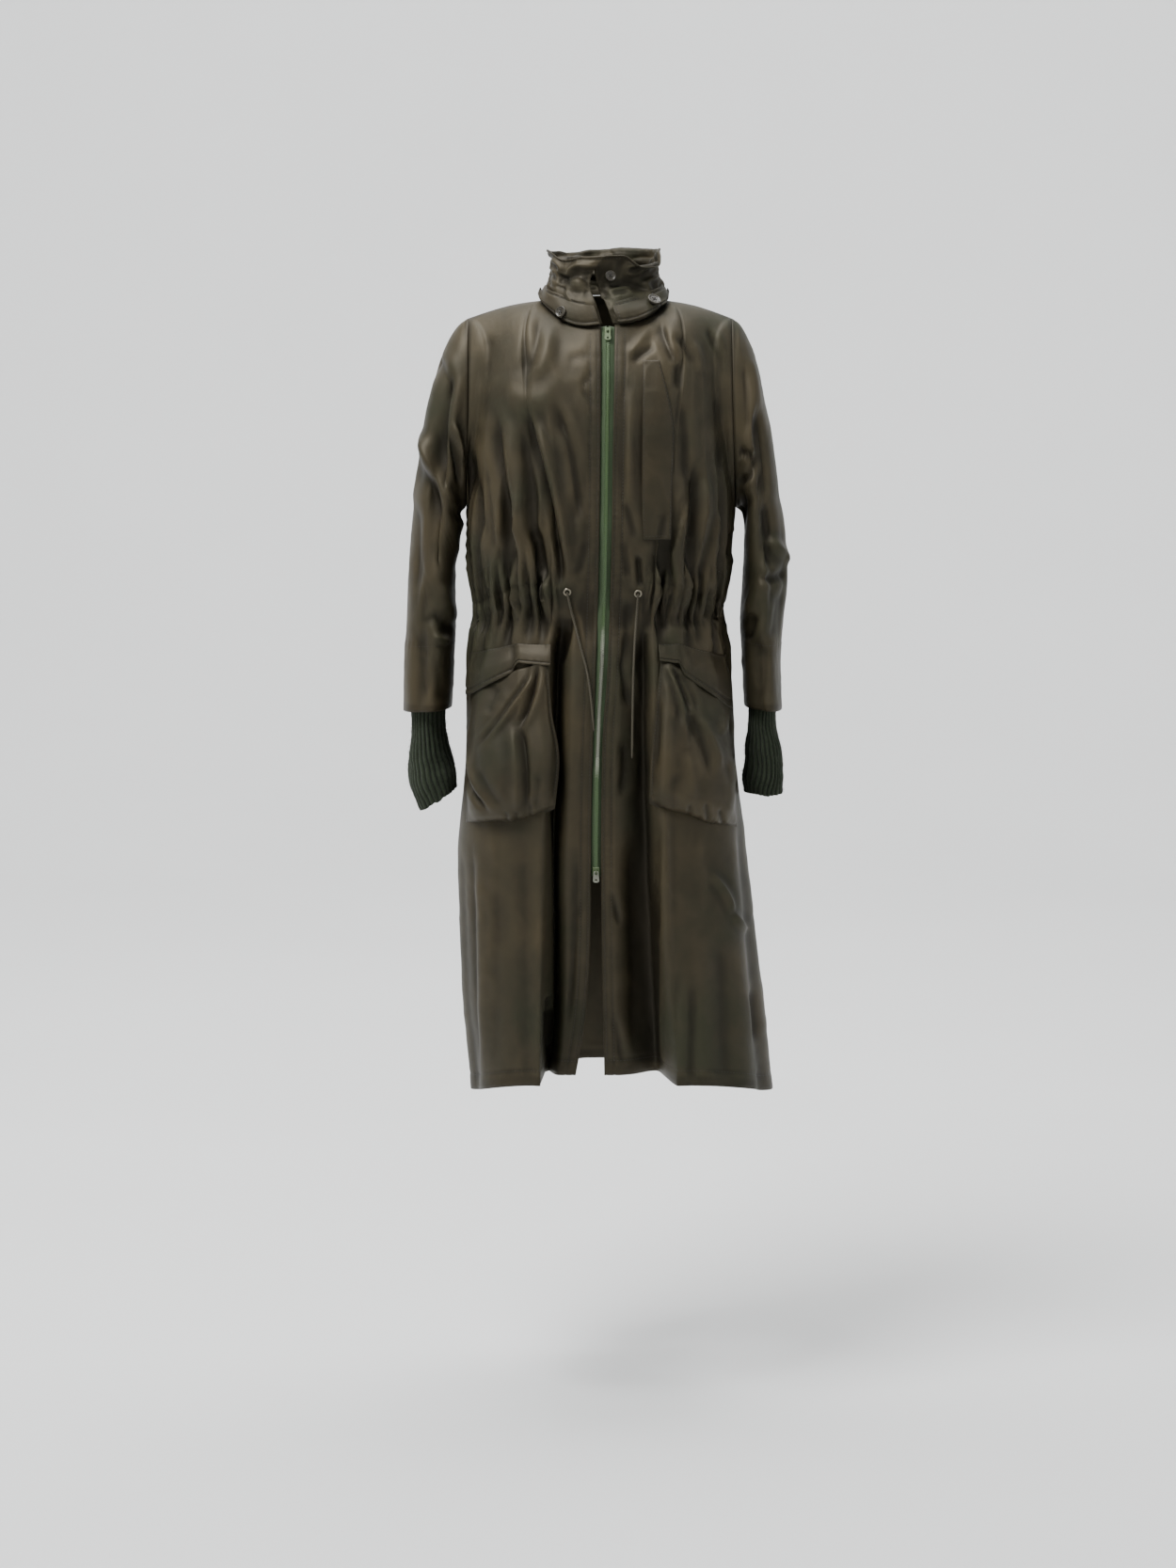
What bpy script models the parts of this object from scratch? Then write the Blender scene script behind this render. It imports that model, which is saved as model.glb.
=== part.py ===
"""A packable parka as it is worn: a long, light raincoat with a stand collar, a gathered waist, two
bellows pockets with flaps, a two-way front zip and ribbed knit cuffs.

Metres, +Z up. The wearer faces -Y, and the wearer's left is +X. The origin is the middle of the neck's
base, between the shoulders. The cloth is a thin wall round an empty hollow.
"""

import math

import bmesh
import bpy
import numpy as np
from mathutils import Matrix, Vector

RIGHT, LEFT = -1, 1  # the wearer's sides, and the sign of X there

# --- Driving sizes ------------------------------------------------------------------------------
CLOTH = 0.0016  # wall of the coat's cloth
SEAM = 0.0003  # free gap between pieces at a seam
NECK_HALF_WIDTH = 0.079
NECK_FRONT, NECK_BACK = 0.083, 0.072  # how far the neckline stands in front of and behind the origin
NECK_FRONT_DROP, NECK_SIDE_DROP, NECK_BACK_DROP = 0.020, -0.012, -0.020
SHOULDER_DROP = 0.011  # of the shoulder seam's outer end
SHOULDER_RISE = 0.004  # how far the shoulder seam is arched
SHOULDER_X = {RIGHT: 0.180, LEFT: 0.170}
ARMPIT_X = {RIGHT: 0.184, LEFT: 0.176}
ARMPIT_DROP = 0.262
ARMHOLE_HALF_DEPTH = 0.058
ARMHOLE_INSET = 0.003
HEM_FRONT_DROP, HEM_SIDE_DROP = 1.016, 1.046
WAIST_FRONT_DROP, WAIST_SIDE_DROP = 0.367, 0.402

# Angles round the body, in degrees: 0 at the front edge, 90 at the side seam, 180 at the centre back.
EYELET_ANGLE = 17.0  # the cloth is flat from here to the front edge
NECK_ANGLE = 29.0  # the column that meets the neck's side point
SHOULDER_ANGLE = 63.0  # the column that meets the shoulder's outer end


def table(columns, *rows):
    """A short table with named columns."""
    return dict(zip(columns.split(), np.array(rows, float).T))


# Half widths to the wearer's right and left, depths in front and behind, and how square the ring is.
BODY = table(
    "drop right left front back square",
    (0.20, 0.180, 0.171, 0.130, 0.120, 0.10),
    (0.31, 0.181, 0.170, 0.136, 0.127, 0.10),
    (0.355, 0.179, 0.166, 0.130, 0.120, 0.09),
    (0.40, 0.171, 0.155, 0.121, 0.104, 0.08),
    (0.45, 0.181, 0.165, 0.131, 0.114, 0.08),
    (0.52, 0.184, 0.173, 0.141, 0.127, 0.09),
    (0.62, 0.187, 0.180, 0.147, 0.136, 0.10),
    (0.70, 0.1955, 0.1905, 0.150, 0.141, 0.11),
    (0.80, 0.1955, 0.2020, 0.155, 0.146, 0.11),
    (0.90, 0.1915, 0.2135, 0.161, 0.151, 0.12),
    (1.05, 0.180, 0.231, 0.172, 0.160, 0.12),
)
# Where the two front edges run, and how far the middle of the front has sunk back between the knees.
FRONT_EDGE = table(
    "drop right left sink",
    (0.02, -0.0020, 0.0115, 0.0),
    (0.148, -0.0032, 0.0100, 0.0),
    (0.27, -0.0045, 0.0087, 0.0),
    (0.38, -0.0066, 0.0064, 0.0),
    (0.478, -0.0098, 0.0022, 0.0),
    (0.55, -0.0125, -0.0030, 0.002),
    (0.64, -0.0148, -0.0050, 0.008),
    (0.735, -0.0155, -0.0056, 0.018),
    (0.83, -0.0165, -0.0045, 0.032),
    (0.90, -0.0200, -0.0035, 0.046),
    (0.96, -0.0265, -0.0020, 0.060),
    (1.03, -0.0385, -0.0008, 0.075),
)
SINK_EDGE = {RIGHT: 20.5, LEFT: 21.5}  # the angle at which the sunk middle ends
SINK_SLOPE = 2.4

# Long folds, each a trough down the cloth. `before` and `after` are its half widths in degrees
# towards the front edge and away from it. A bottom past the hem runs out through it.
RECESSES = table(
    "side top bottom angle_top angle_bottom before after depth_top depth_bottom",
    (RIGHT, 0.390, 1.20, 17.3, 16.6, 3.6, 2.3, 0.034, 0.030),  # deep fold beside the right pocket
    (LEFT, 0.400, 1.20, 17.0, 17.6, 6.5, 2.3, 0.026, 0.030),  # broad fold beside the left pocket
)
FOLDS = table(
    "side top bottom angle_top angle_bottom before after depth_top depth_bottom",
    (RIGHT, 0.130, 0.40, 33.0, 22.0, 5.0, 3.6, 0.009, 0.009),
    (RIGHT, 0.220, 0.40, 41.0, 37.0, 4.5, 4.0, 0.006, 0.007),
    (LEFT, 0.230, 0.40, 33.0, 25.0, 4.0, 4.0, 0.006, 0.008),
    (LEFT, 0.260, 0.41, 47.0, 42.0, 5.0, 4.5, 0.005, 0.007),
    (RIGHT, 0.700, 1.20, 62.0, 66.0, 8.0, 6.0, 0.004, 0.010),
    (LEFT, 0.650, 1.20, 66.0, 58.0, 7.0, 8.0, 0.005, 0.012),
    (RIGHT, 0.450, 1.20, 112.0, 108.0, 7.0, 7.0, 0.006, 0.022),
    (RIGHT, 0.430, 1.20, 140.0, 136.0, 7.0, 7.0, 0.007, 0.026),
    (RIGHT, 0.430, 1.20, 164.0, 162.0, 6.0, 6.0, 0.006, 0.022),
    (LEFT, 0.450, 1.20, 114.0, 110.0, 7.0, 7.0, 0.006, 0.024),
    (LEFT, 0.430, 1.20, 143.0, 140.0, 8.0, 6.0, 0.007, 0.026),
    (LEFT, 0.430, 1.20, 166.0, 165.0, 5.0, 6.0, 0.006, 0.020),
    (RIGHT, 0.150, 0.38, 128.0, 134.0, 6.0, 6.0, 0.004, 0.010),
    (LEFT, 0.150, 0.38, 130.0, 138.0, 6.0, 6.0, 0.004, 0.010),
)
FOLD_FADE = 0.06  # length over which a fold begins and ends

# The sleeve's rings, from the armhole to the cuff: its outer line, its inner line, and its depth.
SLEEVE = {
    RIGHT: table(
        "along outer outer_drop inner inner_drop middle half_depth",
        (0.00, 0.180, 0.011, 0.184, 0.262, 0.000, 0.058),
        (0.06, 0.193, 0.022, 0.192, 0.268, 0.001, 0.061),
        (0.14, 0.209, 0.047, 0.197, 0.285, 0.002, 0.065),
        (0.30, 0.232, 0.120, 0.1985, 0.318, 0.004, 0.069),
        (0.48, 0.250, 0.215, 0.199, 0.360, 0.006, 0.071),
        (0.66, 0.261, 0.335, 0.199, 0.412, 0.006, 0.070),
        (0.84, 0.266, 0.445, 0.2015, 0.470, 0.004, 0.069),
        (1.00, 0.269, 0.534, 0.2055, 0.530, 0.002, 0.068),
    ),
    LEFT: table(
        "along outer outer_drop inner inner_drop middle half_depth",
        (0.00, 0.170, 0.011, 0.176, 0.262, 0.000, 0.058),
        (0.06, 0.181, 0.021, 0.184, 0.268, 0.001, 0.060),
        (0.14, 0.195, 0.046, 0.1885, 0.285, 0.002, 0.064),
        (0.30, 0.215, 0.120, 0.189, 0.318, 0.004, 0.069),
        (0.48, 0.2305, 0.215, 0.187, 0.360, 0.006, 0.073),
        (0.66, 0.246, 0.340, 0.184, 0.412, 0.006, 0.073),
        (0.84, 0.239, 0.445, 0.187, 0.470, 0.004, 0.072),
        (1.00, 0.239, 0.532, 0.1905, 0.528, 0.002, 0.072),
    ),
}
# Folds across the sleeve, from one place on it to another: `along` and `turn` (0 outer, 1 inner).
SLEEVE_FOLDS = table(
    "side from_along from_turn to_along to_turn half_width depth",
    (RIGHT, 0.12, 0.42, 0.95, 0.40, 0.17, 0.013),
    (RIGHT, 0.42, 0.05, 0.70, 0.36, 0.10, 0.006),
    (RIGHT, 0.30, 1.30, 0.90, 1.45, 0.18, 0.010),
    (LEFT, 0.16, 0.40, 0.60, 0.44, 0.15, 0.010),
    (LEFT, 0.60, 0.50, 0.68, 0.12, 0.12, 0.008),
    (LEFT, 0.75, 0.55, 0.98, 0.60, 0.17, 0.009),
    (LEFT, 0.30, 1.35, 0.90, 1.50, 0.18, 0.010),
)


# --- Curves through tables, and small shape functions --------------------------------------------
def through(rows, column, at, key="drop"):
    """A smooth curve through one column of a table, read at values of its key column."""
    x, y = rows[key], rows[column]
    slope = np.gradient(y, x)
    at = np.clip(np.asarray(at, float), x[0], x[-1])
    i = np.clip(np.searchsorted(x, at, side="right") - 1, 0, len(x) - 2)
    span = x[i + 1] - x[i]
    t = (at - x[i]) / span
    return (
        y[i] * (1 + 2 * t) * (1 - t) ** 2
        + slope[i] * span * t * (1 - t) ** 2
        + y[i + 1] * t * t * (3 - 2 * t)
        - slope[i + 1] * span * t * t * (1 - t)
    )


def step(low, high, at):
    """Smoothly 0 below low and 1 above high."""
    t = np.clip((np.asarray(at, float) - low) / (high - low), 0, 1)
    return t * t * (3 - 2 * t)


def stacked(x, y, z):
    return np.stack(np.broadcast_arrays(x, y, z), axis=-1).astype(float)


def unit(vectors):
    return vectors / np.maximum(np.linalg.norm(vectors, axis=-1, keepdims=True), 1e-12)


# --- The coat's body: one surface per side, from the neck, shoulder and armhole down to the hem ----
TOP_SHARE, WAIST_SHARE = 0.30, 0.50  # of the way down a column: the chest ring, and the waist


def waist_drop(angle):
    return WAIST_FRONT_DROP + (WAIST_SIDE_DROP - WAIST_FRONT_DROP) * step(15, 80, angle)


def hem_drop(angle):
    return HEM_FRONT_DROP + (HEM_SIDE_DROP - HEM_FRONT_DROP) * step(25, 80, angle)


def chest_drop(angle):
    """The ring where the shoulders' curve ends: under the armpit at the side, higher in front and behind."""
    return 0.235 + 0.075 * step(45, 90, 90 - np.abs(angle - 90))


def edge_x(side, drop):
    return through(FRONT_EDGE, "left" if side == LEFT else "right", drop)


def ring(side, angle, drop):
    """A point of the smooth ring round the body."""
    phi = np.radians(angle)
    swell = 1 + through(BODY, "square", drop) * np.sin(2 * phi) ** 2
    width = through(BODY, "left" if side == LEFT else "right", drop)
    depth = np.where(angle < 90, through(BODY, "front", drop), through(BODY, "back", drop))
    x = side * width * np.sin(phi) * swell + edge_x(side, drop) * (1 - step(0, 35, angle))
    return stacked(x, -depth * np.cos(phi) * swell, -np.asarray(drop))


def armhole(side, turn):
    """The armhole seam: turn 0 at the shoulder, 1 at the armpit in front, and back to 2 behind."""
    swing = np.pi * np.asarray(turn, float)
    down = (1 - np.cos(swing)) / 2
    x = SHOULDER_X[side] + (ARMPIT_X[side] - SHOULDER_X[side]) * down - ARMHOLE_INSET * np.sin(swing) ** 2
    drop = SHOULDER_DROP + (ARMPIT_DROP - SHOULDER_DROP) * down
    return stacked(side * x, -ARMHOLE_HALF_DEPTH * np.sin(swing), -drop)


def neckline(side, angle):
    """The neck seam: the front from 0 to the side point at NECK_ANGLE, the back from 180 to it."""
    front = np.asarray(angle) < 90
    swing = np.radians(90) * np.where(front, angle, 180 - angle) / NECK_ANGLE
    x = side * NECK_HALF_WIDTH * np.sin(swing)
    x = x + np.where(front, edge_x(side, NECK_FRONT_DROP) * np.cos(swing) ** 2, 0)
    y = np.where(front, -NECK_FRONT, NECK_BACK) * np.cos(swing)
    far = np.where(front, NECK_FRONT_DROP, NECK_BACK_DROP)
    return stacked(x, y, -(NECK_SIDE_DROP + (far - NECK_SIDE_DROP) * np.cos(swing) ** 1.3))


def shoulder(side, share):
    """The shoulder seam, from the neck's side point (0) to the armhole (1)."""
    x = NECK_HALF_WIDTH + (SHOULDER_X[side] - NECK_HALF_WIDTH) * share
    drop = NECK_SIDE_DROP + (SHOULDER_DROP - NECK_SIDE_DROP) * share - SHOULDER_RISE * np.sin(np.pi * share)
    return stacked(side * x, np.zeros_like(x), -drop)


NECK_SPREAD = 0.5  # how far the cloth leaves the neck's side outwards, for each step forwards
# How the cloth leaves the armhole, from the shoulder's end (turn 0) to the armpit (turn 1).
ARM_WAY = table(
    "turn inward out down",
    (0.00, 0.54, 0.95, 0.10),
    (0.25, 0.38, 0.44, 0.45),
    (0.50, 0.22, 0.05, 0.80),
    (0.62, 0.15, -0.22, 0.90),
    (0.80, 0.07, -0.24, 1.00),
    (1.00, 0.00, 0.00, 1.00),
)


def top_edge(side, angle):
    """Where a column starts, and the way that the cloth leaves that seam."""
    front = np.asarray(angle) < 90
    near = np.where(front, angle, 180 - np.asarray(angle))  # degrees from the front edge or centre back
    sign = np.where(front, -1.0, 1.0)
    on_neck = near <= NECK_ANGLE
    on_arm = near > SHOULDER_ANGLE
    share = np.clip((near - NECK_ANGLE) / (SHOULDER_ANGLE - NECK_ANGLE), 0, 1)
    turn = np.clip((near - SHOULDER_ANGLE) / (90 - SHOULDER_ANGLE), 0, 1)
    point = np.where(
        on_neck[..., None],
        neckline(side, np.where(on_neck, angle, NECK_ANGLE)),
        shoulder(side, share),
    )
    point = np.where(on_arm[..., None], armhole(side, np.where(front, turn, 2 - turn)), point)
    round_neck = np.clip(near / NECK_ANGLE, 0, 1)
    fall = 1.5 * (1 - step(0, 1, round_neck))
    on_neck_way = unit(stacked(side * NECK_SPREAD * np.sin(np.pi / 2 * round_neck) ** 2, sign, -fall))
    arm = {key: np.interp(turn, ARM_WAY["turn"], ARM_WAY[key]) for key in ("inward", "out", "down")}
    spread = np.where(on_arm, 0, NECK_SPREAD * (1 - share) ** 2)
    share = np.where(on_arm, 1, share**1.5)
    way = stacked(side * (spread - share * arm["inward"]), sign * arm["out"], -share * arm["down"])
    way = np.where(on_neck[..., None], on_neck_way, way)
    return point, way


def smooth_body(side, angle, share):
    """The body before any folds. share runs from 0 at the top edge to 1 at the hem."""
    angle, share = np.broadcast_arrays(np.asarray(angle, float), np.asarray(share, float))
    start, way = top_edge(side, angle)
    chest, small = chest_drop(angle), 0.004
    end = ring(side, angle, chest)
    fall = unit(ring(side, angle, chest + small) - ring(side, angle, chest))
    reach = np.linalg.norm(end - start, axis=-1, keepdims=True)
    t = np.clip(share / TOP_SHARE, 0, 1)[..., None]
    above = (
        start * (1 + 2 * t) * (1 - t) ** 2
        + way * 1.15 * reach * t * (1 - t) ** 2
        + end * t * t * (3 - 2 * t)
        - fall * 1.0 * reach * t * t * (1 - t)
    )
    waist, hem = waist_drop(angle), hem_drop(angle)
    upper = chest + (waist - chest) * np.clip((share - TOP_SHARE) / (WAIST_SHARE - TOP_SHARE), 0, 1)
    lower = waist + (hem - waist) * (share - WAIST_SHARE) / (1 - WAIST_SHARE)
    below = ring(side, angle, np.where(share < WAIST_SHARE, upper, lower))
    return np.where((share < TOP_SHARE)[..., None], above, below)


# Columns: a few across the flat placket and the recess, then one for each crest and hollow of the gathers.
PLACKET_ANGLES = np.array([0.0, 6.0, 12.0, 15.0, 17.2, 19.4, 22.0, 25.5])
FIRST_CREST = 6
SHOULDER_COLUMNS, ARM_COLUMNS, NAPE_COLUMNS = 9, 8, 4
FRONT_ANGLES = np.concatenate(
    [
        PLACKET_ANGLES,
        np.linspace(NECK_ANGLE, SHOULDER_ANGLE, SHOULDER_COLUMNS + 1)[:-1],
        np.linspace(SHOULDER_ANGLE, 90, ARM_COLUMNS + 1),
    ]
)
BACK_ANGLES = np.concatenate(
    [
        180 - np.linspace(90, SHOULDER_ANGLE, ARM_COLUMNS + 1)[:-1],
        180 - np.linspace(SHOULDER_ANGLE, NECK_ANGLE, SHOULDER_COLUMNS + 1)[:-1],
        180 - np.linspace(NECK_ANGLE, 0, NAPE_COLUMNS + 1),
    ]
)
CREST_ANGLES = np.concatenate([FRONT_ANGLES[FIRST_CREST:], BACK_ANGLES[1:]])
TOP_ROWS = TOP_SHARE * np.array([0, 0.14, 0.29, 0.45, 0.62, 0.81])
CHEST_ROWS = TOP_SHARE + (WAIST_SHARE - TOP_SHARE) * np.array([0, 0.36, 0.64, 0.86])
SKIRT_STEPS = np.array([0, 0.03, 0.08, 0.15, 0.25, 0.37, 0.51, 0.66, 0.83, 1])
SKIRT_ROWS = WAIST_SHARE + (1 - WAIST_SHARE) * SKIRT_STEPS
ROWS = np.concatenate([TOP_ROWS, CHEST_ROWS, SKIRT_ROWS])


def gathers(angle, drop):
    """The waist's gathers: fine waves at the drawcord, which merge into broader ones above and below."""
    crest = np.interp(angle, CREST_ANGLES, np.arange(len(CREST_ANGLES)))
    away = drop - waist_drop(angle)
    uneven = 0.75 + 0.25 * np.sin(1.7 * crest + 0.6)
    fine = 0.0036 * np.exp(-((away / np.where(away < 0, 0.040, 0.045)) ** 2)) * uneven
    broad = 0.0040 * np.exp(-((away / np.where(away < 0, 0.105, 0.085)) ** 2))
    flat = step(EYELET_ANGLE, EYELET_ANGLE + 6, angle)
    return flat * (fine * np.cos(np.pi * crest) + broad * np.cos(0.5 * np.pi * crest + 0.7))


def troughs(folds, side, angle, drop):
    """The summed depth of one side's folds in a table."""
    deep = np.zeros(np.shape(angle))
    for i in np.flatnonzero(folds["side"] == side):
        fold = {name: column[i] for name, column in folds.items()}
        share = np.clip((drop - fold["top"]) / (fold["bottom"] - fold["top"]), 0, 1)
        centre = fold["angle_top"] + (fold["angle_bottom"] - fold["angle_top"]) * share
        depth = fold["depth_top"] + (fold["depth_bottom"] - fold["depth_top"]) * share
        ends = step(fold["top"], fold["top"] + FOLD_FADE, drop)
        ends = ends * (1 - step(fold["bottom"] - FOLD_FADE, fold["bottom"], drop))
        off = angle - centre
        deep = deep + depth * ends * np.exp(-((off / np.where(off < 0, fold["before"], fold["after"])) ** 2))
    return deep


def relief(side, angle, drop):
    """How far the cloth stands out of the smooth body, by its folds and gathers."""
    return gathers(angle, drop) - troughs(FOLDS, side, angle, drop)


def recess(side, angle, drop):
    """How far the middle of the front has sunk straight back between the two pockets."""
    edge = SINK_EDGE[side]
    flat = 1 - step(edge - SINK_SLOPE, edge + SINK_SLOPE, angle)
    return through(FRONT_EDGE, "sink", drop) * flat + troughs(RECESSES, side, angle, drop)


def normals(surface, across, along, flip, small=(0.15, 0.0015), low=0.0, high=1.0):
    """Outward normals of a surface given as a function of two numbers."""
    a0, a1 = across - small[0], across + small[0]
    b0, b1 = np.maximum(along - small[1], low), np.minimum(along + small[1], high)
    way_across = surface(a1, along) - surface(a0, along)
    way_along = surface(across, b1) - surface(across, b0)
    return flip * unit(np.cross(way_along, way_across))


def body(side, angle, share, folds=True):
    """A point of the coat's cloth."""
    angle, share = np.broadcast_arrays(np.asarray(angle, float), np.asarray(share, float))
    base = smooth_body(side, angle, share)
    if not folds:
        return base
    out = relief(side, angle, -base[..., 2]) * step(0.02, 0.2, share)
    bent = base + out[..., None] * normals(lambda a, s: smooth_body(side, a, s), angle, share, side)
    back = np.where(angle < 90, recess(side, angle, -base[..., 2]), 0)
    return bent + stacked(0, 1, 0) * back[..., None]


def body_normals(side, angle, share, folds=True):
    angle, share = np.broadcast_arrays(np.asarray(angle, float), np.asarray(share, float))
    return normals(lambda a, s: body(side, a, s, folds), angle, share, side)


# --- The sleeves ---------------------------------------------------------------------------------
def sleeve(side, turn, along):
    """A point of the sleeve. turn is 0 on its outer line, 1 on its inner line and 2 outside again."""
    turn, along = np.broadcast_arrays(np.asarray(turn, float), np.asarray(along, float))
    rows = SLEEVE[side]
    outer, inner = through(rows, "outer", along, "along"), through(rows, "inner", along, "along")
    outer_drop = through(rows, "outer_drop", along, "along")
    inner_drop = through(rows, "inner_drop", along, "along")
    swing = np.pi * turn
    mix = (1 - np.cos(swing)) / 2
    shrink = np.zeros_like(along)
    for i in np.flatnonzero(SLEEVE_FOLDS["side"] == side):
        fold = {name: column[i] for name, column in SLEEVE_FOLDS.items()}
        run = np.array([fold["to_along"] - fold["from_along"], fold["to_turn"] - fold["from_turn"]])
        place = np.stack([along - fold["from_along"], turn - fold["from_turn"]], axis=-1)
        t = np.clip(place @ run / (run @ run), 0, 1)
        off = np.linalg.norm(place - t[..., None] * run, axis=-1)
        ends = step(0, 0.25, t) * (1 - step(0.8, 1.0, t)) if fold["to_along"] < 0.9 else step(0, 0.3, t)
        shrink += fold["depth"] * ends * np.exp(-((off / fold["half_width"]) ** 2))
    depth = through(rows, "half_depth", along, "along") - shrink * np.abs(np.sin(swing))
    inset = ARMHOLE_INSET * np.sin(swing) ** 2 * (1 - step(0, 0.2, along))
    inset = inset + 0.5 * shrink * np.abs(np.cos(swing)) * np.sign(np.cos(swing))
    return stacked(
        side * (outer + (inner - outer) * mix - inset),
        through(rows, "middle", along, "along") - depth * np.sin(swing),
        -(outer_drop + (inner_drop - outer_drop) * mix),
    )


def sleeve_normals(side, turn, along):
    turn, along = np.broadcast_arrays(np.asarray(turn, float), np.asarray(along, float))
    return normals(lambda a, s: sleeve(side, a, s), turn, along, -side, small=(0.01, 0.004))


# --- The collar ----------------------------------------------------------------------------------
# `up` is 0 at the neck seam and 1 at the free top edge; the rises are heights in front, beside, behind.
COLLAR = table(
    "up half_width front back rise_front rise_side rise_back",
    (0.00, 0.0790, 0.0830, 0.0720, -0.020, 0.012, 0.020),
    (0.25, 0.0785, 0.0800, 0.0740, 0.001, 0.028, 0.034),
    (0.50, 0.0690, 0.0700, 0.0690, 0.022, 0.044, 0.049),
    (0.75, 0.0680, 0.0660, 0.0690, 0.044, 0.060, 0.065),
    (1.00, 0.0760, 0.0710, 0.0760, 0.066, 0.078, 0.082),
)
COLLAR_EDGE_X = table(
    "up right left",
    (0.00, -0.0020, 0.0115),
    (0.25, -0.0090, 0.0040),
    (0.50, -0.0170, -0.0060),
    (0.75, -0.0160, -0.0120),
    (1.00, 0.0020, -0.0140),
)
COLLAR_TUCK = 0.011  # how far the left front corner lies behind the right one
COLLAR_RUCK = 0.0035


def collar(turn, up):
    """The stand collar. turn is 0 at the right front edge, 180 at the nape, 360 at the left front edge."""
    turn, up = np.broadcast_arrays(np.asarray(turn, float), np.asarray(up, float))
    right = turn <= 180
    near = np.where(right, turn, 360 - turn)
    swing, front = np.radians(near), near < 90
    wave = COLLAR_RUCK * np.sin(np.pi * up) ** 2 * step(0, 15, near)
    wave = wave * np.sin(np.where(right, 7, 6) * swing + 0.4)
    width = through(COLLAR, "half_width", up, "up") + wave
    depth = np.where(front, through(COLLAR, "front", up, "up"), through(COLLAR, "back", up, "up")) + wave
    right_edge = through(COLLAR_EDGE_X, "right", up, "up")
    edge = np.where(right, right_edge, through(COLLAR_EDGE_X, "left", up, "up"))
    tuck = np.where(right, 0.0, COLLAR_TUCK) * step(0.12, 0.5, up) * (1 - step(15, 70, near))
    ends = np.where(front, through(COLLAR, "rise_front", up, "up"), through(COLLAR, "rise_back", up, "up"))
    middle = through(COLLAR, "rise_side", up, "up")
    round_way = np.abs(np.cos(swing))
    x = np.where(right, -1, 1) * width * np.sin(swing) + np.where(front, edge * np.cos(swing) ** 2, 0)
    return stacked(x, tuck - depth * np.cos(swing), middle + (ends - middle) * round_way**1.3)


def collar_normals(turn, up):
    turn, up = np.broadcast_arrays(np.asarray(turn, float), np.asarray(up, float))
    return normals(collar, turn, up, 1, small=(0.5, 0.01))


# --- Walls of cloth ------------------------------------------------------------------------------
def mitred(*sets):
    """The shared direction in which two or more walls are thickened where they meet at a seam."""
    middle = unit(sum(sets))
    return middle / np.maximum(np.sum(middle * sets[0], axis=-1, keepdims=True), 0.55)


def shrunk(points, thick_ways, closed, by=SEAM / 2):
    """Draws a sheet's outer rows and columns in, so that it stops short of its seams."""
    moved = points.copy()

    def inward(line, ways, inside, loop):
        run = np.roll(line, -1, 0) - np.roll(line, 1, 0) if loop else np.gradient(line, axis=0)
        way = unit(np.cross(run, ways))
        return by * way * np.sign(np.sum(way * (inside - line), axis=-1, keepdims=True))

    moved[0] += inward(points[0], thick_ways[0], points[1], closed)
    moved[-1] += inward(points[-1], thick_ways[-1], points[-2], closed)
    if not closed:
        moved[:, 0] += inward(points[:, 0], thick_ways[:, 0], points[:, 1], False)
        moved[:, -1] += inward(points[:, -1], thick_ways[:, -1], points[:, -2], False)
    return moved


def sheet_ways(points, ways, closed):
    """Thickening directions inside a sheet, from its own squares; its edges keep the given ones."""
    if closed:
        points = np.concatenate([points[:, -1:], points, points[:, :1]], axis=1)
    squares = unit(np.cross(points[1:, 1:] - points[:-1, :-1], points[1:, :-1] - points[:-1, 1:]))
    around = np.stack([squares[:-1, :-1], squares[1:, :-1], squares[:-1, 1:], squares[1:, 1:]])
    middle = unit(around.sum(axis=0))
    middle = middle / np.maximum(np.min(np.sum(around * middle, axis=-1), axis=0), 0.6)[..., None]
    hem = unit(squares[-1, :-1] + squares[-1, 1:])
    hem = hem / np.maximum(np.sum(hem * squares[-1, 1:], axis=-1, keepdims=True), 0.6)
    inside = ways[1:-1] if closed else ways[1:-1, 1:-1]
    turned_round = np.sign(np.sum(inside * middle))
    result = ways.copy()
    if closed:
        result[1:-1], result[-1] = turned_round * middle, turned_round * hem
    else:
        result[1:-1, 1:-1], result[-1, 1:-1] = turned_round * middle, turned_round * hem
    return result


def wall(name, points, ways, material, thick=CLOTH, closed=False, raised=0.0, cut=SEAM / 2):
    """A sheet of cloth: rows and columns of points, thickened both ways and closed at its edges."""
    if points.shape[1] > 2:
        ways = sheet_ways(points, ways, closed)
    points = shrunk(points, ways, closed, cut)
    height, width = points.shape[:2]
    raised = np.broadcast_to(np.asarray(raised, float)[..., None], points.shape)
    outer = points + ways * (thick / 2 + raised)
    inner = points - ways * thick / 2
    corners = np.concatenate([outer.reshape(-1, 3), inner.reshape(-1, 3)])
    number = np.arange(height * width).reshape(height, width)
    under = number + height * width
    if closed:
        number = np.hstack([number, number[:, :1]])
        under = np.hstack([under, under[:, :1]])

    def strip(upper, lower, flip=False):
        """Two triangles for each square, cut along the same diagonal on both of the wall's faces."""
        a, b, c, d = upper[:-1], upper[1:], lower[1:], lower[:-1]
        halves = [(a, c, b), (a, d, c)] if flip else [(a, b, c), (a, c, d)]
        return np.concatenate([np.stack(half, axis=-1) for half in halves])

    faces = [strip(number[i], number[i + 1]) for i in range(height - 1)]
    faces += [strip(under[i], under[i + 1], True) for i in range(height - 1)]
    faces += [strip(under[0], number[0]), strip(number[-1], under[-1])]
    if not closed:
        faces += [strip(number[:, 0], under[:, 0]), strip(under[:, -1], number[:, -1])]
    return solid(name, corners, np.concatenate(faces), material)


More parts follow.
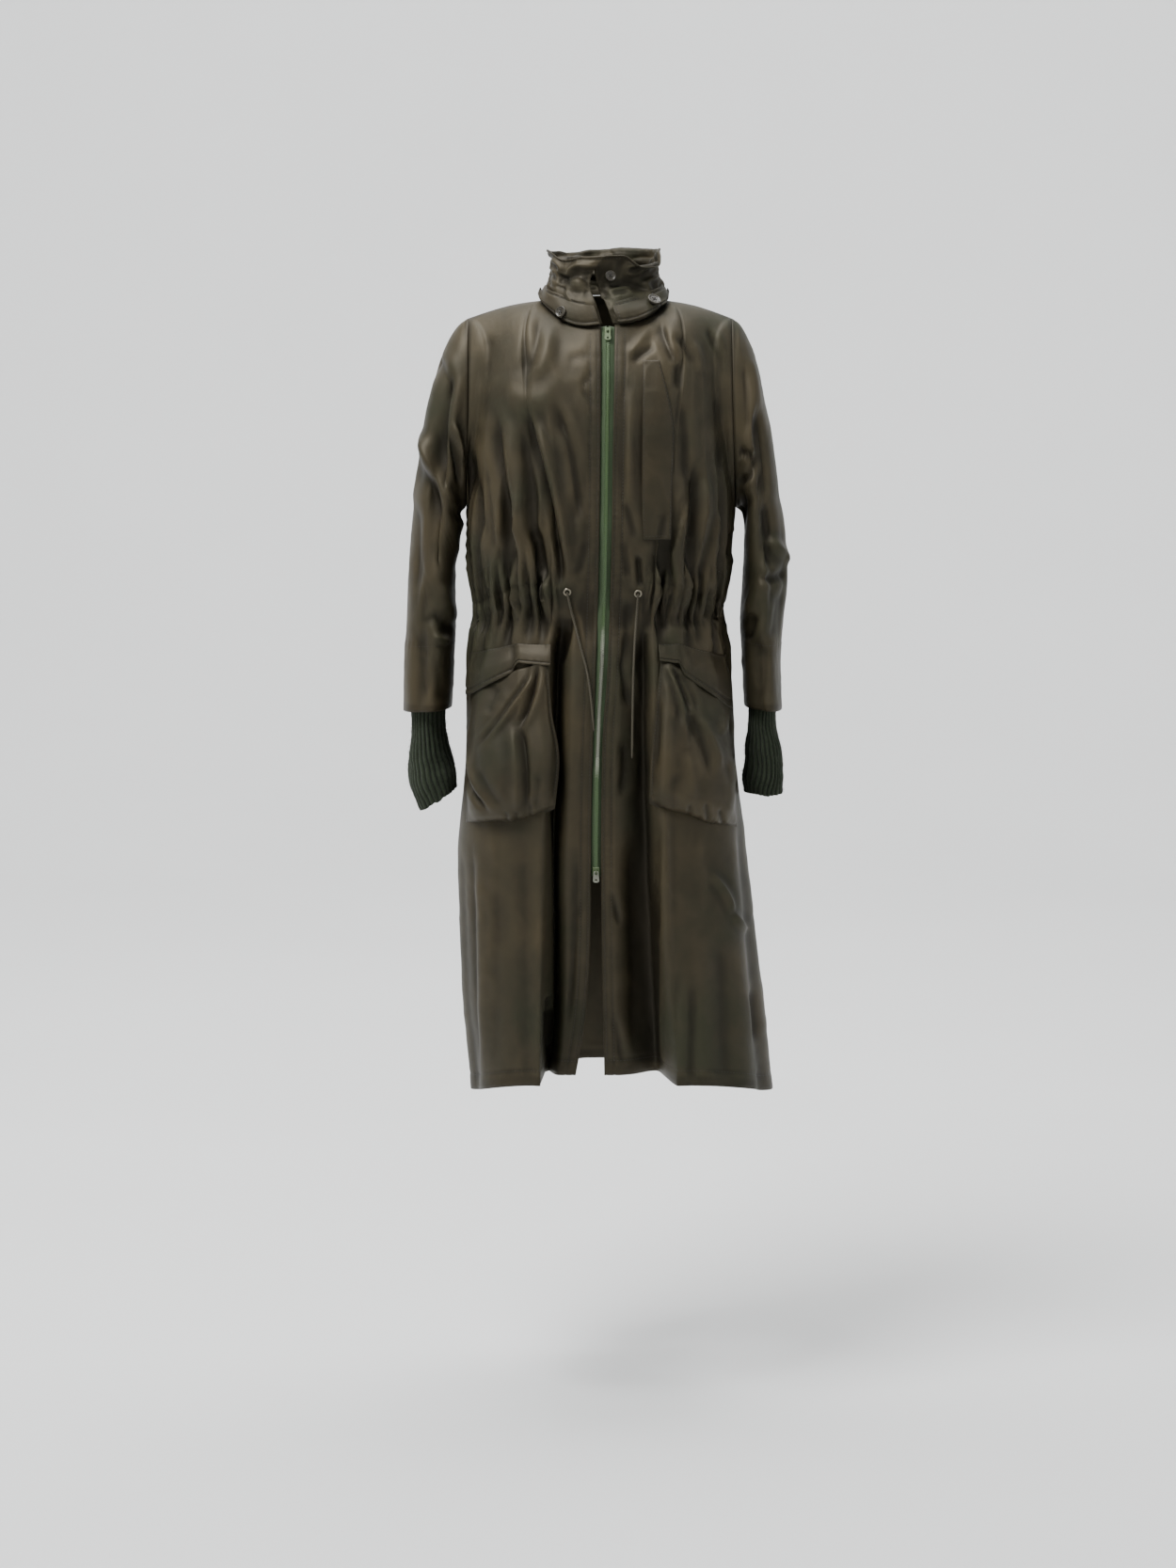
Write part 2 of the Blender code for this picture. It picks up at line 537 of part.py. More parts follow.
def solid(name, corners, faces, material):
    mesh = bpy.data.meshes.new(name)
    corners = [tuple(map(float, corner)) for corner in corners]
    mesh.from_pydata(corners, [], [list(map(int, face)) for face in faces])
    work = bmesh.new()
    work.from_mesh(mesh)
    bmesh.ops.recalc_face_normals(work, faces=work.faces)
    work.to_mesh(mesh)
    work.free()
    return placed(name, mesh, material)


def placed(name, mesh, material):
    mesh.materials.clear()
    mesh.materials.append(material)
    obj = bpy.data.objects.new(name, mesh)
    PARTS.objects.link(obj)
    return obj


# --- Places on the coat ----------------------------------------------------------------------------
def place(side, x, drop):
    """The angle and share at which the unfolded front stands at a given x and drop."""
    x, drop = np.broadcast_arrays(np.asarray(x, float), np.asarray(drop, float))
    low, high = np.zeros(x.shape), np.full(x.shape, 89.9)
    for _ in range(26):
        angle = (low + high) / 2
        share = share_at(side, angle, drop)
        past = side * smooth_body(side, angle, share)[..., 0] > side * x
        low, high = np.where(past, low, angle), np.where(past, angle, high)
    return angle, share_at(side, angle, drop)


def share_at(side, angle, drop):
    low, high = np.zeros(np.shape(angle)), np.ones(np.shape(angle))
    for _ in range(22):
        share = (low + high) / 2
        past = -smooth_body(side, angle, share)[..., 2] > drop
        low, high = np.where(past, low, share), np.where(past, share, high)
    return share


def over(side, angle, share, lift):
    """A point lifted off the coat's front, which bridges its folds and rides on its crests."""
    base = smooth_body(side, angle, share)
    rise = relief(side, angle, -base[..., 2])
    rise = (rise + np.sqrt(rise**2 + 0.001**2)) / 2
    ways = normals(lambda a, s: smooth_body(side, a, s), angle, share, side)
    return base + (rise + lift)[..., None] * ways, ways


def grid_normals(points, outward):
    """Normals worked out from a sheet's own points, turned to the side of `outward`."""
    found = unit(np.cross(np.gradient(points, axis=0), np.gradient(points, axis=1)))
    return found * np.sign(np.sum(found * outward, axis=-1, keepdims=True))


# --- The coat's large pieces -------------------------------------------------------------------------
def arm_cloth_way(side, turn):
    """Which way the body's cloth faces along the armhole seam."""
    turn = np.asarray(turn, float)
    run = armhole(side, turn + 0.02) - armhole(side, turn - 0.02)
    near = np.minimum(turn, 2 - turn)
    leaves = stacked(-side * np.cos(np.pi / 2 * near), 0, -np.sin(np.pi / 2 * near))
    faces = stacked(side * near, np.where(turn < 1, -1, 1) * np.sin(np.pi * near), 1 - near)
    way = unit(np.cross(run, leaves))
    return way * np.sign(np.sum(way * faces, axis=-1, keepdims=True))


def top_ways(side, angles, own):
    """Shared thickening directions along a body panel's top edge."""
    near = np.where(angles < 90, angles, 180 - angles)
    other = body_normals(side, 180 - angles, np.zeros_like(angles))
    sign = np.where(angles < 90, 1.0, -1.0)
    neck_turn = np.where(angles < 90, near / NECK_ANGLE * 90, 180 - near / NECK_ANGLE * 90)
    neck_turn = neck_turn if side == RIGHT else 360 - neck_turn
    neck = collar_normals(neck_turn, np.full_like(angles, 0.0))
    turn = np.clip((near - SHOULDER_ANGLE) / (90 - SHOULDER_ANGLE), 0, 1)
    turn = np.where(angles < 90, turn, 2 - turn)
    arm = sleeve_normals(side, turn, np.zeros_like(angles))
    cloth = arm_cloth_way(side, turn)
    result = own.copy()
    small = 1e-6
    for i in range(len(angles)):
        if near[i] < NECK_ANGLE - small:
            result[i] = mitred(own[i], neck[i])
        elif near[i] < NECK_ANGLE + small:
            result[i] = mitred(own[i], other[i], neck[i])
        elif near[i] < SHOULDER_ANGLE - small:
            result[i] = mitred(own[i], other[i])
        elif near[i] < SHOULDER_ANGLE + small:
            result[i] = mitred(own[i], other[i], arm[i])
        else:
            result[i] = mitred(cloth[i], arm[i])
    return result


def build_front(side, name, material):
    angle, share = np.meshgrid(FRONT_ANGLES, ROWS)
    ways = body_normals(side, angle, share)
    ways[0] = top_ways(side, FRONT_ANGLES, ways[0])
    return wall(name, body(side, angle, share), ways, material)


def build_back(material):
    halves = []
    for side in (RIGHT, LEFT):
        angle, share = np.meshgrid(BACK_ANGLES, ROWS)
        ways = body_normals(side, angle, share)
        ways[0] = top_ways(side, BACK_ANGLES, ways[0])
        halves.append((body(side, angle, share), ways))
    (right, right_ways), (left, left_ways) = halves
    points = np.concatenate([right[:, :-1], left[:, ::-1]], axis=1)
    middle = right.shape[1] - 1
    points[:, middle] = (right[:, -1] + left[:, -1]) / 2
    ways = np.concatenate([right_ways[:, :-1], left_ways[:, ::-1]], axis=1)
    ways[:, middle] = unit(right_ways[:, -1] + left_ways[:, -1])
    return wall("back", points, ways, material)


ARMHOLE_TURNS = np.linspace(0, 2, 2 * ARM_COLUMNS + 1)[:-1]
SLEEVE_ROWS = np.array([0, 0.03, 0.07, 0.12, 0.18, 0.25, 0.33, 0.42, 0.51, 0.60, 0.69, 0.78, 0.86, 0.93, 1.0])


def build_sleeve(side, name, material):
    turn, along = np.meshgrid(ARMHOLE_TURNS, SLEEVE_ROWS)
    ways = sleeve_normals(side, turn, along)
    angles = SHOULDER_ANGLE + (90 - SHOULDER_ANGLE) * np.minimum(ARMHOLE_TURNS, 2 - ARMHOLE_TURNS)
    angles = np.where(ARMHOLE_TURNS > 1, 180 - angles, angles)
    own = body_normals(side, angles, np.zeros_like(angles))
    behind = body_normals(side, 180 - angles, np.zeros_like(angles))
    shoulder_end = (ARMHOLE_TURNS == 0)[:, None]
    ways[0] = np.where(
        shoulder_end, mitred(own, behind, ways[0]), mitred(arm_cloth_way(side, ARMHOLE_TURNS), ways[0])
    )
    return wall(name, sleeve(side, turn, along), ways, material, closed=True)


# The knit cuff's rings, from inside the sleeve's hem to its open end.
KNIT = {
    RIGHT: table(
        "row outer outer_drop inner inner_drop middle half_depth",
        (0.0, 0.258, 0.505, 0.215, 0.503, 0.002, 0.047),
        (0.3, 0.258, 0.560, 0.214, 0.552, 0.000, 0.045),
        (0.6, 0.262, 0.606, 0.206, 0.596, -0.003, 0.043),
        (0.8, 0.2605, 0.636, 0.202, 0.616, -0.005, 0.045),
        (1.0, 0.246, 0.668, 0.1995, 0.640, -0.006, 0.044),
    ),
    LEFT: table(
        "row outer outer_drop inner inner_drop middle half_depth",
        (0.0, 0.230, 0.503, 0.200, 0.501, 0.002, 0.049),
        (0.3, 0.232, 0.556, 0.196, 0.553, 0.000, 0.045),
        (0.6, 0.240, 0.598, 0.192, 0.595, -0.003, 0.041),
        (0.8, 0.241, 0.626, 0.189, 0.622, -0.004, 0.040),
        (1.0, 0.239, 0.648, 0.190, 0.645, -0.004, 0.038),
    ),
}
KNIT_WALL, KNIT_RIBS, KNIT_RIB_RISE = 0.0022, 26, 0.0013
# The cuff's upper end is sewn to the sleeve's inside at KNIT_SEAT along it, and narrows below that.
KNIT_SEAT, KNIT_INSET, KNIT_FLARE = 0.93, 0.0044, 0.25


def knit(side, turn, row):
    """A point of the knit cuff, its turn measured as on the sleeve."""
    turn, row = np.broadcast_arrays(np.asarray(turn, float), np.asarray(row, float))
    rows, swing = KNIT[side], np.pi * turn
    read = {name: through(rows, name, row, "row") for name in rows if name != "row"}
    mix = (1 - np.cos(swing)) / 2
    tube = stacked(
        side * (read["outer"] + (read["inner"] - read["outer"]) * mix),
        read["middle"] - read["half_depth"] * np.sin(swing),
        -(read["outer_drop"] + (read["inner_drop"] - read["outer_drop"]) * mix),
    )
    at = np.full(turn.shape, KNIT_SEAT)
    seat = sleeve(side, turn, at) - sleeve_normals(side, turn, at) * KNIT_INSET
    sewn = (1 - step(0, KNIT_FLARE, row))[..., None]
    return tube + (seat - tube) * sewn


def build_knit(side, name, material):
    turns = np.linspace(0, 2, 2 * KNIT_RIBS + 1)[:-1]
    turn, row = np.meshgrid(turns, [0, 0.25, 0.5, 0.75, 1.0])
    ways = normals(lambda a, s: knit(side, a, s), turn, row, -side, small=(0.01, 0.01))
    raised = np.broadcast_to(KNIT_RIB_RISE * (np.arange(2 * KNIT_RIBS) % 2), turn.shape)
    return wall(name, knit(side, turn, row), ways, material, KNIT_WALL, closed=True, raised=raised)


def build_collar(material):
    """The collar shares the neckline's points at its lower edge, so that the seam's gap is even."""
    front = FRONT_ANGLES[: len(PLACKET_ANGLES)] / NECK_ANGLE * 90
    seam = np.concatenate([front, 90 + np.linspace(0, 90, NAPE_COLUMNS + 1)])
    seam = np.concatenate([seam, 360 - seam[-2::-1]])
    turn, up = np.meshgrid(seam, [0, 0.12, 0.28, 0.45, 0.62, 0.8, 1.0])
    points, ways = collar(turn, up), collar_normals(turn, up)
    near = np.where(seam <= 180, seam, 360 - seam)
    angles = np.where(near <= 90, near / 90 * NECK_ANGLE, 180 - (180 - near) / 90 * NECK_ANGLE)
    neck, joined = collar_normals(seam, np.zeros_like(seam)), np.zeros((len(seam), 3))
    for side, here in ((RIGHT, seam <= 180), (LEFT, seam >= 180)):
        own = body_normals(side, angles, np.zeros_like(angles))
        behind = body_normals(side, 180 - angles, np.zeros_like(angles))
        both = np.where(np.isclose(near, 90)[:, None], mitred(neck, own, behind), mitred(neck, own))
        joined[here] = both[here]
    ways[0] = joined
    return wall("collar", points, ways, material)


# --- The pieces that lie on the coat ------------------------------------------------------------------
# Each pocket's inner and outer edges, from its mouth to its bottom, and how far its front stands out.
POCKET = {
    RIGHT: table(
        "down inner_x inner_drop outer_x outer_drop stand",
        (0.00, -0.072, 0.455, -0.173, 0.492, 0.0065),
        (0.35, -0.068, 0.520, -0.178, 0.560, 0.012),
        (0.75, -0.058, 0.590, -0.182, 0.640, 0.022),
        (1.00, -0.064, 0.648, -0.181, 0.680, 0.014),
    ),
    LEFT: table(
        "down inner_x inner_drop outer_x outer_drop stand",
        (0.00, 0.074, 0.455, 0.160, 0.500, 0.0065),
        (0.35, 0.066, 0.520, 0.168, 0.565, 0.012),
        (0.75, 0.060, 0.590, 0.174, 0.640, 0.022),
        (1.00, 0.059, 0.643, 0.176, 0.683, 0.014),
    ),
}
POCKET_SAG = 0.006
# Each flap's lower edge, from its front end to its side end, in shares of the pocket's width.
FLAP = {
    RIGHT: table(
        "across top bottom",
        (0.00, 0.436, 0.464),
        (0.40, 0.436, 0.461),
        (0.46, 0.437, 0.474),
        (1.00, 0.452, 0.508),
    ),
    LEFT: table(
        "across top bottom",
        (0.00, 0.436, 0.458),
        (0.26, 0.436, 0.462),
        (0.32, 0.437, 0.476),
        (1.00, 0.456, 0.524),
    ),
}


def pocket(side, across, down):
    """A bellows pocket: its front stands off the coat and its edges come back to it."""
    across, down = np.broadcast_arrays(np.asarray(across, float), np.asarray(down, float))
    read = {name: through(POCKET[side], name, down, "down") for name in POCKET[side] if name != "down"}
    x = read["inner_x"] + (read["outer_x"] - read["inner_x"]) * across
    drop = read["inner_drop"] + (read["outer_drop"] - read["inner_drop"]) * across
    drop = drop + POCKET_SAG * np.sin(np.pi * across) * down
    angle, share = place(side, x, drop)
    edge = step(0, 0.16, across) * (1 - step(0.78, 1, across)) * (1 - step(0.86, 1.0, down))
    folds = 0.003 * np.sin(9 * across + 4 * down) * np.sin(np.pi * across) * np.sin(np.pi * down)
    lift = 0.0021 + (read["stand"] - 0.0021 + folds) * edge
    return over(side, angle, share, lift)


def build_pocket(side, name, material):
    across, down = np.meshgrid(
        [0, 0.06, 0.15, 0.26, 0.38, 0.5, 0.62, 0.74, 0.85, 0.94, 1.0],
        [0, 0.14, 0.3, 0.46, 0.62, 0.75, 0.85, 0.93, 1.0],
    )
    points, ways = pocket(side, across, down)
    return wall(name, points, grid_normals(points, ways), material)


def build_flap(side, name, material):
    across, down = np.meshgrid(
        [-0.03, 0.08, 0.19, 0.3, 0.39, 0.47, 0.56, 0.67, 0.78, 0.9, 1.03], [0, 0.2, 0.45, 0.72, 1.0]
    )
    rows = FLAP[side]
    at = np.clip(across, 0, 1)
    top, bottom = np.interp(at, rows["across"], rows["top"]), np.interp(at, rows["across"], rows["bottom"])
    inner, outer = POCKET[side]["inner_x"][0], POCKET[side]["outer_x"][0]
    angle, share = place(side, inner + (outer - inner) * across, top + (bottom - top) * down)
    lift = 0.0042 + 0.0020 * across + 0.0085 * step(0, 0.5, down) + 0.0012 * np.sin(11 * across) * down
    points, ways = over(side, angle, share, lift)
    return wall(name, points, grid_normals(points, ways), material)


CHEST_POCKET = table(
    "down inner_x outer_x",
    (0.00, 0.0500, 0.0720),
    (0.35, 0.0495, 0.0890),
    (0.70, 0.0490, 0.0880),
    (1.00, 0.0500, 0.0860),
)
CHEST_POCKET_TOP, CHEST_POCKET_BOTTOM = 0.068, 0.298


def build_chest_pocket(material):
    across, down = np.meshgrid(np.linspace(0, 1, 4), np.linspace(0, 1, 12))
    inner = through(CHEST_POCKET, "inner_x", down, "down")
    outer = through(CHEST_POCKET, "outer_x", down, "down")
    drop = CHEST_POCKET_TOP + (CHEST_POCKET_BOTTOM - CHEST_POCKET_TOP) * down
    angle, share = place(LEFT, inner + (outer - inner) * across, drop)
    points, ways = over(LEFT, angle, share, CLOTH + 0.0016)
    return wall("chest_pocket", points, grid_normals(points, ways), material)


# Collar tabs: shares of the turn round the neck, from the front edge, and their upper and lower lines.
TAB = {
    RIGHT: table(
        "turn top low out",
        (2, 0.34, 0.0020, 0.0045),
        (36, 0.37, 0.0040, 0.0080),
        (60, 0.37, -0.0055, 0.0070),
        (96, 0.38, -0.0120, 0.0045),
    ),
    LEFT: table(
        "turn top low out",
        (5, 0.33, 0.0010, 0.0045),
        (36, 0.36, 0.0010, 0.0080),
        (60, 0.37, -0.0055, 0.0070),
        (94, 0.38, -0.0120, 0.0045),
    ),
}


def build_tab(side, name, material):
    """A tab over the collar's base; its lower edge hangs free over the neck seam."""
    rows = TAB[side]
    near, down = np.meshgrid(np.linspace(rows["turn"][0], rows["turn"][-1], 11), [0, 0.3, 0.6, 0.85, 1.0])
    turn = near if side == RIGHT else 360 - near
    top, low, out = (through(rows, key, near, "turn") for key in ("top", "low", "out"))
    points = collar(turn, top * (1 - down))
    ways = collar_normals(turn, np.full_like(turn, 0.2))
    drop = stacked(0, 0, 1) * (low * step(0.4, 1, down))[..., None]
    points = points + ways * (0.0028 + out * step(0, 1, down))[..., None] - drop
    return wall(name, points, grid_normals(points, ways), material)


# --- Frames for hard parts ------------------------------------------------------------------------
def standing(point, way, down=(0.0, 0.0, -1.0)):
    """A matrix whose X runs across, Y runs up the cloth and Z points out of it."""
    out = Vector(tuple(map(float, way))).normalized()
    up = -Vector(tuple(map(float, down)))
    up = (up - up.dot(out) * out).normalized()
    matrix = Matrix((up.cross(out), up, out)).transposed().to_4x4()
    matrix.translation = Vector(tuple(map(float, point)))
    return matrix


def cutter(name, target, operation, matrix, mesh):
    """A live Boolean: a wire-displayed object that is added to or cut from a part."""
    obj = bpy.data.objects.new(name, mesh)
    obj.matrix_world = matrix
    obj.display_type = "WIRE"
    obj.hide_render = True
    CUTTERS.objects.link(obj)
    modifier = target.modifiers.new(name, "BOOLEAN")
    modifier.operation, modifier.solver, modifier.object = operation, "EXACT", obj
    return obj


def block(name, centre, size):
    """A box mesh; sizes across, up and out."""
    mesh = bpy.data.meshes.new(name)
    work = bmesh.new()
    bmesh.ops.create_cube(work, size=1.0, matrix=Matrix.Translation(centre) @ Matrix.Diagonal((*size, 1.0)))
    work.to_mesh(mesh)
    work.free()
    return mesh


def drum(name, centre, radius, depth, sides):
    mesh = bpy.data.meshes.new(name)
    work = bmesh.new()
    bmesh.ops.create_cone(
        work, cap_ends=True, segments=sides, radius1=radius, radius2=radius, depth=depth,
        matrix=Matrix.Translation(centre),
    )
    work.to_mesh(mesh)
    work.free()
    return mesh


def turned(name, profile, matrix, material, steps):
    """A part turned about its own Z from a profile of radius and height."""
    mesh = bpy.data.meshes.new(name)
    count = len(profile)
    on_axis = profile[0][0] == 0
    edges = [(i, i + 1) for i in range(count - 1)] + ([] if on_axis else [(count - 1, 0)])
    mesh.from_pydata([(radius, 0.0, height) for radius, height in profile], edges, [])
    obj = placed(name, mesh, material)
    obj.matrix_world = matrix
    screw = obj.modifiers.new("turn", "SCREW")
    screw.axis, screw.angle = "Z", math.tau
    screw.steps = screw.render_steps = steps
    screw.use_merge_vertices, screw.merge_threshold = True, 1e-5
    screw.use_normal_calculate = True
    return obj


def bevelled(obj, width, segments=1):
    bevel = obj.modifiers.new("bevel", "BEVEL")
    bevel.width, bevel.segments, bevel.limit_method = width, segments, "ANGLE"
    bevel.angle_limit = math.radians(40)


# --- The zip ---------------------------------------------------------------------------------------
CHAIN_HALF = 0.0025  # half the width between the two tapes
TAPE, CHAIN = 0.0010, 0.0024
TAPE_TOP, TAPE_BOTTOM = 0.0225, 0.742
SLIDER_DROP = {"top": 0.0300, "bottom": 0.7345}
SLIDER_SIZE = (0.0084, 0.0110, 0.0015)  # across, up, and the thickness of each plate
SLIDER_GAP = 0.0006
PIVOT_OUT = 0.00115  # from the slider's face to the pull's bar
BRIDGE_SPAN, BRIDGE_OUT, BRIDGE_RADIUS = 0.0020, 0.00175, 0.0006
PULL = 0.0012  # thickness
PULL_LENGTH, PULL_TOP_WIDTH, PULL_BOTTOM_WIDTH = 0.0150, 0.0062, 0.0088
PULL_SLOT = (0.0034, 0.0036)
PULL_HOLE = 0.0013  # radius
BAR = 0.0012


def zip_line(drop):
    """Points on the two front edges and midway, on the straight runs between the fronts' own rows."""
    drop = np.asarray(drop, float)
    zero = np.zeros_like(ROWS)
    right, left = body(RIGHT, zero, ROWS), body(LEFT, zero, ROWS)

    def read(rows):
        return np.stack([np.interp(drop, -rows[:, 2], rows[:, k]) for k in range(3)], axis=-1)

    right, left = read(right), read(left)
    middle = (right + left) / 2
    return right, left, middle, unit(np.gradient(middle, axis=0))


def zip_rows(top, bottom):
    """The drops of the fronts' own rows between two ends, and the ends."""
    drops = -body(RIGHT, np.zeros_like(ROWS), ROWS)[:, 2]
    return np.concatenate([[top], drops[(drops > top + 0.003) & (drops < bottom - 0.003)], [bottom]])


def zip_frame(drop):
    right, left, middle, run = zip_line(drop + np.array([-0.004, 0.0, 0.004]))
    across = unit(left[1] - right[1])
    down = unit(middle[2] - middle[0])
    return middle[1], unit(np.cross(down, across)), down


def build_tape(side, name, material):
    right, left, middle, run = zip_line(zip_rows(TAPE_TOP, TAPE_BOTTOM))
    across = unit(left - right)
    edge = left if side == LEFT else right
    inner = middle + across * side * CHAIN_HALF
    points = np.stack([edge, (edge + inner) / 2, inner], axis=1)
    ways = unit(np.cross(run, across))
    return wall(name, points, np.repeat(ways[:, None], 3, axis=1), material, TAPE)


def build_chain(material):
    half = SLIDER_SIZE[1] / 2 + SLIDER_GAP / 2
    top, bottom = SLIDER_DROP["top"] + half, SLIDER_DROP["bottom"] - half
    right, left, middle, run = zip_line(zip_rows(top, bottom))
    across = unit(left - right)
    half_width = CHAIN_HALF - SEAM / 2
    points = np.stack([middle - across * half_width, middle + across * half_width], axis=1)
    ways = np.repeat(unit(np.cross(run, across))[:, None], 2, axis=1)
    return wall("zip_chain", points, ways, material, CHAIN)


def build_slider(which, material):
    """Two plates joined by a web between the tapes, with a bridge that holds the pull."""
    point, out, down = zip_frame(SLIDER_DROP[which])
    frame = standing(point, out, down)
    wide, tall, plate = SLIDER_SIZE
    face = TAPE / 2 + SLIDER_GAP + plate
    name = "zip_slider_" + which
    obj = placed(name, block(name, (0, 0, face - plate / 2), (wide, tall, plate)), material)
    obj.matrix_world = frame
    bevelled(obj, 0.0004)
    web = 2 * (CHAIN_HALF - SEAM)
    web_block = block(name + "_web", (0, 0, 0), (web, tall - 0.002, 2 * face - plate))
    cutter(name + "_web", obj, "UNION", frame, web_block)
    back = block(name + "_back", (0, 0, plate / 2 - face), (wide, tall, plate))
    cutter(name + "_back", obj, "UNION", frame, back)
    turns = np.linspace(0, math.pi, 7)
    arch = [(0.0, BRIDGE_SPAN * math.cos(t), face + PIVOT_OUT + BRIDGE_OUT * math.sin(t)) for t in turns]
    arch = [(0.0, BRIDGE_SPAN, face - 0.0008)] + arch + [(0.0, -BRIDGE_SPAN, face - 0.0008)]
    cutter(name + "_bridge", obj, "UNION", frame, tube_mesh(name + "_bridge", arch, BRIDGE_RADIUS, 8))
    return obj


def tube_mesh(name, line, radius, sides):
    """A round bar along a line that lies in the plane x = 0."""
    line = np.array(line, float)
    run = unit(np.gradient(line, axis=0))
    across = np.array([1.0, 0.0, 0.0])
    other = np.cross(run, across)
    turn = np.arange(sides) * math.tau / sides
    rings = line[:, None] + radius * (
        np.cos(turn)[None, :, None] * across + np.sin(turn)[None, :, None] * other[:, None]
    )
    count = len(line)
    faces = []
    for i in range(count - 1):
        for j in range(sides):
            k = (j + 1) % sides
            faces.append((i * sides + j, i * sides + k, (i + 1) * sides + k, (i + 1) * sides + j))
    faces += [tuple(range(sides)), tuple(range((count - 1) * sides, count * sides))]
    mesh = bpy.data.meshes.new(name)
    mesh.from_pydata([tuple(map(float, p)) for p in rings.reshape(-1, 3)], [], faces)
    work = bmesh.new()
    work.from_mesh(mesh)
    bmesh.ops.recalc_face_normals(work, faces=work.faces)
    work.to_mesh(mesh)
    work.free()
    return mesh


def pivot(which):
    """Where a pull's bar lies, with the slider's frame."""
    point, out, down = zip_frame(SLIDER_DROP[which])
    frame = standing(point, out, down)
    height = TAPE / 2 + SLIDER_GAP + SLIDER_SIZE[2] + PIVOT_OUT
    return frame @ Matrix.Translation((0, 0, height))


def build_pull(which, material):
    """A pull tab that widens downwards, with a slot round the bridge and a hole at its end."""
    frame = pivot(which)
    name = "zip_pull_" + which
    top, bottom = BAR / 2, BAR / 2 - PULL_LENGTH
    half_top, half_bottom = PULL_TOP_WIDTH / 2, PULL_BOTTOM_WIDTH / 2
    outline = [(half_top - 0.0006, top), (half_top, top - 0.0006), (half_bottom, bottom + 0.0025)]
    outline += [(half_bottom * 0.8, bottom + 0.0007), (half_bottom * 0.45, bottom)]
    outline += [(-x, y) for x, y in reversed(outline)]
    mesh = bpy.data.meshes.new(name)
    work = bmesh.new()
    face = work.faces.new([work.verts.new((x, y, -PULL / 2)) for x, y in outline])
    grown = bmesh.ops.extrude_face_region(work, geom=[face])["geom"]
    bmesh.ops.translate(work, vec=(0, 0, PULL), verts=[v for v in grown if isinstance(v, bmesh.types.BMVert)])
    bmesh.ops.recalc_face_normals(work, faces=work.faces)
    work.to_mesh(mesh)
    work.free()
    obj = placed(name, mesh, material)
    obj.matrix_world = frame
    slot_wide, slot_tall = PULL_SLOT
    slot = block(name + "_slot", (0, -BAR / 2 - slot_tall / 2, 0), (slot_wide, slot_tall, 4 * PULL))
    cutter(name + "_slot", obj, "DIFFERENCE", frame, slot)
    hole = drum(name + "_hole", (0, bottom + 0.0032, 0), PULL_HOLE, 4 * PULL, 12)
    cutter(name + "_hole", obj, "DIFFERENCE", frame, hole)
    bevelled(obj, 0.0002)
    return obj


# --- Buttons, eyelets and cord ends --------------------------------------------------------------------
BUTTON_THICK = 0.0030
EYELET_OUTER, EYELET_HOLE, EYELET_THICK = 0.0052, 0.0028, 0.0014
CORD = 0.0030  # diameter
CORD_ROUTE = {
    RIGHT: table(
        "along x drop lift",
        (0.0, -0.0480, 0.3655, 0.0048),
        (0.22, -0.0385, 0.4080, 0.0060),
        (0.45, -0.0290, 0.4450, 0.0040),
        (0.62, -0.0222, 0.4710, 0.0036),
        (0.80, -0.0172, 0.5050, 0.0036),
        (1.0, -0.0132, 0.5480, 0.0036),
    ),
    LEFT: table(
        "along x drop lift",
        (0.0, 0.0440, 0.3675, 0.0048),
        (0.30, 0.0390, 0.4420, 0.0060),
        (0.60, 0.0372, 0.5050, 0.0040),
        (0.85, 0.0366, 0.5560, 0.0036),
        (1.0, 0.0362, 0.5830, 0.0036),
    ),
}


def eyelet_place(side):
    rows = CORD_ROUTE[side]
    angle, share = place(side, rows["x"][0], rows["drop"][0] + 0.001)
    point, way = over(side, angle, share, CLOTH / 2 + 0.0003)
    return point, way


def build_eyelet(side, name, material):
    point, way = eyelet_place(side)
    thick = EYELET_THICK
    profile = [
        (EYELET_HOLE, 0.0),
        (EYELET_HOLE, thick * 0.7),
        (EYELET_HOLE + 0.0006, thick),
        (EYELET_OUTER - 0.0008, thick),
        (EYELET_OUTER, thick * 0.4),
        (EYELET_OUTER, 0.0),
    ]
    return turned(name, profile, standing(point, way), material, 16)


def cord_line(side, count=15):
    rows = CORD_ROUTE[side]
    along = np.linspace(0, 1, count)
    x, drop, lift = (through(rows, key, along, "along") for key in ("x", "drop", "lift"))
    angle, share = place(side, x, drop)
    return over(side, angle, share, CLOTH / 2 + lift - 0.0008)[0]


def build_cord(side, name, material):
    curve = bpy.data.curves.new(name, "CURVE")
    curve.dimensions = "3D"
    curve.bevel_depth, curve.bevel_resolution, curve.use_fill_caps = CORD / 2, 2, True
    line = cord_line(side)
    spline = curve.splines.new("POLY")
    spline.points.add(len(line) - 1)
    for spot, point in zip(spline.points, line):
        spot.co = (*map(float, point), 1.0)
    curve.materials.append(material)
    obj = bpy.data.objects.new(name, curve)
    PARTS.objects.link(obj)
    return obj


def build_button(name, diameter, point, way, material):
    """A round sew-through button with a raised rim and four holes."""
    radius, thick = diameter / 2, BUTTON_THICK
    profile = [
        (0.0, 0.0),
        (radius * 0.80, 0.0),
        (radius, thick * 0.45),
        (radius * 0.96, thick * 0.95),
        (radius * 0.84, thick),
        (radius * 0.70, thick * 0.66),
        (0.0, thick * 0.60),
    ]
    frame = standing(point, way)
    obj = turned(name, profile, frame, material, 18)
    spread, hole = radius * 0.24, radius * 0.11
    for number in range(4):
        turn = math.tau * (number + 0.5) / 4
        centre = (spread * math.cos(turn), spread * math.sin(turn), thick / 2)
        cut = f"{name}_hole_{number}"
        cutter(cut, obj, "DIFFERENCE", frame, drum(cut, centre, hole, 3 * thick, 6))
    return obj


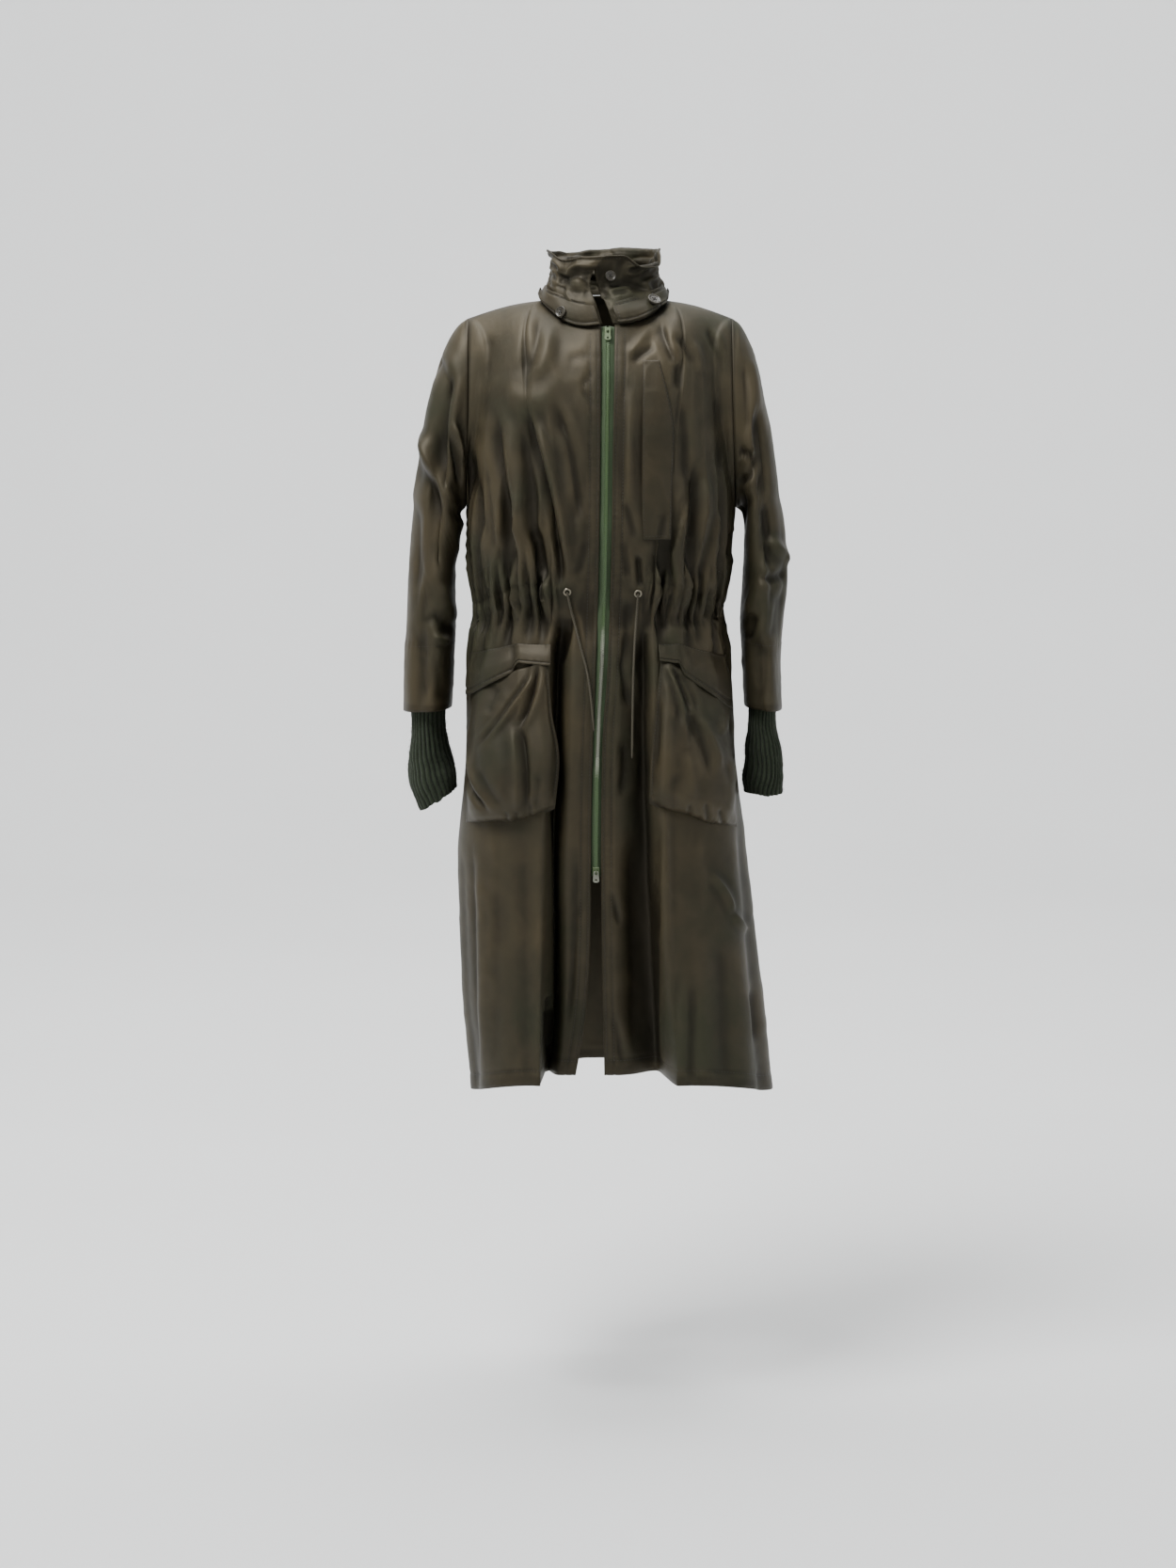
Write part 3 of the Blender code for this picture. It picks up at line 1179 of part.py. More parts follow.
def tab_point(side, near, down, lift):
    rows = TAB[side]
    near, down = np.array([[near]], float), np.array([[down]], float)
    top, low, out = (through(rows, key, near, "turn") for key in ("top", "low", "out"))

    def at(near, down):
        turn = near if side == RIGHT else 360 - near
        ways = collar_normals(turn, np.full_like(turn, 0.2))
        drop = stacked(0, 0, 1) * (low * step(0.4, 1, down))[..., None]
        return collar(turn, top * (1 - down)) + ways * (0.0028 + out * step(0, 1, down))[..., None] - drop

    along = at(near, down + 0.01) - at(near, down - 0.01)
    way = unit(np.cross(along, at(near + 0.5, down) - at(near - 0.5, down)))
    way = way[0, 0] * (1 if way[0, 0, 1] < 0 else -1)
    return at(near, down)[0, 0] + way * lift, way


# --- Everything -----------------------------------------------------------------------------------------
def clear_file():
    for obj in list(bpy.data.objects):
        bpy.data.objects.remove(obj, do_unlink=True)
    for collection in list(bpy.data.collections):
        bpy.data.collections.remove(collection)


def collection(name):
    made = bpy.data.collections.new(name)
    bpy.context.scene.collection.children.link(made)
    return made


def material(name, colour, roughness, metallic=0.0):
    made = bpy.data.materials.new(name)
    made.use_nodes = True
    shader = made.node_tree.nodes["Principled BSDF"]
    shader.inputs["Base Color"].default_value = (*colour, 1.0)
    shader.inputs["Roughness"].default_value = roughness
    shader.inputs["Metallic"].default_value = metallic
    made.diffuse_color = (*colour, 1.0)
    return made


clear_file()
PARTS, CUTTERS = collection("packable_parka"), collection("cutters")

cloth = material("coated_cloth", (0.075, 0.064, 0.047), 0.45)
knitwear = material("knit_wool", (0.030, 0.040, 0.024), 0.9)
tape = material("zip_tape_cloth", (0.085, 0.14, 0.055), 0.8)
teeth = material("zip_metal", (0.35, 0.36, 0.27), 0.35, 1.0)
paint = material("painted_metal", (0.10, 0.15, 0.07), 0.4, 0.6)
horn = material("button_resin", (0.045, 0.038, 0.030), 0.35)
brass = material("eyelet_metal", (0.20, 0.17, 0.13), 0.35, 1.0)
cord_cloth = material("cord_cloth", (0.06, 0.055, 0.042), 0.85)

build_front(RIGHT, "front_right", cloth)
build_front(LEFT, "front_left", cloth)
build_back(cloth)
for side, word in ((RIGHT, "right"), (LEFT, "left")):
    build_sleeve(side, "sleeve_" + word, cloth)
    build_knit(side, "knit_cuff_" + word, knitwear)
    build_pocket(side, "pocket_" + word, cloth)
    build_flap(side, "pocket_flap_" + word, cloth)
    build_tab(side, "collar_tab_" + word, cloth)
    build_tape(side, "zip_tape_" + word, tape)
    build_eyelet(side, "eyelet_" + word, brass)
    build_cord(side, "drawcord_" + word, cord_cloth)
build_collar(cloth)
build_chest_pocket(cloth)
build_chain(teeth)
for which in ("top", "bottom"):
    build_slider(which, paint)
    build_pull(which, paint)
build_button("button_right", 0.015, *tab_point(RIGHT, 36, 0.72, CLOTH / 2 + 0.0006), horn)
build_button("button_left", 0.018, *tab_point(LEFT, 48, 0.50, CLOTH / 2 + 0.0006), horn)
inner_turn, inner_up = np.array([[360 - 15.0]]), np.array([[0.72]])
inner_way = collar_normals(inner_turn, inner_up)[0, 0]
inner_centre = collar(inner_turn, inner_up)[0, 0] + inner_way * (CLOTH / 2 + 0.0016)
build_button("button_inner", 0.014, inner_centre, inner_way, horn)
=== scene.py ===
"""The finish of a packable parka: cloth shells over its solids, its folds, gathers and stitching, the
zip's teeth, ribbed knit cuffs, buttons, cord and eyelets, and a plain studio.

Metres, +Z up. The wearer faces -Y, and the wearer's left is +X.
"""

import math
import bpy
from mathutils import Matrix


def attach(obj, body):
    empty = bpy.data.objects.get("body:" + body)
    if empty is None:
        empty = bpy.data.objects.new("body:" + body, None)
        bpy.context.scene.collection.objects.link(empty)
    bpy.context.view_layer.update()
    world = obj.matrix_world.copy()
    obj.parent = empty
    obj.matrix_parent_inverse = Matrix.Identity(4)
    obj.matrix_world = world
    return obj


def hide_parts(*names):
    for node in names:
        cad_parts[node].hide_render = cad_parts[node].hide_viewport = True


bl_info = {
    "name": "Packable parka",
    "version": (1, 0, 0),
    "blender": (4, 5, 0),
    "location": "3D View > Sidebar > Parka",
    "description": "Builds the cloth, knit, zip, buttons and stage of a packable parka",
    "category": "Add Mesh",
}

import bmesh
import bpy
import numpy as np
from bpy.props import FloatProperty, FloatVectorProperty, PointerProperty
from mathutils import Matrix, Vector

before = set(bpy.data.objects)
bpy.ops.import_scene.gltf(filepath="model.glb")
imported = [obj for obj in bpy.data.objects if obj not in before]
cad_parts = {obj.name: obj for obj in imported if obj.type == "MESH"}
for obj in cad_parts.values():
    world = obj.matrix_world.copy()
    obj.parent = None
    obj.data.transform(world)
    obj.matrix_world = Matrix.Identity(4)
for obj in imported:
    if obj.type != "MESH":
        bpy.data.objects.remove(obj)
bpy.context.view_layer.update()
for piece in bpy.context.selected_objects:
    piece.select_set(False)

RIGHT, LEFT = -1, 1  # the wearer's sides, and the sign of X there
SIDES = ((RIGHT, "right"), (LEFT, "left"))


# --- Driving sizes ---
CLOTH = 0.0016  # wall of the coat's cloth
NECK_HALF_WIDTH = 0.079
NECK_FRONT, NECK_BACK = 0.083, 0.072  # how far the neckline stands in front of and behind the origin
NECK_FRONT_DROP, NECK_SIDE_DROP, NECK_BACK_DROP = 0.02, -0.012, -0.02
SHOULDER_DROP = 0.011  # of the shoulder seam's outer end
SHOULDER_RISE = 0.004  # how far the shoulder seam is arched
SHOULDER_X = {RIGHT: 0.18, LEFT: 0.17}
ARMPIT_X = {RIGHT: 0.184, LEFT: 0.176}
ARMPIT_DROP = 0.262
ARMHOLE_HALF_DEPTH = 0.058
ARMHOLE_INSET = 0.003
HEM_FRONT_DROP, HEM_SIDE_DROP = 1.016, 1.046
WAIST_FRONT_DROP, WAIST_SIDE_DROP = 0.367, 0.402

# Angles round the body, in degrees: 0 at the front edge, 90 at the side seam, 180 at the centre back.
EYELET_ANGLE = 17.0  # the cloth is flat from here to the front edge
NECK_ANGLE = 29.0  # the column that meets the neck's side point
SHOULDER_ANGLE = 63.0  # the column that meets the shoulder's outer end


def table(columns, text):
    """A short table with named columns, one row to a line. A side is -1, the right, or 1, the left."""
    rows = [[float(word) for word in line.split()] for line in text.strip().splitlines()]
    return dict(zip(columns.split(), np.array(rows).T))


def both(columns, right, left):
    """One table for each side of the coat."""
    return {RIGHT: table(columns, right), LEFT: table(columns, left)}


# Half widths to the wearer's right and left, depths in front and behind, and how square the ring is.
BODY = table("drop right left front back square", """
0.2 0.18 0.171 0.13 0.12 0.1
0.31 0.181 0.17 0.136 0.127 0.1
0.355 0.179 0.166 0.13 0.12 0.09
0.4 0.171 0.155 0.121 0.104 0.08
0.45 0.181 0.165 0.131 0.114 0.08
0.52 0.184 0.173 0.141 0.127 0.09
0.62 0.187 0.18 0.147 0.136 0.1
0.7 0.1955 0.1905 0.15 0.141 0.11
0.8 0.1955 0.202 0.155 0.146 0.11
0.9 0.1915 0.2135 0.161 0.151 0.12
1.05 0.18 0.231 0.172 0.16 0.12
""")
# Where the two front edges run, and how far the middle of the front has sunk back below.
FRONT_EDGE = table("drop right left sink", """
0.02 -0.002 0.0115 0
0.148 -0.0032 0.01 0
0.27 -0.0045 0.0087 0
0.38 -0.0066 0.0064 0
0.478 -0.0098 0.0022 0
0.55 -0.0125 -0.003 0.002
0.64 -0.0148 -0.005 0.008
0.735 -0.0155 -0.0056 0.018
0.83 -0.0165 -0.0045 0.032
0.9 -0.02 -0.0035 0.046
0.96 -0.0265 -0.002 0.06
1.03 -0.0385 -0.0008 0.075
""")
SINK_EDGE = {RIGHT: 20.5, LEFT: 21.5}  # the angle at which the sunk middle ends
SINK_SLOPE = 2.4

# Long folds, each a trough down the cloth. `before` and `after` are its half widths in degrees
# towards the front edge and away from it. A bottom past the hem runs out through it. First the deep
# fold beside the right pocket and the broad one beside the left pocket.
RECESSES = table("side top bottom angle_top angle_bottom before after depth_top depth_bottom", """
-1 0.39 1.2 17.3 16.6 3.6 2.3 0.034 0.03
1 0.4 1.2 17 17.6 6.5 2.3 0.026 0.03
""")
FOLDS = table("side top bottom angle_top angle_bottom before after depth_top depth_bottom", """
-1 0.13 0.4 33 22 5 3.6 0.009 0.009
-1 0.22 0.4 41 37 4.5 4 0.006 0.007
1 0.23 0.4 33 25 4 4 0.006 0.008
1 0.26 0.41 47 42 5 4.5 0.005 0.007
-1 0.7 1.2 62 66 8 6 0.004 0.01
1 0.65 1.2 66 58 7 8 0.005 0.012
-1 0.45 1.2 112 108 7 7 0.006 0.022
-1 0.43 1.2 140 136 7 7 0.007 0.026
-1 0.43 1.2 164 162 6 6 0.006 0.022
1 0.45 1.2 114 110 7 7 0.006 0.024
1 0.43 1.2 143 140 8 6 0.007 0.026
1 0.43 1.2 166 165 5 6 0.006 0.02
-1 0.15 0.38 128 134 6 6 0.004 0.01
1 0.15 0.38 130 138 6 6 0.004 0.01
""")
FOLD_FADE = 0.06  # length over which a fold begins and ends

# The sleeve's rings, from the armhole to the cuff: its outer line, its inner line, and its depth.
SLEEVE = both("along outer outer_drop inner inner_drop middle half_depth", """
0 0.18 0.011 0.184 0.262 0 0.058
0.06 0.193 0.022 0.192 0.268 0.001 0.061
0.14 0.209 0.047 0.197 0.285 0.002 0.065
0.3 0.232 0.12 0.1985 0.318 0.004 0.069
0.48 0.25 0.215 0.199 0.36 0.006 0.071
0.66 0.261 0.335 0.199 0.412 0.006 0.07
0.84 0.266 0.445 0.2015 0.47 0.004 0.069
1 0.269 0.534 0.2055 0.53 0.002 0.068
""", """
0 0.17 0.011 0.176 0.262 0 0.058
0.06 0.181 0.021 0.184 0.268 0.001 0.06
0.14 0.195 0.046 0.1885 0.285 0.002 0.064
0.3 0.215 0.12 0.189 0.318 0.004 0.069
0.48 0.2305 0.215 0.187 0.36 0.006 0.073
0.66 0.246 0.34 0.184 0.412 0.006 0.073
0.84 0.239 0.445 0.187 0.47 0.004 0.072
1 0.239 0.532 0.1905 0.528 0.002 0.072
""")
# Folds across the sleeve, from one place on it to another: `along` and `turn` (0 outer, 1 inner).
SLEEVE_FOLDS = table("side from_along from_turn to_along to_turn half_width depth", """
-1 0.12 0.42 0.95 0.4 0.17 0.013
-1 0.42 0.05 0.7 0.36 0.1 0.006
-1 0.3 1.3 0.9 1.45 0.18 0.01
1 0.16 0.4 0.6 0.44 0.15 0.01
1 0.6 0.5 0.68 0.12 0.12 0.008
1 0.75 0.55 0.98 0.6 0.17 0.009
1 0.3 1.35 0.9 1.5 0.18 0.01
""")


# --- Curves through tables, and small shape functions ---
def through(rows, column, at, key="drop"):
    """A smooth curve through one column of a table, read at values of its key column."""
    x, y = rows[key], rows[column]
    slope = np.gradient(y, x)
    at = np.clip(np.asarray(at, float), x[0], x[-1])
    i = np.clip(np.searchsorted(x, at, side="right") - 1, 0, len(x) - 2)
    span = x[i + 1] - x[i]
    t = (at - x[i]) / span
    return (
        y[i] * (1 + 2 * t) * (1 - t) ** 2
        + slope[i] * span * t * (1 - t) ** 2
        + y[i + 1] * t * t * (3 - 2 * t)
        - slope[i + 1] * span * t * t * (1 - t)
    )


def paired(one, other):
    """Two numbers or arrays as float arrays of one shape."""
    return np.broadcast_arrays(np.asarray(one, float), np.asarray(other, float))


def step(low, high, at):
    """Smoothly 0 below low and 1 above high."""
    t = np.clip((np.asarray(at, float) - low) / (high - low), 0, 1)
    return t * t * (3 - 2 * t)


def stacked(x, y, z):
    return np.stack(np.broadcast_arrays(x, y, z), axis=-1).astype(float)


def bell(off, half):
    """1 at the middle of a bump or groove, falling away to nothing past `half`."""
    return np.exp(-((off / half) ** 2))


def unit(vectors):
    return vectors / np.maximum(np.linalg.norm(vectors, axis=-1, keepdims=True), 1e-12)


# --- The coat's body: one surface per side, from the neck, shoulder and armhole down to the hem ----
TOP_SHARE, WAIST_SHARE = 0.3, 0.5  # of the way down a column: the chest ring, and the waist


def waist_drop(angle):
    return WAIST_FRONT_DROP + (WAIST_SIDE_DROP - WAIST_FRONT_DROP) * step(15, 80, angle)


def hem_drop(angle):
    return HEM_FRONT_DROP + (HEM_SIDE_DROP - HEM_FRONT_DROP) * step(25, 80, angle)


def chest_drop(angle):
    """The ring where the shoulders' curve ends: under the armpit at the side, higher in front and behind."""
    return 0.235 + 0.075 * step(45, 90, 90 - np.abs(angle - 90))


def edge_x(side, drop):
    return through(FRONT_EDGE, "left" if side == LEFT else "right", drop)


def ring(side, angle, drop):
    """A point of the smooth ring round the body."""
    phi = np.radians(angle)
    swell = 1 + through(BODY, "square", drop) * np.sin(2 * phi) ** 2
    width = through(BODY, "left" if side == LEFT else "right", drop)
    depth = np.where(angle < 90, through(BODY, "front", drop), through(BODY, "back", drop))
    x = side * width * np.sin(phi) * swell + edge_x(side, drop) * (1 - step(0, 35, angle))
    return stacked(x, -depth * np.cos(phi) * swell, -np.asarray(drop))


def armhole(side, turn):
    """The armhole seam: turn 0 at the shoulder, 1 at the armpit in front, and back to 2 behind."""
    swing = np.pi * np.asarray(turn, float)
    down = (1 - np.cos(swing)) / 2
    x = SHOULDER_X[side] + (ARMPIT_X[side] - SHOULDER_X[side]) * down - ARMHOLE_INSET * np.sin(swing) ** 2
    drop = SHOULDER_DROP + (ARMPIT_DROP - SHOULDER_DROP) * down
    return stacked(side * x, -ARMHOLE_HALF_DEPTH * np.sin(swing), -drop)


def neckline(side, angle):
    """The neck seam: the front from 0 to the side point at NECK_ANGLE, the back from 180 to it."""
    front = np.asarray(angle) < 90
    swing = np.radians(90) * np.where(front, angle, 180 - angle) / NECK_ANGLE
    x = side * NECK_HALF_WIDTH * np.sin(swing)
    x = x + np.where(front, edge_x(side, NECK_FRONT_DROP) * np.cos(swing) ** 2, 0)
    y = np.where(front, -NECK_FRONT, NECK_BACK) * np.cos(swing)
    far = np.where(front, NECK_FRONT_DROP, NECK_BACK_DROP)
    return stacked(x, y, -(NECK_SIDE_DROP + (far - NECK_SIDE_DROP) * np.cos(swing) ** 1.3))


def shoulder(side, share):
    """The shoulder seam, from the neck's side point (0) to the armhole (1)."""
    x = NECK_HALF_WIDTH + (SHOULDER_X[side] - NECK_HALF_WIDTH) * share
    drop = NECK_SIDE_DROP + (SHOULDER_DROP - NECK_SIDE_DROP) * share - SHOULDER_RISE * np.sin(np.pi * share)
    return stacked(side * x, np.zeros_like(x), -drop)


NECK_SPREAD = 0.5  # how far the cloth leaves the neck's side outwards, for each step forwards
# How the cloth leaves the armhole, from the shoulder's end (turn 0) to the armpit (turn 1).
ARM_WAY = table("turn inward out down", """
0 0.54 0.95 0.1
0.25 0.38 0.44 0.45
0.5 0.22 0.05 0.8
0.62 0.15 -0.22 0.9
0.8 0.07 -0.24 1
1 0 0 1
""")


def top_edge(side, angle):
    """Where a column starts, and the way that the cloth leaves that seam."""
    front = np.asarray(angle) < 90
    near = np.where(front, angle, 180 - np.asarray(angle))  # degrees from the front edge or centre back
    sign = np.where(front, -1.0, 1.0)
    on_neck = near <= NECK_ANGLE
    on_arm = near > SHOULDER_ANGLE
    share = np.clip((near - NECK_ANGLE) / (SHOULDER_ANGLE - NECK_ANGLE), 0, 1)
    turn = np.clip((near - SHOULDER_ANGLE) / (90 - SHOULDER_ANGLE), 0, 1)
    point = np.where(on_neck[..., None], neckline(side, np.where(on_neck, angle, NECK_ANGLE)),
        shoulder(side, share))
    point = np.where(on_arm[..., None], armhole(side, np.where(front, turn, 2 - turn)), point)
    round_neck = np.clip(near / NECK_ANGLE, 0, 1)
    fall = 1.5 * (1 - step(0, 1, round_neck))
    on_neck_way = unit(stacked(side * NECK_SPREAD * np.sin(np.pi / 2 * round_neck) ** 2, sign, -fall))
    arm = {key: np.interp(turn, ARM_WAY["turn"], ARM_WAY[key]) for key in ("inward", "out", "down")}
    spread = np.where(on_arm, 0, NECK_SPREAD * (1 - share) ** 2)
    share = np.where(on_arm, 1, share**1.5)
    way = stacked(side * (spread - share * arm["inward"]), sign * arm["out"], -share * arm["down"])
    way = np.where(on_neck[..., None], on_neck_way, way)
    return point, way


def smooth_body(side, angle, share):
    """The body before any folds. share runs from 0 at the top edge to 1 at the hem."""
    angle, share = paired(angle, share)
    start, way = top_edge(side, angle)
    chest, small = chest_drop(angle), 0.004
    end = ring(side, angle, chest)
    fall = unit(ring(side, angle, chest + small) - ring(side, angle, chest))
    reach = np.linalg.norm(end - start, axis=-1, keepdims=True)
    t = np.clip(share / TOP_SHARE, 0, 1)[..., None]
    above = (
        start * (1 + 2 * t) * (1 - t) ** 2
        + way * 1.15 * reach * t * (1 - t) ** 2
        + end * t * t * (3 - 2 * t)
        - fall * 1.0 * reach * t * t * (1 - t)
    )
    waist, hem = waist_drop(angle), hem_drop(angle)
    upper = chest + (waist - chest) * np.clip((share - TOP_SHARE) / (WAIST_SHARE - TOP_SHARE), 0, 1)
    lower = waist + (hem - waist) * (share - WAIST_SHARE) / (1 - WAIST_SHARE)
    below = ring(side, angle, np.where(share < WAIST_SHARE, upper, lower))
    return np.where((share < TOP_SHARE)[..., None], above, below)


# Columns: a few across the flat placket and the recess, then one for each crest and hollow of the gathers.
PLACKET_ANGLES = np.array([0.0, 6.0, 12.0, 15.0, 17.2, 19.4, 22.0, 25.5])
FIRST_CREST = 6
SHOULDER_COLUMNS, ARM_COLUMNS, NAPE_COLUMNS = 9, 8, 4
FRONT_ANGLES = np.concatenate([PLACKET_ANGLES,
    np.linspace(NECK_ANGLE, SHOULDER_ANGLE, SHOULDER_COLUMNS + 1)[:-1],
    np.linspace(SHOULDER_ANGLE, 90, ARM_COLUMNS + 1)])
BACK_ANGLES = np.concatenate([180 - np.linspace(90, SHOULDER_ANGLE, ARM_COLUMNS + 1)[:-1],
    180 - np.linspace(SHOULDER_ANGLE, NECK_ANGLE, SHOULDER_COLUMNS + 1)[:-1],
    180 - np.linspace(NECK_ANGLE, 0, NAPE_COLUMNS + 1)])
CREST_ANGLES = np.concatenate([FRONT_ANGLES[FIRST_CREST:], BACK_ANGLES[1:]])
TOP_ROWS = TOP_SHARE * np.array([0, 0.14, 0.29, 0.45, 0.62, 0.81])
CHEST_ROWS = TOP_SHARE + (WAIST_SHARE - TOP_SHARE) * np.array([0, 0.36, 0.64, 0.86])
SKIRT_STEPS = np.array([0, 0.03, 0.08, 0.15, 0.25, 0.37, 0.51, 0.66, 0.83, 1])
SKIRT_ROWS = WAIST_SHARE + (1 - WAIST_SHARE) * SKIRT_STEPS
ROWS = np.concatenate([TOP_ROWS, CHEST_ROWS, SKIRT_ROWS])


def gathers(angle, drop):
    """The waist's gathers: fine waves at the drawcord, which merge into broader ones above and below."""
    crest = np.interp(angle, CREST_ANGLES, np.arange(len(CREST_ANGLES)))
    away = drop - waist_drop(angle)
    uneven = 0.75 + 0.25 * np.sin(1.7 * crest + 0.6)
    fine = 0.0036 * bell(away, np.where(away < 0, 0.04, 0.045)) * uneven
    broad = 0.004 * bell(away, np.where(away < 0, 0.105, 0.085))
    flat = step(EYELET_ANGLE, EYELET_ANGLE + 6, angle)
    return flat * (fine * np.cos(np.pi * crest) + broad * np.cos(0.5 * np.pi * crest + 0.7))


def troughs(folds, side, angle, drop):
    """The summed depth of one side's folds in a table."""
    deep = np.zeros(np.shape(angle))
    for i in np.flatnonzero(folds["side"] == side):
        fold = {name: column[i] for name, column in folds.items()}
        share = np.clip((drop - fold["top"]) / (fold["bottom"] - fold["top"]), 0, 1)
        centre = fold["angle_top"] + (fold["angle_bottom"] - fold["angle_top"]) * share
        depth = fold["depth_top"] + (fold["depth_bottom"] - fold["depth_top"]) * share
        ends = step(fold["top"], fold["top"] + FOLD_FADE, drop)
        ends = ends * (1 - step(fold["bottom"] - FOLD_FADE, fold["bottom"], drop))
        off = angle - centre
        deep = deep + depth * ends * bell(off, np.where(off < 0, fold["before"], fold["after"]))
    return deep


def relief(side, angle, drop):
    """How far the cloth stands out of the smooth body, by its folds and gathers."""
    return gathers(angle, drop) - troughs(FOLDS, side, angle, drop)


def recess(side, angle, drop):
    """How far the middle of the front has sunk straight back between the two pockets."""
    edge = SINK_EDGE[side]
    flat = 1 - step(edge - SINK_SLOPE, edge + SINK_SLOPE, angle)
    return through(FRONT_EDGE, "sink", drop) * flat + troughs(RECESSES, side, angle, drop)


def normals(surface, across, along, flip, small=(0.15, 0.0015), low=0.0, high=1.0):
    """Outward normals of a surface given as a function of two numbers."""
    a0, a1 = across - small[0], across + small[0]
    b0, b1 = np.maximum(along - small[1], low), np.minimum(along + small[1], high)
    way_across = surface(a1, along) - surface(a0, along)
    way_along = surface(across, b1) - surface(across, b0)
    return flip * unit(np.cross(way_along, way_across))


def body(side, angle, share, folds=True):
    """A point of the coat's cloth."""
    angle, share = paired(angle, share)
    base = smooth_body(side, angle, share)
    if not folds:
        return base
    out = relief(side, angle, -base[..., 2]) * step(0.02, 0.2, share)
    bent = base + out[..., None] * normals(lambda a, s: smooth_body(side, a, s), angle, share, side)
    back = np.where(angle < 90, recess(side, angle, -base[..., 2]), 0)
    return bent + stacked(0, 1, 0) * back[..., None]


def body_normals(side, angle, share, folds=True):
    angle, share = paired(angle, share)
    return normals(lambda a, s: body(side, a, s, folds), angle, share, side)


# --- The sleeves ---
def sleeve(side, turn, along):
    """A point of the sleeve. turn is 0 on its outer line, 1 on its inner line and 2 outside again."""
    turn, along = paired(turn, along)
    rows = SLEEVE[side]
    outer, inner = through(rows, "outer", along, "along"), through(rows, "inner", along, "along")
    outer_drop = through(rows, "outer_drop", along, "along")
    inner_drop = through(rows, "inner_drop", along, "along")
    swing = np.pi * turn
    mix = (1 - np.cos(swing)) / 2
    shrink = np.zeros_like(along)
    for i in np.flatnonzero(SLEEVE_FOLDS["side"] == side):
        fold = {name: column[i] for name, column in SLEEVE_FOLDS.items()}
        run = np.array([fold["to_along"] - fold["from_along"], fold["to_turn"] - fold["from_turn"]])
        place = np.stack([along - fold["from_along"], turn - fold["from_turn"]], axis=-1)
        t = np.clip(place @ run / (run @ run), 0, 1)
        off = np.linalg.norm(place - t[..., None] * run, axis=-1)
        ends = step(0, 0.25, t) * (1 - step(0.8, 1.0, t)) if fold["to_along"] < 0.9 else step(0, 0.3, t)
        shrink += fold["depth"] * ends * bell(off, fold["half_width"])
    depth = through(rows, "half_depth", along, "along") - shrink * np.abs(np.sin(swing))
    inset = ARMHOLE_INSET * np.sin(swing) ** 2 * (1 - step(0, 0.2, along))
    inset = inset + 0.5 * shrink * np.abs(np.cos(swing)) * np.sign(np.cos(swing))
    return stacked(side * (outer + (inner - outer) * mix - inset), through(rows, "middle", along,
        "along") - depth * np.sin(swing), -(outer_drop + (inner_drop - outer_drop) * mix))


def sleeve_normals(side, turn, along):
    turn, along = paired(turn, along)
    return normals(lambda a, s: sleeve(side, a, s), turn, along, -side, small=(0.01, 0.004))


# --- The collar ---
# `up` is 0 at the neck seam and 1 at the free top edge; the rises are heights in front, beside, behind.
COLLAR = table("up half_width front back rise_front rise_side rise_back", """
0 0.079 0.083 0.072 -0.02 0.012 0.02
0.25 0.0785 0.08 0.074 0.001 0.028 0.034
0.5 0.069 0.07 0.069 0.022 0.044 0.049
0.75 0.068 0.066 0.069 0.044 0.06 0.065
1 0.076 0.071 0.076 0.066 0.078 0.082
""")
COLLAR_EDGE_X = table("up right left", """
0 -0.002 0.0115
0.25 -0.009 0.004
0.5 -0.017 -0.006
0.75 -0.016 -0.012
1 0.002 -0.014
""")
COLLAR_TUCK = 0.011  # how far the left front corner lies behind the right one
COLLAR_RUCK = 0.0035


def collar(turn, up):
    """The stand collar. turn is 0 at the right front edge, 180 at the nape, 360 at the left front edge."""
    turn, up = paired(turn, up)
    right = turn <= 180
    near = np.where(right, turn, 360 - turn)
    swing, front = np.radians(near), near < 90
    wave = COLLAR_RUCK * np.sin(np.pi * up) ** 2 * step(0, 15, near)
    wave = wave * np.sin(np.where(right, 7, 6) * swing + 0.4)
    width = through(COLLAR, "half_width", up, "up") + wave
    depth = np.where(front, through(COLLAR, "front", up, "up"), through(COLLAR, "back", up, "up")) + wave
    right_edge = through(COLLAR_EDGE_X, "right", up, "up")
    edge = np.where(right, right_edge, through(COLLAR_EDGE_X, "left", up, "up"))
    tuck = np.where(right, 0.0, COLLAR_TUCK) * step(0.12, 0.5, up) * (1 - step(15, 70, near))
    ends = np.where(front, through(COLLAR, "rise_front", up, "up"), through(COLLAR, "rise_back", up, "up"))
    middle = through(COLLAR, "rise_side", up, "up")
    round_way = np.abs(np.cos(swing))
    x = np.where(right, -1, 1) * width * np.sin(swing) + np.where(front, edge * np.cos(swing) ** 2, 0)
    return stacked(x, tuck - depth * np.cos(swing), middle + (ends - middle) * round_way**1.3)


def collar_normals(turn, up):
    turn, up = paired(turn, up)
    return normals(collar, turn, up, 1, small=(0.5, 0.01))


# --- Places on the coat ---
def place(side, x, drop):
    """The angle and share at which the unfolded front stands at a given x and drop."""
    x, drop = paired(x, drop)
    low, high = np.zeros(x.shape), np.full(x.shape, 89.9)
    for _ in range(26):
        angle = (low + high) / 2
        share = share_at(side, angle, drop)
        past = side * smooth_body(side, angle, share)[..., 0] > side * x
        low, high = np.where(past, low, angle), np.where(past, angle, high)
    return angle, share_at(side, angle, drop)


def share_at(side, angle, drop):
    low, high = np.zeros(np.shape(angle)), np.ones(np.shape(angle))
    for _ in range(22):
        share = (low + high) / 2
        past = -smooth_body(side, angle, share)[..., 2] > drop
        low, high = np.where(past, low, share), np.where(past, share, high)
    return share


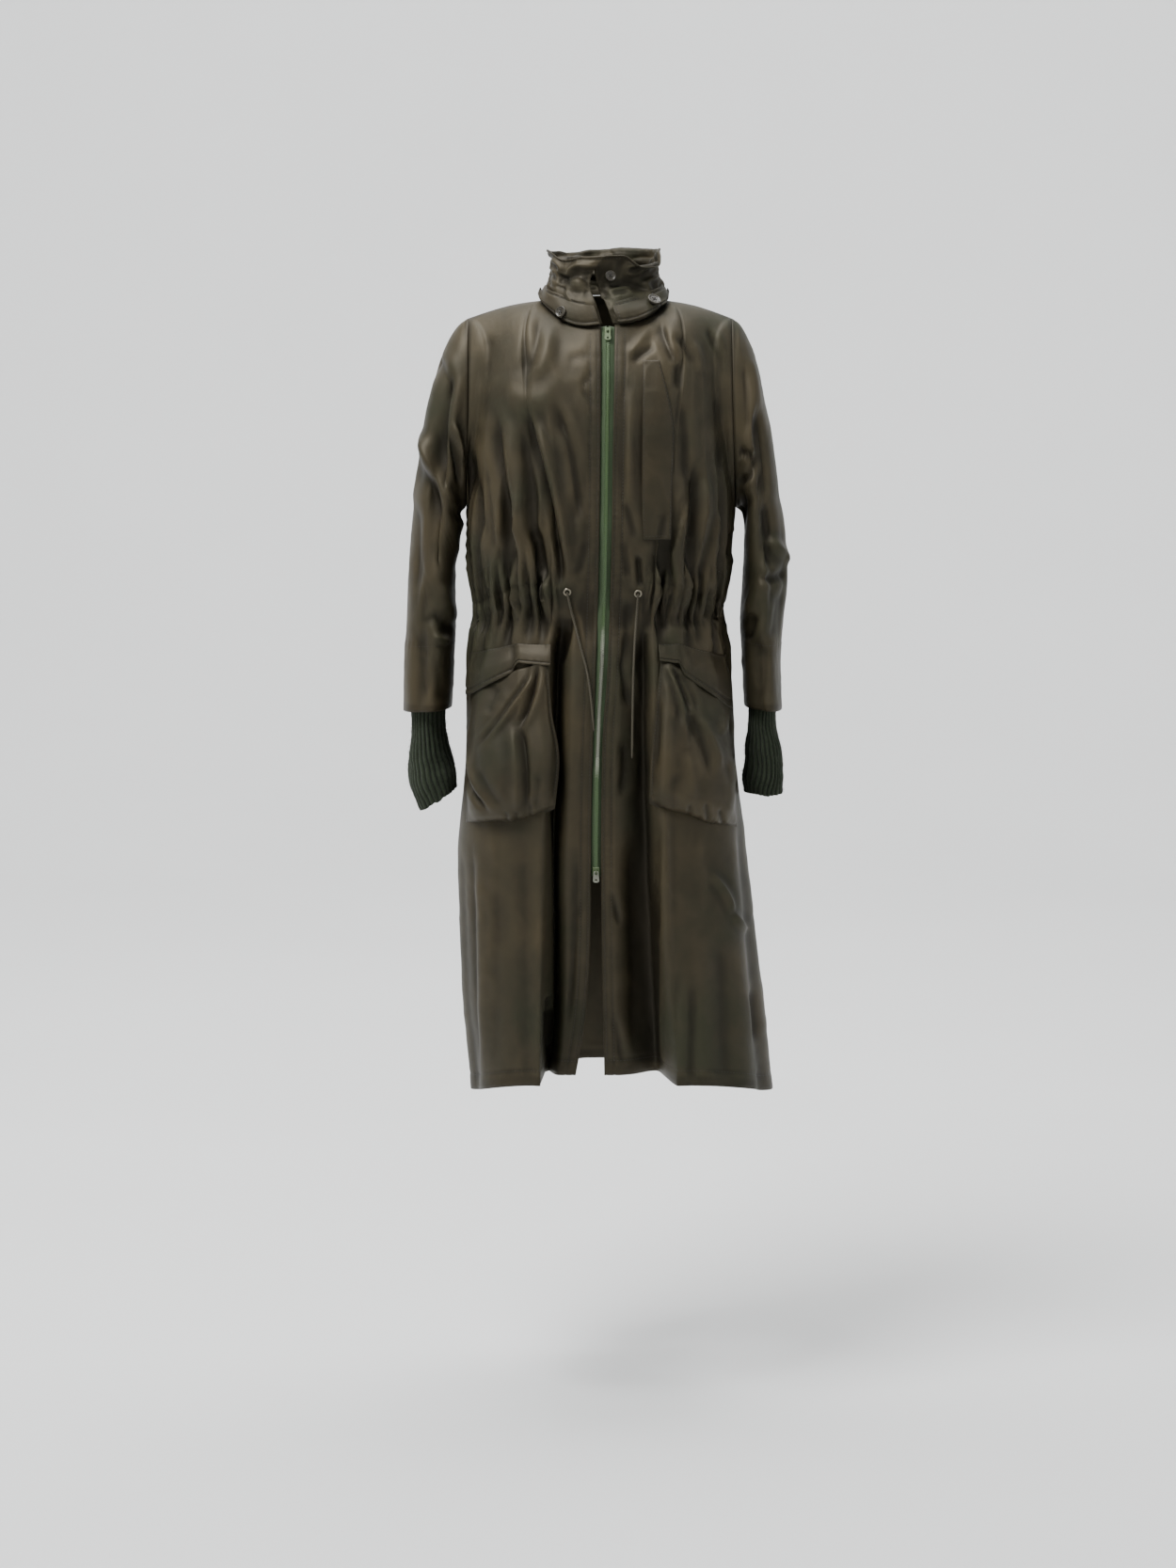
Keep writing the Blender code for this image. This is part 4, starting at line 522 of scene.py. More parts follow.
def over(side, angle, share, lift):
    """A point lifted off the coat's front, which bridges its folds and rides on its crests."""
    base = smooth_body(side, angle, share)
    rise = relief(side, angle, -base[..., 2])
    rise = (rise + np.sqrt(rise**2 + 0.001**2)) / 2
    ways = normals(lambda a, s: smooth_body(side, a, s), angle, share, side)
    return base + (rise + lift)[..., None] * ways, ways


def grid_normals(points, outward):
    """Normals worked out from a sheet's own points, turned to the side of `outward`."""
    found = unit(np.cross(np.gradient(points, axis=0), np.gradient(points, axis=1)))
    return found * np.sign(np.sum(found * outward, axis=-1, keepdims=True))


# The knit cuff's rings, from inside the sleeve's hem to its open end.
KNIT = both("row outer outer_drop inner inner_drop middle half_depth", """
0 0.258 0.505 0.215 0.503 0.002 0.047
0.3 0.258 0.56 0.214 0.552 0 0.045
0.6 0.262 0.606 0.206 0.596 -0.003 0.043
0.8 0.2605 0.636 0.202 0.616 -0.005 0.045
1 0.246 0.668 0.1995 0.64 -0.006 0.044
""", """
0 0.23 0.503 0.2 0.501 0.002 0.049
0.3 0.232 0.556 0.196 0.553 0 0.045
0.6 0.24 0.598 0.192 0.595 -0.003 0.041
0.8 0.241 0.626 0.189 0.622 -0.004 0.04
1 0.239 0.648 0.19 0.645 -0.004 0.038
""")
KNIT_RIBS = 26
# The cuff's upper end is sewn to the sleeve's inside at KNIT_SEAT along it, and narrows below that.
KNIT_SEAT, KNIT_INSET, KNIT_FLARE = 0.93, 0.0044, 0.25


def knit(side, turn, row):
    """A point of the knit cuff, its turn measured as on the sleeve."""
    turn, row = paired(turn, row)
    rows, swing = KNIT[side], np.pi * turn
    read = {name: through(rows, name, row, "row") for name in rows if name != "row"}
    mix = (1 - np.cos(swing)) / 2
    tube = stacked(side * (read["outer"] + (read["inner"] - read["outer"]) * mix),
        read["middle"] - read["half_depth"] * np.sin(swing),
        -(read["outer_drop"] + (read["inner_drop"] - read["outer_drop"]) * mix))
    at = np.full(turn.shape, KNIT_SEAT)
    seat = sleeve(side, turn, at) - sleeve_normals(side, turn, at) * KNIT_INSET
    sewn = (1 - step(0, KNIT_FLARE, row))[..., None]
    return tube + (seat - tube) * sewn


# --- The pieces that lie on the coat ---
# Each pocket's inner and outer edges, from its mouth to its bottom, and how far its front stands out.
POCKET = both("down inner_x inner_drop outer_x outer_drop stand", """
0 -0.072 0.455 -0.173 0.492 0.0065
0.35 -0.068 0.52 -0.178 0.56 0.012
0.75 -0.058 0.59 -0.182 0.64 0.022
1 -0.064 0.648 -0.181 0.68 0.014
""", """
0 0.074 0.455 0.16 0.5 0.0065
0.35 0.066 0.52 0.168 0.565 0.012
0.75 0.06 0.59 0.174 0.64 0.022
1 0.059 0.643 0.176 0.683 0.014
""")
POCKET_SAG = 0.006
# Each flap's lower edge, from its front end to its side end, in shares of the pocket's width.
FLAP = both("across top bottom", """
0 0.436 0.464
0.4 0.436 0.461
0.46 0.437 0.474
1 0.452 0.508
""", """
0 0.436 0.458
0.26 0.436 0.462
0.32 0.437 0.476
1 0.456 0.524
""")


def pocket(side, across, down):
    """A bellows pocket: its front stands off the coat and its edges come back to it."""
    across, down = paired(across, down)
    read = {name: through(POCKET[side], name, down, "down") for name in POCKET[side] if name != "down"}
    x = read["inner_x"] + (read["outer_x"] - read["inner_x"]) * across
    drop = read["inner_drop"] + (read["outer_drop"] - read["inner_drop"]) * across
    drop = drop + POCKET_SAG * np.sin(np.pi * across) * down
    angle, share = place(side, x, drop)
    edge = step(0, 0.16, across) * (1 - step(0.78, 1, across)) * (1 - step(0.86, 1.0, down))
    folds = 0.003 * np.sin(9 * across + 4 * down) * np.sin(np.pi * across) * np.sin(np.pi * down)
    lift = 0.0021 + (read["stand"] - 0.0021 + folds) * edge
    return over(side, angle, share, lift)


CHEST_POCKET = table("down inner_x outer_x", """
0 0.05 0.072
0.35 0.0495 0.089
0.7 0.049 0.088
1 0.05 0.086
""")
CHEST_POCKET_TOP, CHEST_POCKET_BOTTOM = 0.068, 0.298


# Collar tabs: shares of the turn round the neck, from the front edge, and their upper and lower lines.
TAB = both("turn top low out", """
2 0.34 0.002 0.0045
36 0.37 0.004 0.008
60 0.37 -0.0055 0.007
96 0.38 -0.012 0.0045
""", """
5 0.33 0.001 0.0045
36 0.36 0.001 0.008
60 0.37 -0.0055 0.007
94 0.38 -0.012 0.0045
""")


# --- The zip ---
CHAIN_HALF = 0.0025  # half the width between the two tapes
TAPE_TOP, TAPE_BOTTOM = 0.0225, 0.742
SLIDER_DROP = {"top": 0.03, "bottom": 0.7345}
SLIDER_SIZE = (0.0084, 0.011, 0.0015)  # across, up, and the thickness of each plate
SLIDER_GAP = 0.0006


def zip_line(drop):
    """Points on the two front edges and midway, on the straight runs between the fronts' own rows."""
    drop = np.asarray(drop, float)
    zero = np.zeros_like(ROWS)
    right, left = body(RIGHT, zero, ROWS), body(LEFT, zero, ROWS)

    def read(rows):
        return np.stack([np.interp(drop, -rows[:, 2], rows[:, k]) for k in range(3)], axis=-1)

    right, left = read(right), read(left)
    middle = (right + left) / 2
    return right, left, middle, unit(np.gradient(middle, axis=0))


CORD = 0.003  # diameter
CORD_ROUTE = both("along x drop lift", """
0 -0.048 0.3655 0.0048
0.22 -0.0385 0.408 0.006
0.45 -0.029 0.445 0.004
0.62 -0.0222 0.471 0.0036
0.8 -0.0172 0.505 0.0036
1 -0.0132 0.548 0.0036
""", """
0 0.044 0.3675 0.0048
0.3 0.039 0.442 0.006
0.6 0.0372 0.505 0.004
0.85 0.0366 0.556 0.0036
1 0.0362 0.583 0.0036
""")


# --- Fine folds, placed one by one ---
# Each row is one crease: where it starts and ends, in millimetres of X and of drop below the neck's
# base, its half width, how deep it is (below 0 it stands up as a ridge), how far its middle bows
# towards +X, and how much steeper its +X flank is.
CREASE = "x0 drop0 x1 drop1 half depth bow lean"
FRONT_CREASES = both(CREASE, """
-82 6 -103 90 10 5 2 0.3
-68 22 -92 92 8 -3 3 0.2
-130 106 -66 116 15 -4 -6 0
-140 126 -111 350 8 6 -8 0.2
-126 150 -98 350 9 -3 -6 0
-101 134 -50 356 5 8 3 0.6
-88 140 -44 340 7 -4 5 0.3
-66 118 -31 280 7 5 6 0.3
-57 150 -40 262 7 -3.5 4 0.2
-186 165 -158 312 8 5 3 0.2
-158 190 -136 342 7 4 -3 0.1
-90 280 -75 360 5 7 -3 0.3
-64 300 -58 362 4 4 2 0
-13 80 -29 103 4 2.4 0 0.2
-29 103 -13 126 4 2 0 -0.2
-16 60 -48 66 6 1.8 0 0
-150 30 -172 110 12 3 4 0.2
-26 190 -24 330 6 1.6 2 0
-20 300 -34 345 5 2 0 0.2
-108 690 -104 1020 16 2.2 0 0
-140 700 -146 1020 18 2 0 0
-74 640 -72 1030 5 -3 0 0.4
-176 700 -172 1030 5 2.4 0 0.2
-42 400 -60 470 5 3 0 0.2
-36 700 -50 960 9 3 3 0.2
-20 760 -34 800 5 2 0 0
""", """
60 18 30 62 6 -6 3 0.4
36 66 66 48 4 4 0 0.3
24 92 22 236 5 2.6 -3 0.2
38 100 33 270 8 -3.4 -3 0.2
72 14 96 74 6 7 -3 0.4
97 70 96 106 5 5 0 0.2
90 34 120 76 6 4 3 0.2
118 44 128 84 5 -3 0 0
134 24 159 80 4 3.6 2 0.4
146 26 168 74 5 -2.6 2 0
100 120 106 230 7 3 4 0.2
117 196 114 356 8 7.5 5 0.4
132 220 130 340 9 -3 3 0
96 230 92 340 6 -2.6 0 0
151 262 140 336 3 -2.4 0 0.3
170 292 163 330 4 4 0 0.3
80 262 66 350 6 5 0 0.3
146 110 154 220 7 2.4 3 0.2
28 250 40 300 5 2 0 0.2
22 300 30 350 5 2.4 0 -0.2
44 318 48 364 4 4 0 0
30 380 24 470 7 2.6 3 0.2
22 450 34 520 6 3 0 0.3
26 560 22 640 7 2.6 3 0
143 740 172 796 5 -3.6 4 0.5
172 796 201 824 5 -3 -2 0.4
202 900 210 975 5 3 2 0.3
118 880 116 1030 7 2.4 0 0.1
96 860 94 1030 6 1.8 0 0
150 820 160 1036 14 2.6 4 0
80 620 82 1030 5 -3.4 0 -0.4
34 680 40 1010 16 4 4 0.2
8 760 22 810 6 2.4 0 0.3
10 930 26 1000 7 2.4 0 0.2
""")
SLEEVE_CREASES = both(CREASE, """
-200 80 -203 268 8 9 -14 0
-242 160 -198 268 8 -7 -2 0.3
-198 268 -188 345 7 -5 0 0.3
-234 205 -216 345 11 9 3 0.2
-199 150 -187 200 4 -6 3 0.5
-205 160 -192 235 4 5 3 0.3
-222 60 -206 120 8 3 4 0.2
-250 250 -254 380 8 4 4 0
-232 400 -204 432 9 4 6 0.3
-226 430 -206 440 5 -3 0 0.2
-214 360 -202 420 7 -3 0 0
-250 420 -236 520 12 3 0 0
-222 460 -216 525 9 2.4 0 0
""", """
178 185 197 193 4 7 0 0
198 192 181 232 5 8 4 0.4
186 206 196 250 6 -3 0 0.2
199 130 213 256 8 6 5 0.4
213 250 218 345 9 6 3 0.2
184 70 186 170 6 3 2 0.2
192 60 204 136 6 -2.6 2 0
184 240 170 340 8 6 3 0.2
246 338 214 300 6 -6 -3 0.3
244 346 206 352 6 5 5 0.2
214 350 190 410 8 -4 0 0.2
232 370 222 440 9 4 3 0
200 400 190 440 6 4 2 0.2
216 440 214 520 10 2.4 0 0
233 440 236 520 8 2 0 0
""")
POCKET_CREASES = both(CREASE, """
-94 470 -165 574 3.2 3.4 2 0.3
-88 470 -158 562 5 -2.6 4 0
-86 462 -109 545 4 8 3 0.4
-108 540 -104 664 6 6 5 0.4
-118 540 -113 650 8 -3.6 3 0.2
-76 470 -72 620 8 -2.4 2 0
-188 506 -186 575 4 5 3 0.2
-186 575 -150 656 4 5 -9 0.2
-180 540 -160 640 6 -3 -6 0.1
-140 490 -152 530 7 2.4 0 0.2
-160 600 -130 650 6 2 -3 0
-84 600 -92 650 5 3 2 0.2
-96 640 -98 668 3 2.4 0 0
-114 648 -113 670 3 2.4 0 0
-128 650 -124 672 3 2 0 0
""", """
84 462 106 574 6 -4 3 0.2
106 574 116 640 7 -3 2 0.2
82 468 98 540 4 5 2 0.3
90 466 112 526 4 6 3 0.4
112 526 138 608 6 5 4 0.3
101 470 121 526 4 3.6 2 0.3
120 530 150 600 7 -3 5 0.2
166 514 147 560 6 -3 3 0.2
163 590 182 632 5 -3.4 0 0.2
70 500 68 600 5 3 2 0.2
132 640 136 668 3 3 0 0
150 650 156 676 3 3 0 0
112 640 110 664 3 2.4 0 0
95 600 92 655 7 2.4 -3 0
""")
# Folds of the sides and back, which hang plainly. Angles in degrees from the front edge, drops in mm.
BACK_CREASES = table("angle0 drop0 angle1 drop1 half depth bow lean", """
172 60 150 180 5 3 2 0.2
158 90 138 260 5 3.4 -2 0.2
170 220 160 380 4 3 1 0.1
148 250 144 385 3.5 4 -1 0.3
132 230 134 390 3.5 3.6 1 0
118 280 120 392 3 3.6 0 0.2
104 270 110 390 3.5 3 1 0.2
176 300 174 385 2.5 3 0 0
154 400 150 560 3.5 3.4 1 0.2
136 400 138 620 4 3.4 -1 0
120 400 116 540 3.5 3.4 1 0.2
168 400 170 680 4 3 0 0.1
100 420 102 700 5 2.6 1 0
128 640 124 1040 6 3 0 0
158 620 160 1040 6 3 0 0
94 700 96 1040 5 2.4 0 0
""")


def creased(rows, x, y):
    """How far the cloth sinks at each place, by every crease of a table. All in metres."""
    sunk = np.zeros(np.shape(x))
    for row in zip(*rows.values()):
        x0, y0, x1, y1, half, depth, bow = (value / 1000 for value in row[:7])
        run = math.hypot(x1 - x0, y1 - y0)
        along = ((x - x0) * (x1 - x0) + (y - y0) * (y1 - y0)) / run**2
        off = ((x - x0) * (y1 - y0) - (y - y0) * (x1 - x0)) / run
        off = off - bow * 4 * along * (1 - along)
        steep = 1 - row[7] * np.tanh(off / half)
        ends = step(-0.04, 0.22, along) * (1 - step(0.74, 1.04, along))
        trough = np.exp(-np.abs(off / (half * steep)) ** 1.6)
        shoulder_line = bell(np.abs(off) - 2.0 * half, 0.9 * half)
        sunk = sunk + depth * ends * (trough - 0.22 * shoulder_line)
    return sunk


def lattice(seed, count):
    return np.random.default_rng(seed).random((count, count))


def cloudy(x, y, size, seed):
    """Smooth, repeatable unevenness from -1 to 1, with bumps about `size` across."""
    values = lattice(seed, 64)
    u, v = np.asarray(x) / size + 7.3, np.asarray(y) / size + 3.1
    i, j = np.floor(u).astype(int), np.floor(v).astype(int)
    a, b = u - i, v - j
    a, b = a * a * a * (a * (a * 6 - 15) + 10), b * b * b * (b * (b * 6 - 15) + 10)
    corner = [[values[(i + p) % 64, (j + q) % 64] for q in (0, 1)] for p in (0, 1)]
    top = corner[0][0] * (1 - a) + corner[1][0] * a
    low = corner[0][1] * (1 - a) + corner[1][1] * a
    return 2 * (top * (1 - b) + low * b) - 1


def rumpled(x, y, seed, across=1.0):
    """Broken, papery facets that a light coated cloth keeps: flat patches between sharp low edges."""
    warp_x = x + 0.01 * cloudy(x, y, 0.03, seed + 5)
    warp_y = y + 0.014 * cloudy(x, y, 0.036, seed + 6)
    broad = 1 - 2 * np.abs(cloudy(warp_x / across, warp_y * 0.6, 0.04, seed))
    fine = 1 - 2 * np.abs(cloudy(warp_x, warp_y * 0.7, 0.017, seed + 1))
    return 0.0006 * broad + 0.00018 * fine


RUFFLE_SPACING = 0.0145  # from one gathered fold to the next
CASING = 0.012  # half the height of the drawcord's casing


def ruffles(side, angle, drop):
    """The small gathered folds at the drawcord: round crests and sharp hollows, unevenly spaced."""
    round_way = angle * 0.003
    seed = 40 if side == LEFT else 50
    away = drop - waist_drop(angle)
    sway = 0.0035 * cloudy(round_way, away, 0.045, seed)
    phase = np.pi * (round_way + sway) / RUFFLE_SPACING
    phase = phase + 0.9 * cloudy(round_way, 0 * away, 0.05, seed + 1)
    folds = 2 * np.abs(np.cos(phase)) ** 0.8 - 1.2
    small = 2 * np.abs(np.cos(2.3 * phase + 0.8 + 40 * away)) - 1.2
    patchy = 0.7 + 0.5 * cloudy(round_way, 0 * away, 0.03, seed + 2)
    reach = np.where(away < 0, 0.042, 0.03)
    tall = 0.01 * bell(away, reach) * patchy
    low = 0.0032 * bell(away, 0.02)
    flat = step(EYELET_ANGLE - 1, EYELET_ANGLE + 4, angle)
    seam_lines = bell(np.abs(away) - CASING, 0.0022)
    cord_bulge = 0.0012 * bell(away, 0.006)
    strain = 0.55 * phase + 1.3 * cloudy(round_way, 0.4 * away, 0.06, seed + 3)
    hang = (1 - 2 * np.abs(np.sin(strain)) ** 0.7) * (0.55 + 0.45 * cloudy(round_way, away, 0.07, seed + 4))
    hanging = 0.0068 * bell(away, np.where(away < 0, 0.165, 0.08)) * hang
    return flat * (folds * tall + small * low + cord_bulge + hanging - 0.001 * seam_lines)


def puckers(along, seed):
    """The small pulls that a line of stitching leaves in thin cloth."""
    pull = np.sin(along / 0.0052 * np.pi + 9 * cloudy(along, 0 * along, 0.04, seed))
    return pull * (0.4 + 0.4 * cloudy(along, 0 * along, 0.017, seed + 1))


def seam_line(distance, along, seed, reach=0.004, depth=0.0011):
    """A stitched line in the cloth: a shallow groove with puckers on both sides."""
    groove = -depth * bell(distance, 0.0011)
    return groove + 0.00035 * puckers(along, seed) * bell(distance, reach)


# --- Sheets of cloth ---
def arcs(points, axis):
    """Length along a grid's lines, from their first points."""
    steps = np.linalg.norm(np.diff(points, axis=axis), axis=-1)
    first = np.zeros_like(np.take(steps, [0], axis=axis))
    return np.cumsum(np.concatenate([first, steps], axis=axis), axis=axis)


def new_piece(name, corners, faces, uvs=None):
    """A mesh object at the origin from plain arrays; faces is a list of arrays of one width each."""
    mesh = bpy.data.meshes.new(name)
    corners = np.asarray(corners, float)
    loops = np.concatenate([np.asarray(block).ravel() for block in faces]).astype(np.int32)
    sizes = np.concatenate([np.full(len(block), block.shape[1]) for block in faces])
    starts = np.concatenate([[0], np.cumsum(sizes)[:-1]]).astype(np.int32)
    mesh.vertices.add(len(corners))
    mesh.vertices.foreach_set("co", corners.ravel())
    mesh.loops.add(len(loops))
    mesh.loops.foreach_set("vertex_index", loops)
    mesh.polygons.add(len(starts))
    mesh.polygons.foreach_set("loop_start", starts)
    mesh.update(calc_edges=True)
    if uvs is not None:
        layer = mesh.uv_layers.new(name="UVMap")
        layer.data.foreach_set("uv", np.asarray(uvs, float)[loops].ravel())
    mesh.polygons.foreach_set("use_smooth", np.ones(len(starts), bool))
    mesh.validate()
    obj = bpy.data.objects.new(name, mesh)
    bpy.context.scene.collection.objects.link(obj)
    return obj


def softened(points, rounds, closed):
    """A sheet's points, each moved towards its neighbours again and again."""
    for _ in range(rounds):
        wide = np.pad(points, ((1, 1), (0, 0), (0, 0)), mode="edge")
        points = (wide[:-2] + 2 * points + wide[2:]) / 4
        wide = np.pad(points, ((0, 0), (1, 1), (0, 0)), mode="wrap" if closed else "edge")
        points = (wide[:, :-2] + 2 * points + wide[:, 2:]) / 4
    return points


def crests(points, ways, closed):
    """0 in the hollows of the folds and 1 on their crests, for fine folds and broad ones together."""
    fine = np.sum((points - softened(points, 10, closed)) * ways, axis=-1)
    broad = np.sum((points - softened(points, 70, closed)) * ways, axis=-1)
    high = 0.5 * np.tanh(fine / 0.0007) + 0.5 * np.tanh(broad / 0.0028)
    inside = np.ones_like(high)
    inside[:3] = inside[-3:] = 0
    if not closed:
        inside[:, :3] = inside[:, -3:] = 0
    return 0.5 + 0.5 * high * inside


def shell(name, points, outward, thick, closed=False):
    """A sheet with an outer and an inner face and closed edges; `outward` turns its faces out."""
    ring_points = np.concatenate([points[:, -1:], points, points[:, :1]], axis=1) if closed else points
    ways = unit(np.cross(np.gradient(ring_points, axis=0), np.gradient(ring_points, axis=1)))
    ways = ways[:, 1:-1] if closed else ways
    turned = np.sign(np.sum(ways * outward))
    ways = ways * turned
    height, width = points.shape[:2]
    inner = points - ways * thick
    corners = np.concatenate([points.reshape(-1, 3), inner.reshape(-1, 3)])
    across, down = arcs(points, 1).mean(axis=0), arcs(points, 0).mean(axis=1)
    flat = np.stack(np.broadcast_arrays(across[None, :], down[:, None]), axis=-1).reshape(-1, 2)
    number = np.arange(height * width).reshape(height, width)
    if closed:
        number = np.hstack([number, number[:, :1]])
    under = number + height * width

    def squares(grid):
        return np.stack([grid[:-1, :-1], grid[1:, :-1], grid[1:, 1:], grid[:-1, 1:]], axis=-1).reshape(-1, 4)

    def rim(upper, lower):
        return np.stack([upper[:-1], upper[1:], lower[1:], lower[:-1]], axis=-1)

    outer_faces, inner_faces = squares(number), squares(under)[:, ::-1]
    rims = [rim(number[0], under[0]), rim(number[-1], under[-1])[:, ::-1]]
    if not closed:
        rims += [rim(number[:, 0], under[:, 0])[:, ::-1], rim(number[:, -1], under[:, -1])]
    faces = np.concatenate([outer_faces, inner_faces] + rims)
    if turned < 0:
        faces = faces[:, ::-1]
    obj = new_piece(name, corners, [faces], np.concatenate([flat, flat]))
    # The crest value drives the cloth colour's painted highlight on fold crests and painted shade in the
    # hollows.
    high = crests(points, ways, closed).ravel()
    obj.data.attributes.new("crest", "FLOAT", "POINT").data.foreach_set("value", np.concatenate([high, high]))
    return obj, ways


def dress(obj, node, material, body="coat"):
    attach(obj, body)
    if node:
        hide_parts(*([node] if isinstance(node, str) else node))
    obj.data.materials.clear()
    obj.data.materials.append(material)
    return obj


def sampled(grid, row, column):
    """Points between a grid's own, at fractional row and column numbers."""
    row = np.clip(np.asarray(row, float), 0, grid.shape[0] - 1.001)
    column = np.clip(np.asarray(column, float), 0, grid.shape[1] - 1.001)
    i, j = row.astype(int), column.astype(int)
    a, b = (row - i)[..., None], (column - j)[..., None]
    near = grid[i, j] * (1 - b) + grid[i, j + 1] * b
    far = grid[i + 1, j] * (1 - b) + grid[i + 1, j + 1] * b
    return near * (1 - a) + far * a


STITCH, STITCH_GAP, THREAD = 0.0032, 0.0014, 0.00026  # length, space between, and half thickness


def stitch_run(line, ways):
    """Stitches along a line on the cloth: the corners and faces of a row of short thread bars."""
    lengths = arcs(line, 0)
    count = int(lengths[-1] // (STITCH + STITCH_GAP))
    starts = np.arange(count) * (STITCH + STITCH_GAP) + STITCH_GAP / 2

    def at(where, values):
        return np.stack([np.interp(where, lengths, values[:, k]) for k in range(3)], axis=-1)

    corners = []
    for share, size in ((0.0, 0.35), (0.2, 1.0), (0.8, 1.0), (1.0, 0.35)):
        where = starts + share * STITCH
        middle, up = at(where, line), unit(at(where, ways))
        run = unit(at(where + 0.0004, line) - at(where - 0.0004, line))
        side = unit(np.cross(run, up))
        sink = THREAD * (0.5 if size == 1.0 else -0.9)
        for turn in (45, 135, 225, 315):
            spin = math.radians(turn)
            spot = middle + up * (sink + size * THREAD * math.sin(spin))
            corners.append(spot + side * size * THREAD * math.cos(spin))
    corners = np.stack(corners, axis=1)
    base = (np.arange(count) * 16)[:, None]
    faces = []
    for ring_number in range(3):
        for k in range(4):
            a, b = ring_number * 4 + k, ring_number * 4 + (k + 1) % 4
            faces.append(base + np.array([[a, a + 4, b + 4, b]]))
    faces.append(base + np.array([[0, 1, 2, 3]]))
    faces.append(base + np.array([[15, 14, 13, 12]]))
    return corners.reshape(-1, 3), np.concatenate(faces)


def on_sheet(points, ways, rows, columns):
    """A line on a sheet, by its row and column numbers, with the cloth's way out along it."""
    return sampled(points, rows, columns), sampled(ways, rows, columns)


def near_hem(points, ways, distance, margin):
    """The same for a line that keeps its distance from the sheet's last edge."""
    down = arcs(points, 0)
    rows, columns = np.arange(points.shape[0]), np.arange(margin, points.shape[1] - margin)
    row = np.array([np.interp(-distance, down[:, j] - down[-1, j], rows) for j in columns])
    return on_sheet(points, ways, row, columns)


def stitched_at(name, points, ways, *lines):
    """Stitching along lines of a sheet, each given by its row and column numbers."""
    stitched(name, [on_sheet(points, ways, rows, columns) for rows, columns in lines])


def stitched(name, runs):
    """One piece of thread from several runs of stitches, each (line, ways)."""
    corners, faces, count = [], [], 0
    for line, ways in runs:
        if len(line) < 2:
            continue
        spots, squares = stitch_run(line, ways)
        corners.append(spots)
        faces.append(squares + count)
        count += len(spots)
    obj = new_piece(name, np.concatenate(corners), [np.concatenate(faces)])
    faces_out(obj)
    return dress(obj, None, finish("thread"))


# --- The coat's sheets ---
SEAM_DIP = 0.0007  # how far the cloth is drawn in at a seam


def fine_shares():
    """Rows from the top edge to the hem, closer together round the gathered waist."""
    top = np.linspace(0, TOP_SHARE, 54)
    chest = np.linspace(TOP_SHARE, WAIST_SHARE, 54)
    waist = WAIST_SHARE + 0.09 * np.linspace(0, 1, 26)
    skirt = np.linspace(WAIST_SHARE + 0.09, 1, 104)
    return np.concatenate([top, chest[1:], waist[1:], skirt[1:]])


def front_points(side):
    """The wanted points of one front, with every fold, and the sheet's numbers that stitching needs."""
    angles = np.concatenate([np.linspace(FRONT_START, 30, 44), np.linspace(30, 90, 58)[1:]])
    angle, share = np.meshgrid(angles, fine_shares())
    base = smooth_body(side, angle, share)
    x, drop = base[..., 0], -base[..., 2]
    points = body(side, angle, share)
    ways = grid_normals(points, body_normals(side, angle, share, folds=False))
    across = arcs(points, 1)
    top_fade = step(0.0, 0.06, share)
    lift = -(0.8 + 0.8 * step(0.1, 0.2, drop)) * creased(FRONT_CREASES[side], x, drop)
    seed = 10 if side == LEFT else 20
    lift = lift + rumpled(x, drop, seed) * (1.2 + 2.4 * bell(drop - 0.405, 0.045))
    placket = 1 - step(0.01, 0.022, across)
    lift = lift * (1 - 0.75 * placket) + ruffles(side, angle, drop)
    lift = lift + seam_line(across - PLACKET, drop, seed + 3) + seam_line(across - 0.0035, drop, seed + 4)
    lift = lift + 0.0006 * puckers(drop, seed + 7) * bell(across, 0.012)
    hem_up = hem_drop(angle) - drop
    lift = lift + seam_line(hem_up - HEM_DEPTH, across, seed + 5) * step(0.9, 0.95, share)
    lift = lift + 0.0005 * (1 - step(0.0, HEM_DEPTH, hem_up)) * step(0.9, 0.95, share)
    lift = lift * top_fade - SEAM_DIP * bell(arcs(points, 0), 0.002)
    # Under a pocket and its flap the front hangs flat, so that no fold of it stands through them.
    rows, sign = FLAP[side], 1 if side == LEFT else -1
    inner, outer = abs(POCKET[side]["inner_x"][0]), abs(POCKET[side]["outer_x"][0])
    near = (sign * x - inner) / (outer - inner)
    top = np.interp(np.clip(near, 0, 1), rows["across"], rows["top"])
    covered = step(-0.1, 0.02, near) * (1 - step(0.98, 1.1, near)) * step(-0.01, 0.006, drop - top)
    covered = covered * (1 - step(0.64, 0.67, drop))
    lift = lift * (1 - covered) + np.minimum(lift, -0.0008) * covered
    far = across[:, -1:] - across
    lift = lift * step(-0.002, 0.01, far) - SEAM_DIP * bell(far, 0.0022)
    return points + lift[..., None] * ways, ways, across


PLACKET, HEM_DEPTH, CASING_LINE = 0.0135, 0.02, 0.052
CHEST_ROW = 0.00276  # drop from one of the chest's rows to the next
FRONT_START = 0.5  # degrees from the middle to where the turned front edge shows


def front_stitches(points, ways, across):
    """Stitching along the zip's opening, the hem and the top of the drawcord's casing."""
    rows = np.arange(points.shape[0])
    runs = []
    for distance in (PLACKET, 0.0035):
        column = np.array([np.interp(distance, across[i], np.arange(points.shape[1])) for i in rows])
        keep = slice(3, -3)
        runs.append(on_sheet(points, ways, rows[keep], column[keep]))
    runs.append(near_hem(points, ways, HEM_DEPTH, 1))
    start = int(points.shape[1] * 0.62)
    columns = np.arange(start, points.shape[1] - 3)
    waist = np.interp(WAIST_SHARE, fine_shares(), rows)
    casing = np.full(len(columns), waist - CASING_LINE / CHEST_ROW)
    runs.append(on_sheet(points, ways, casing, columns))
    return runs


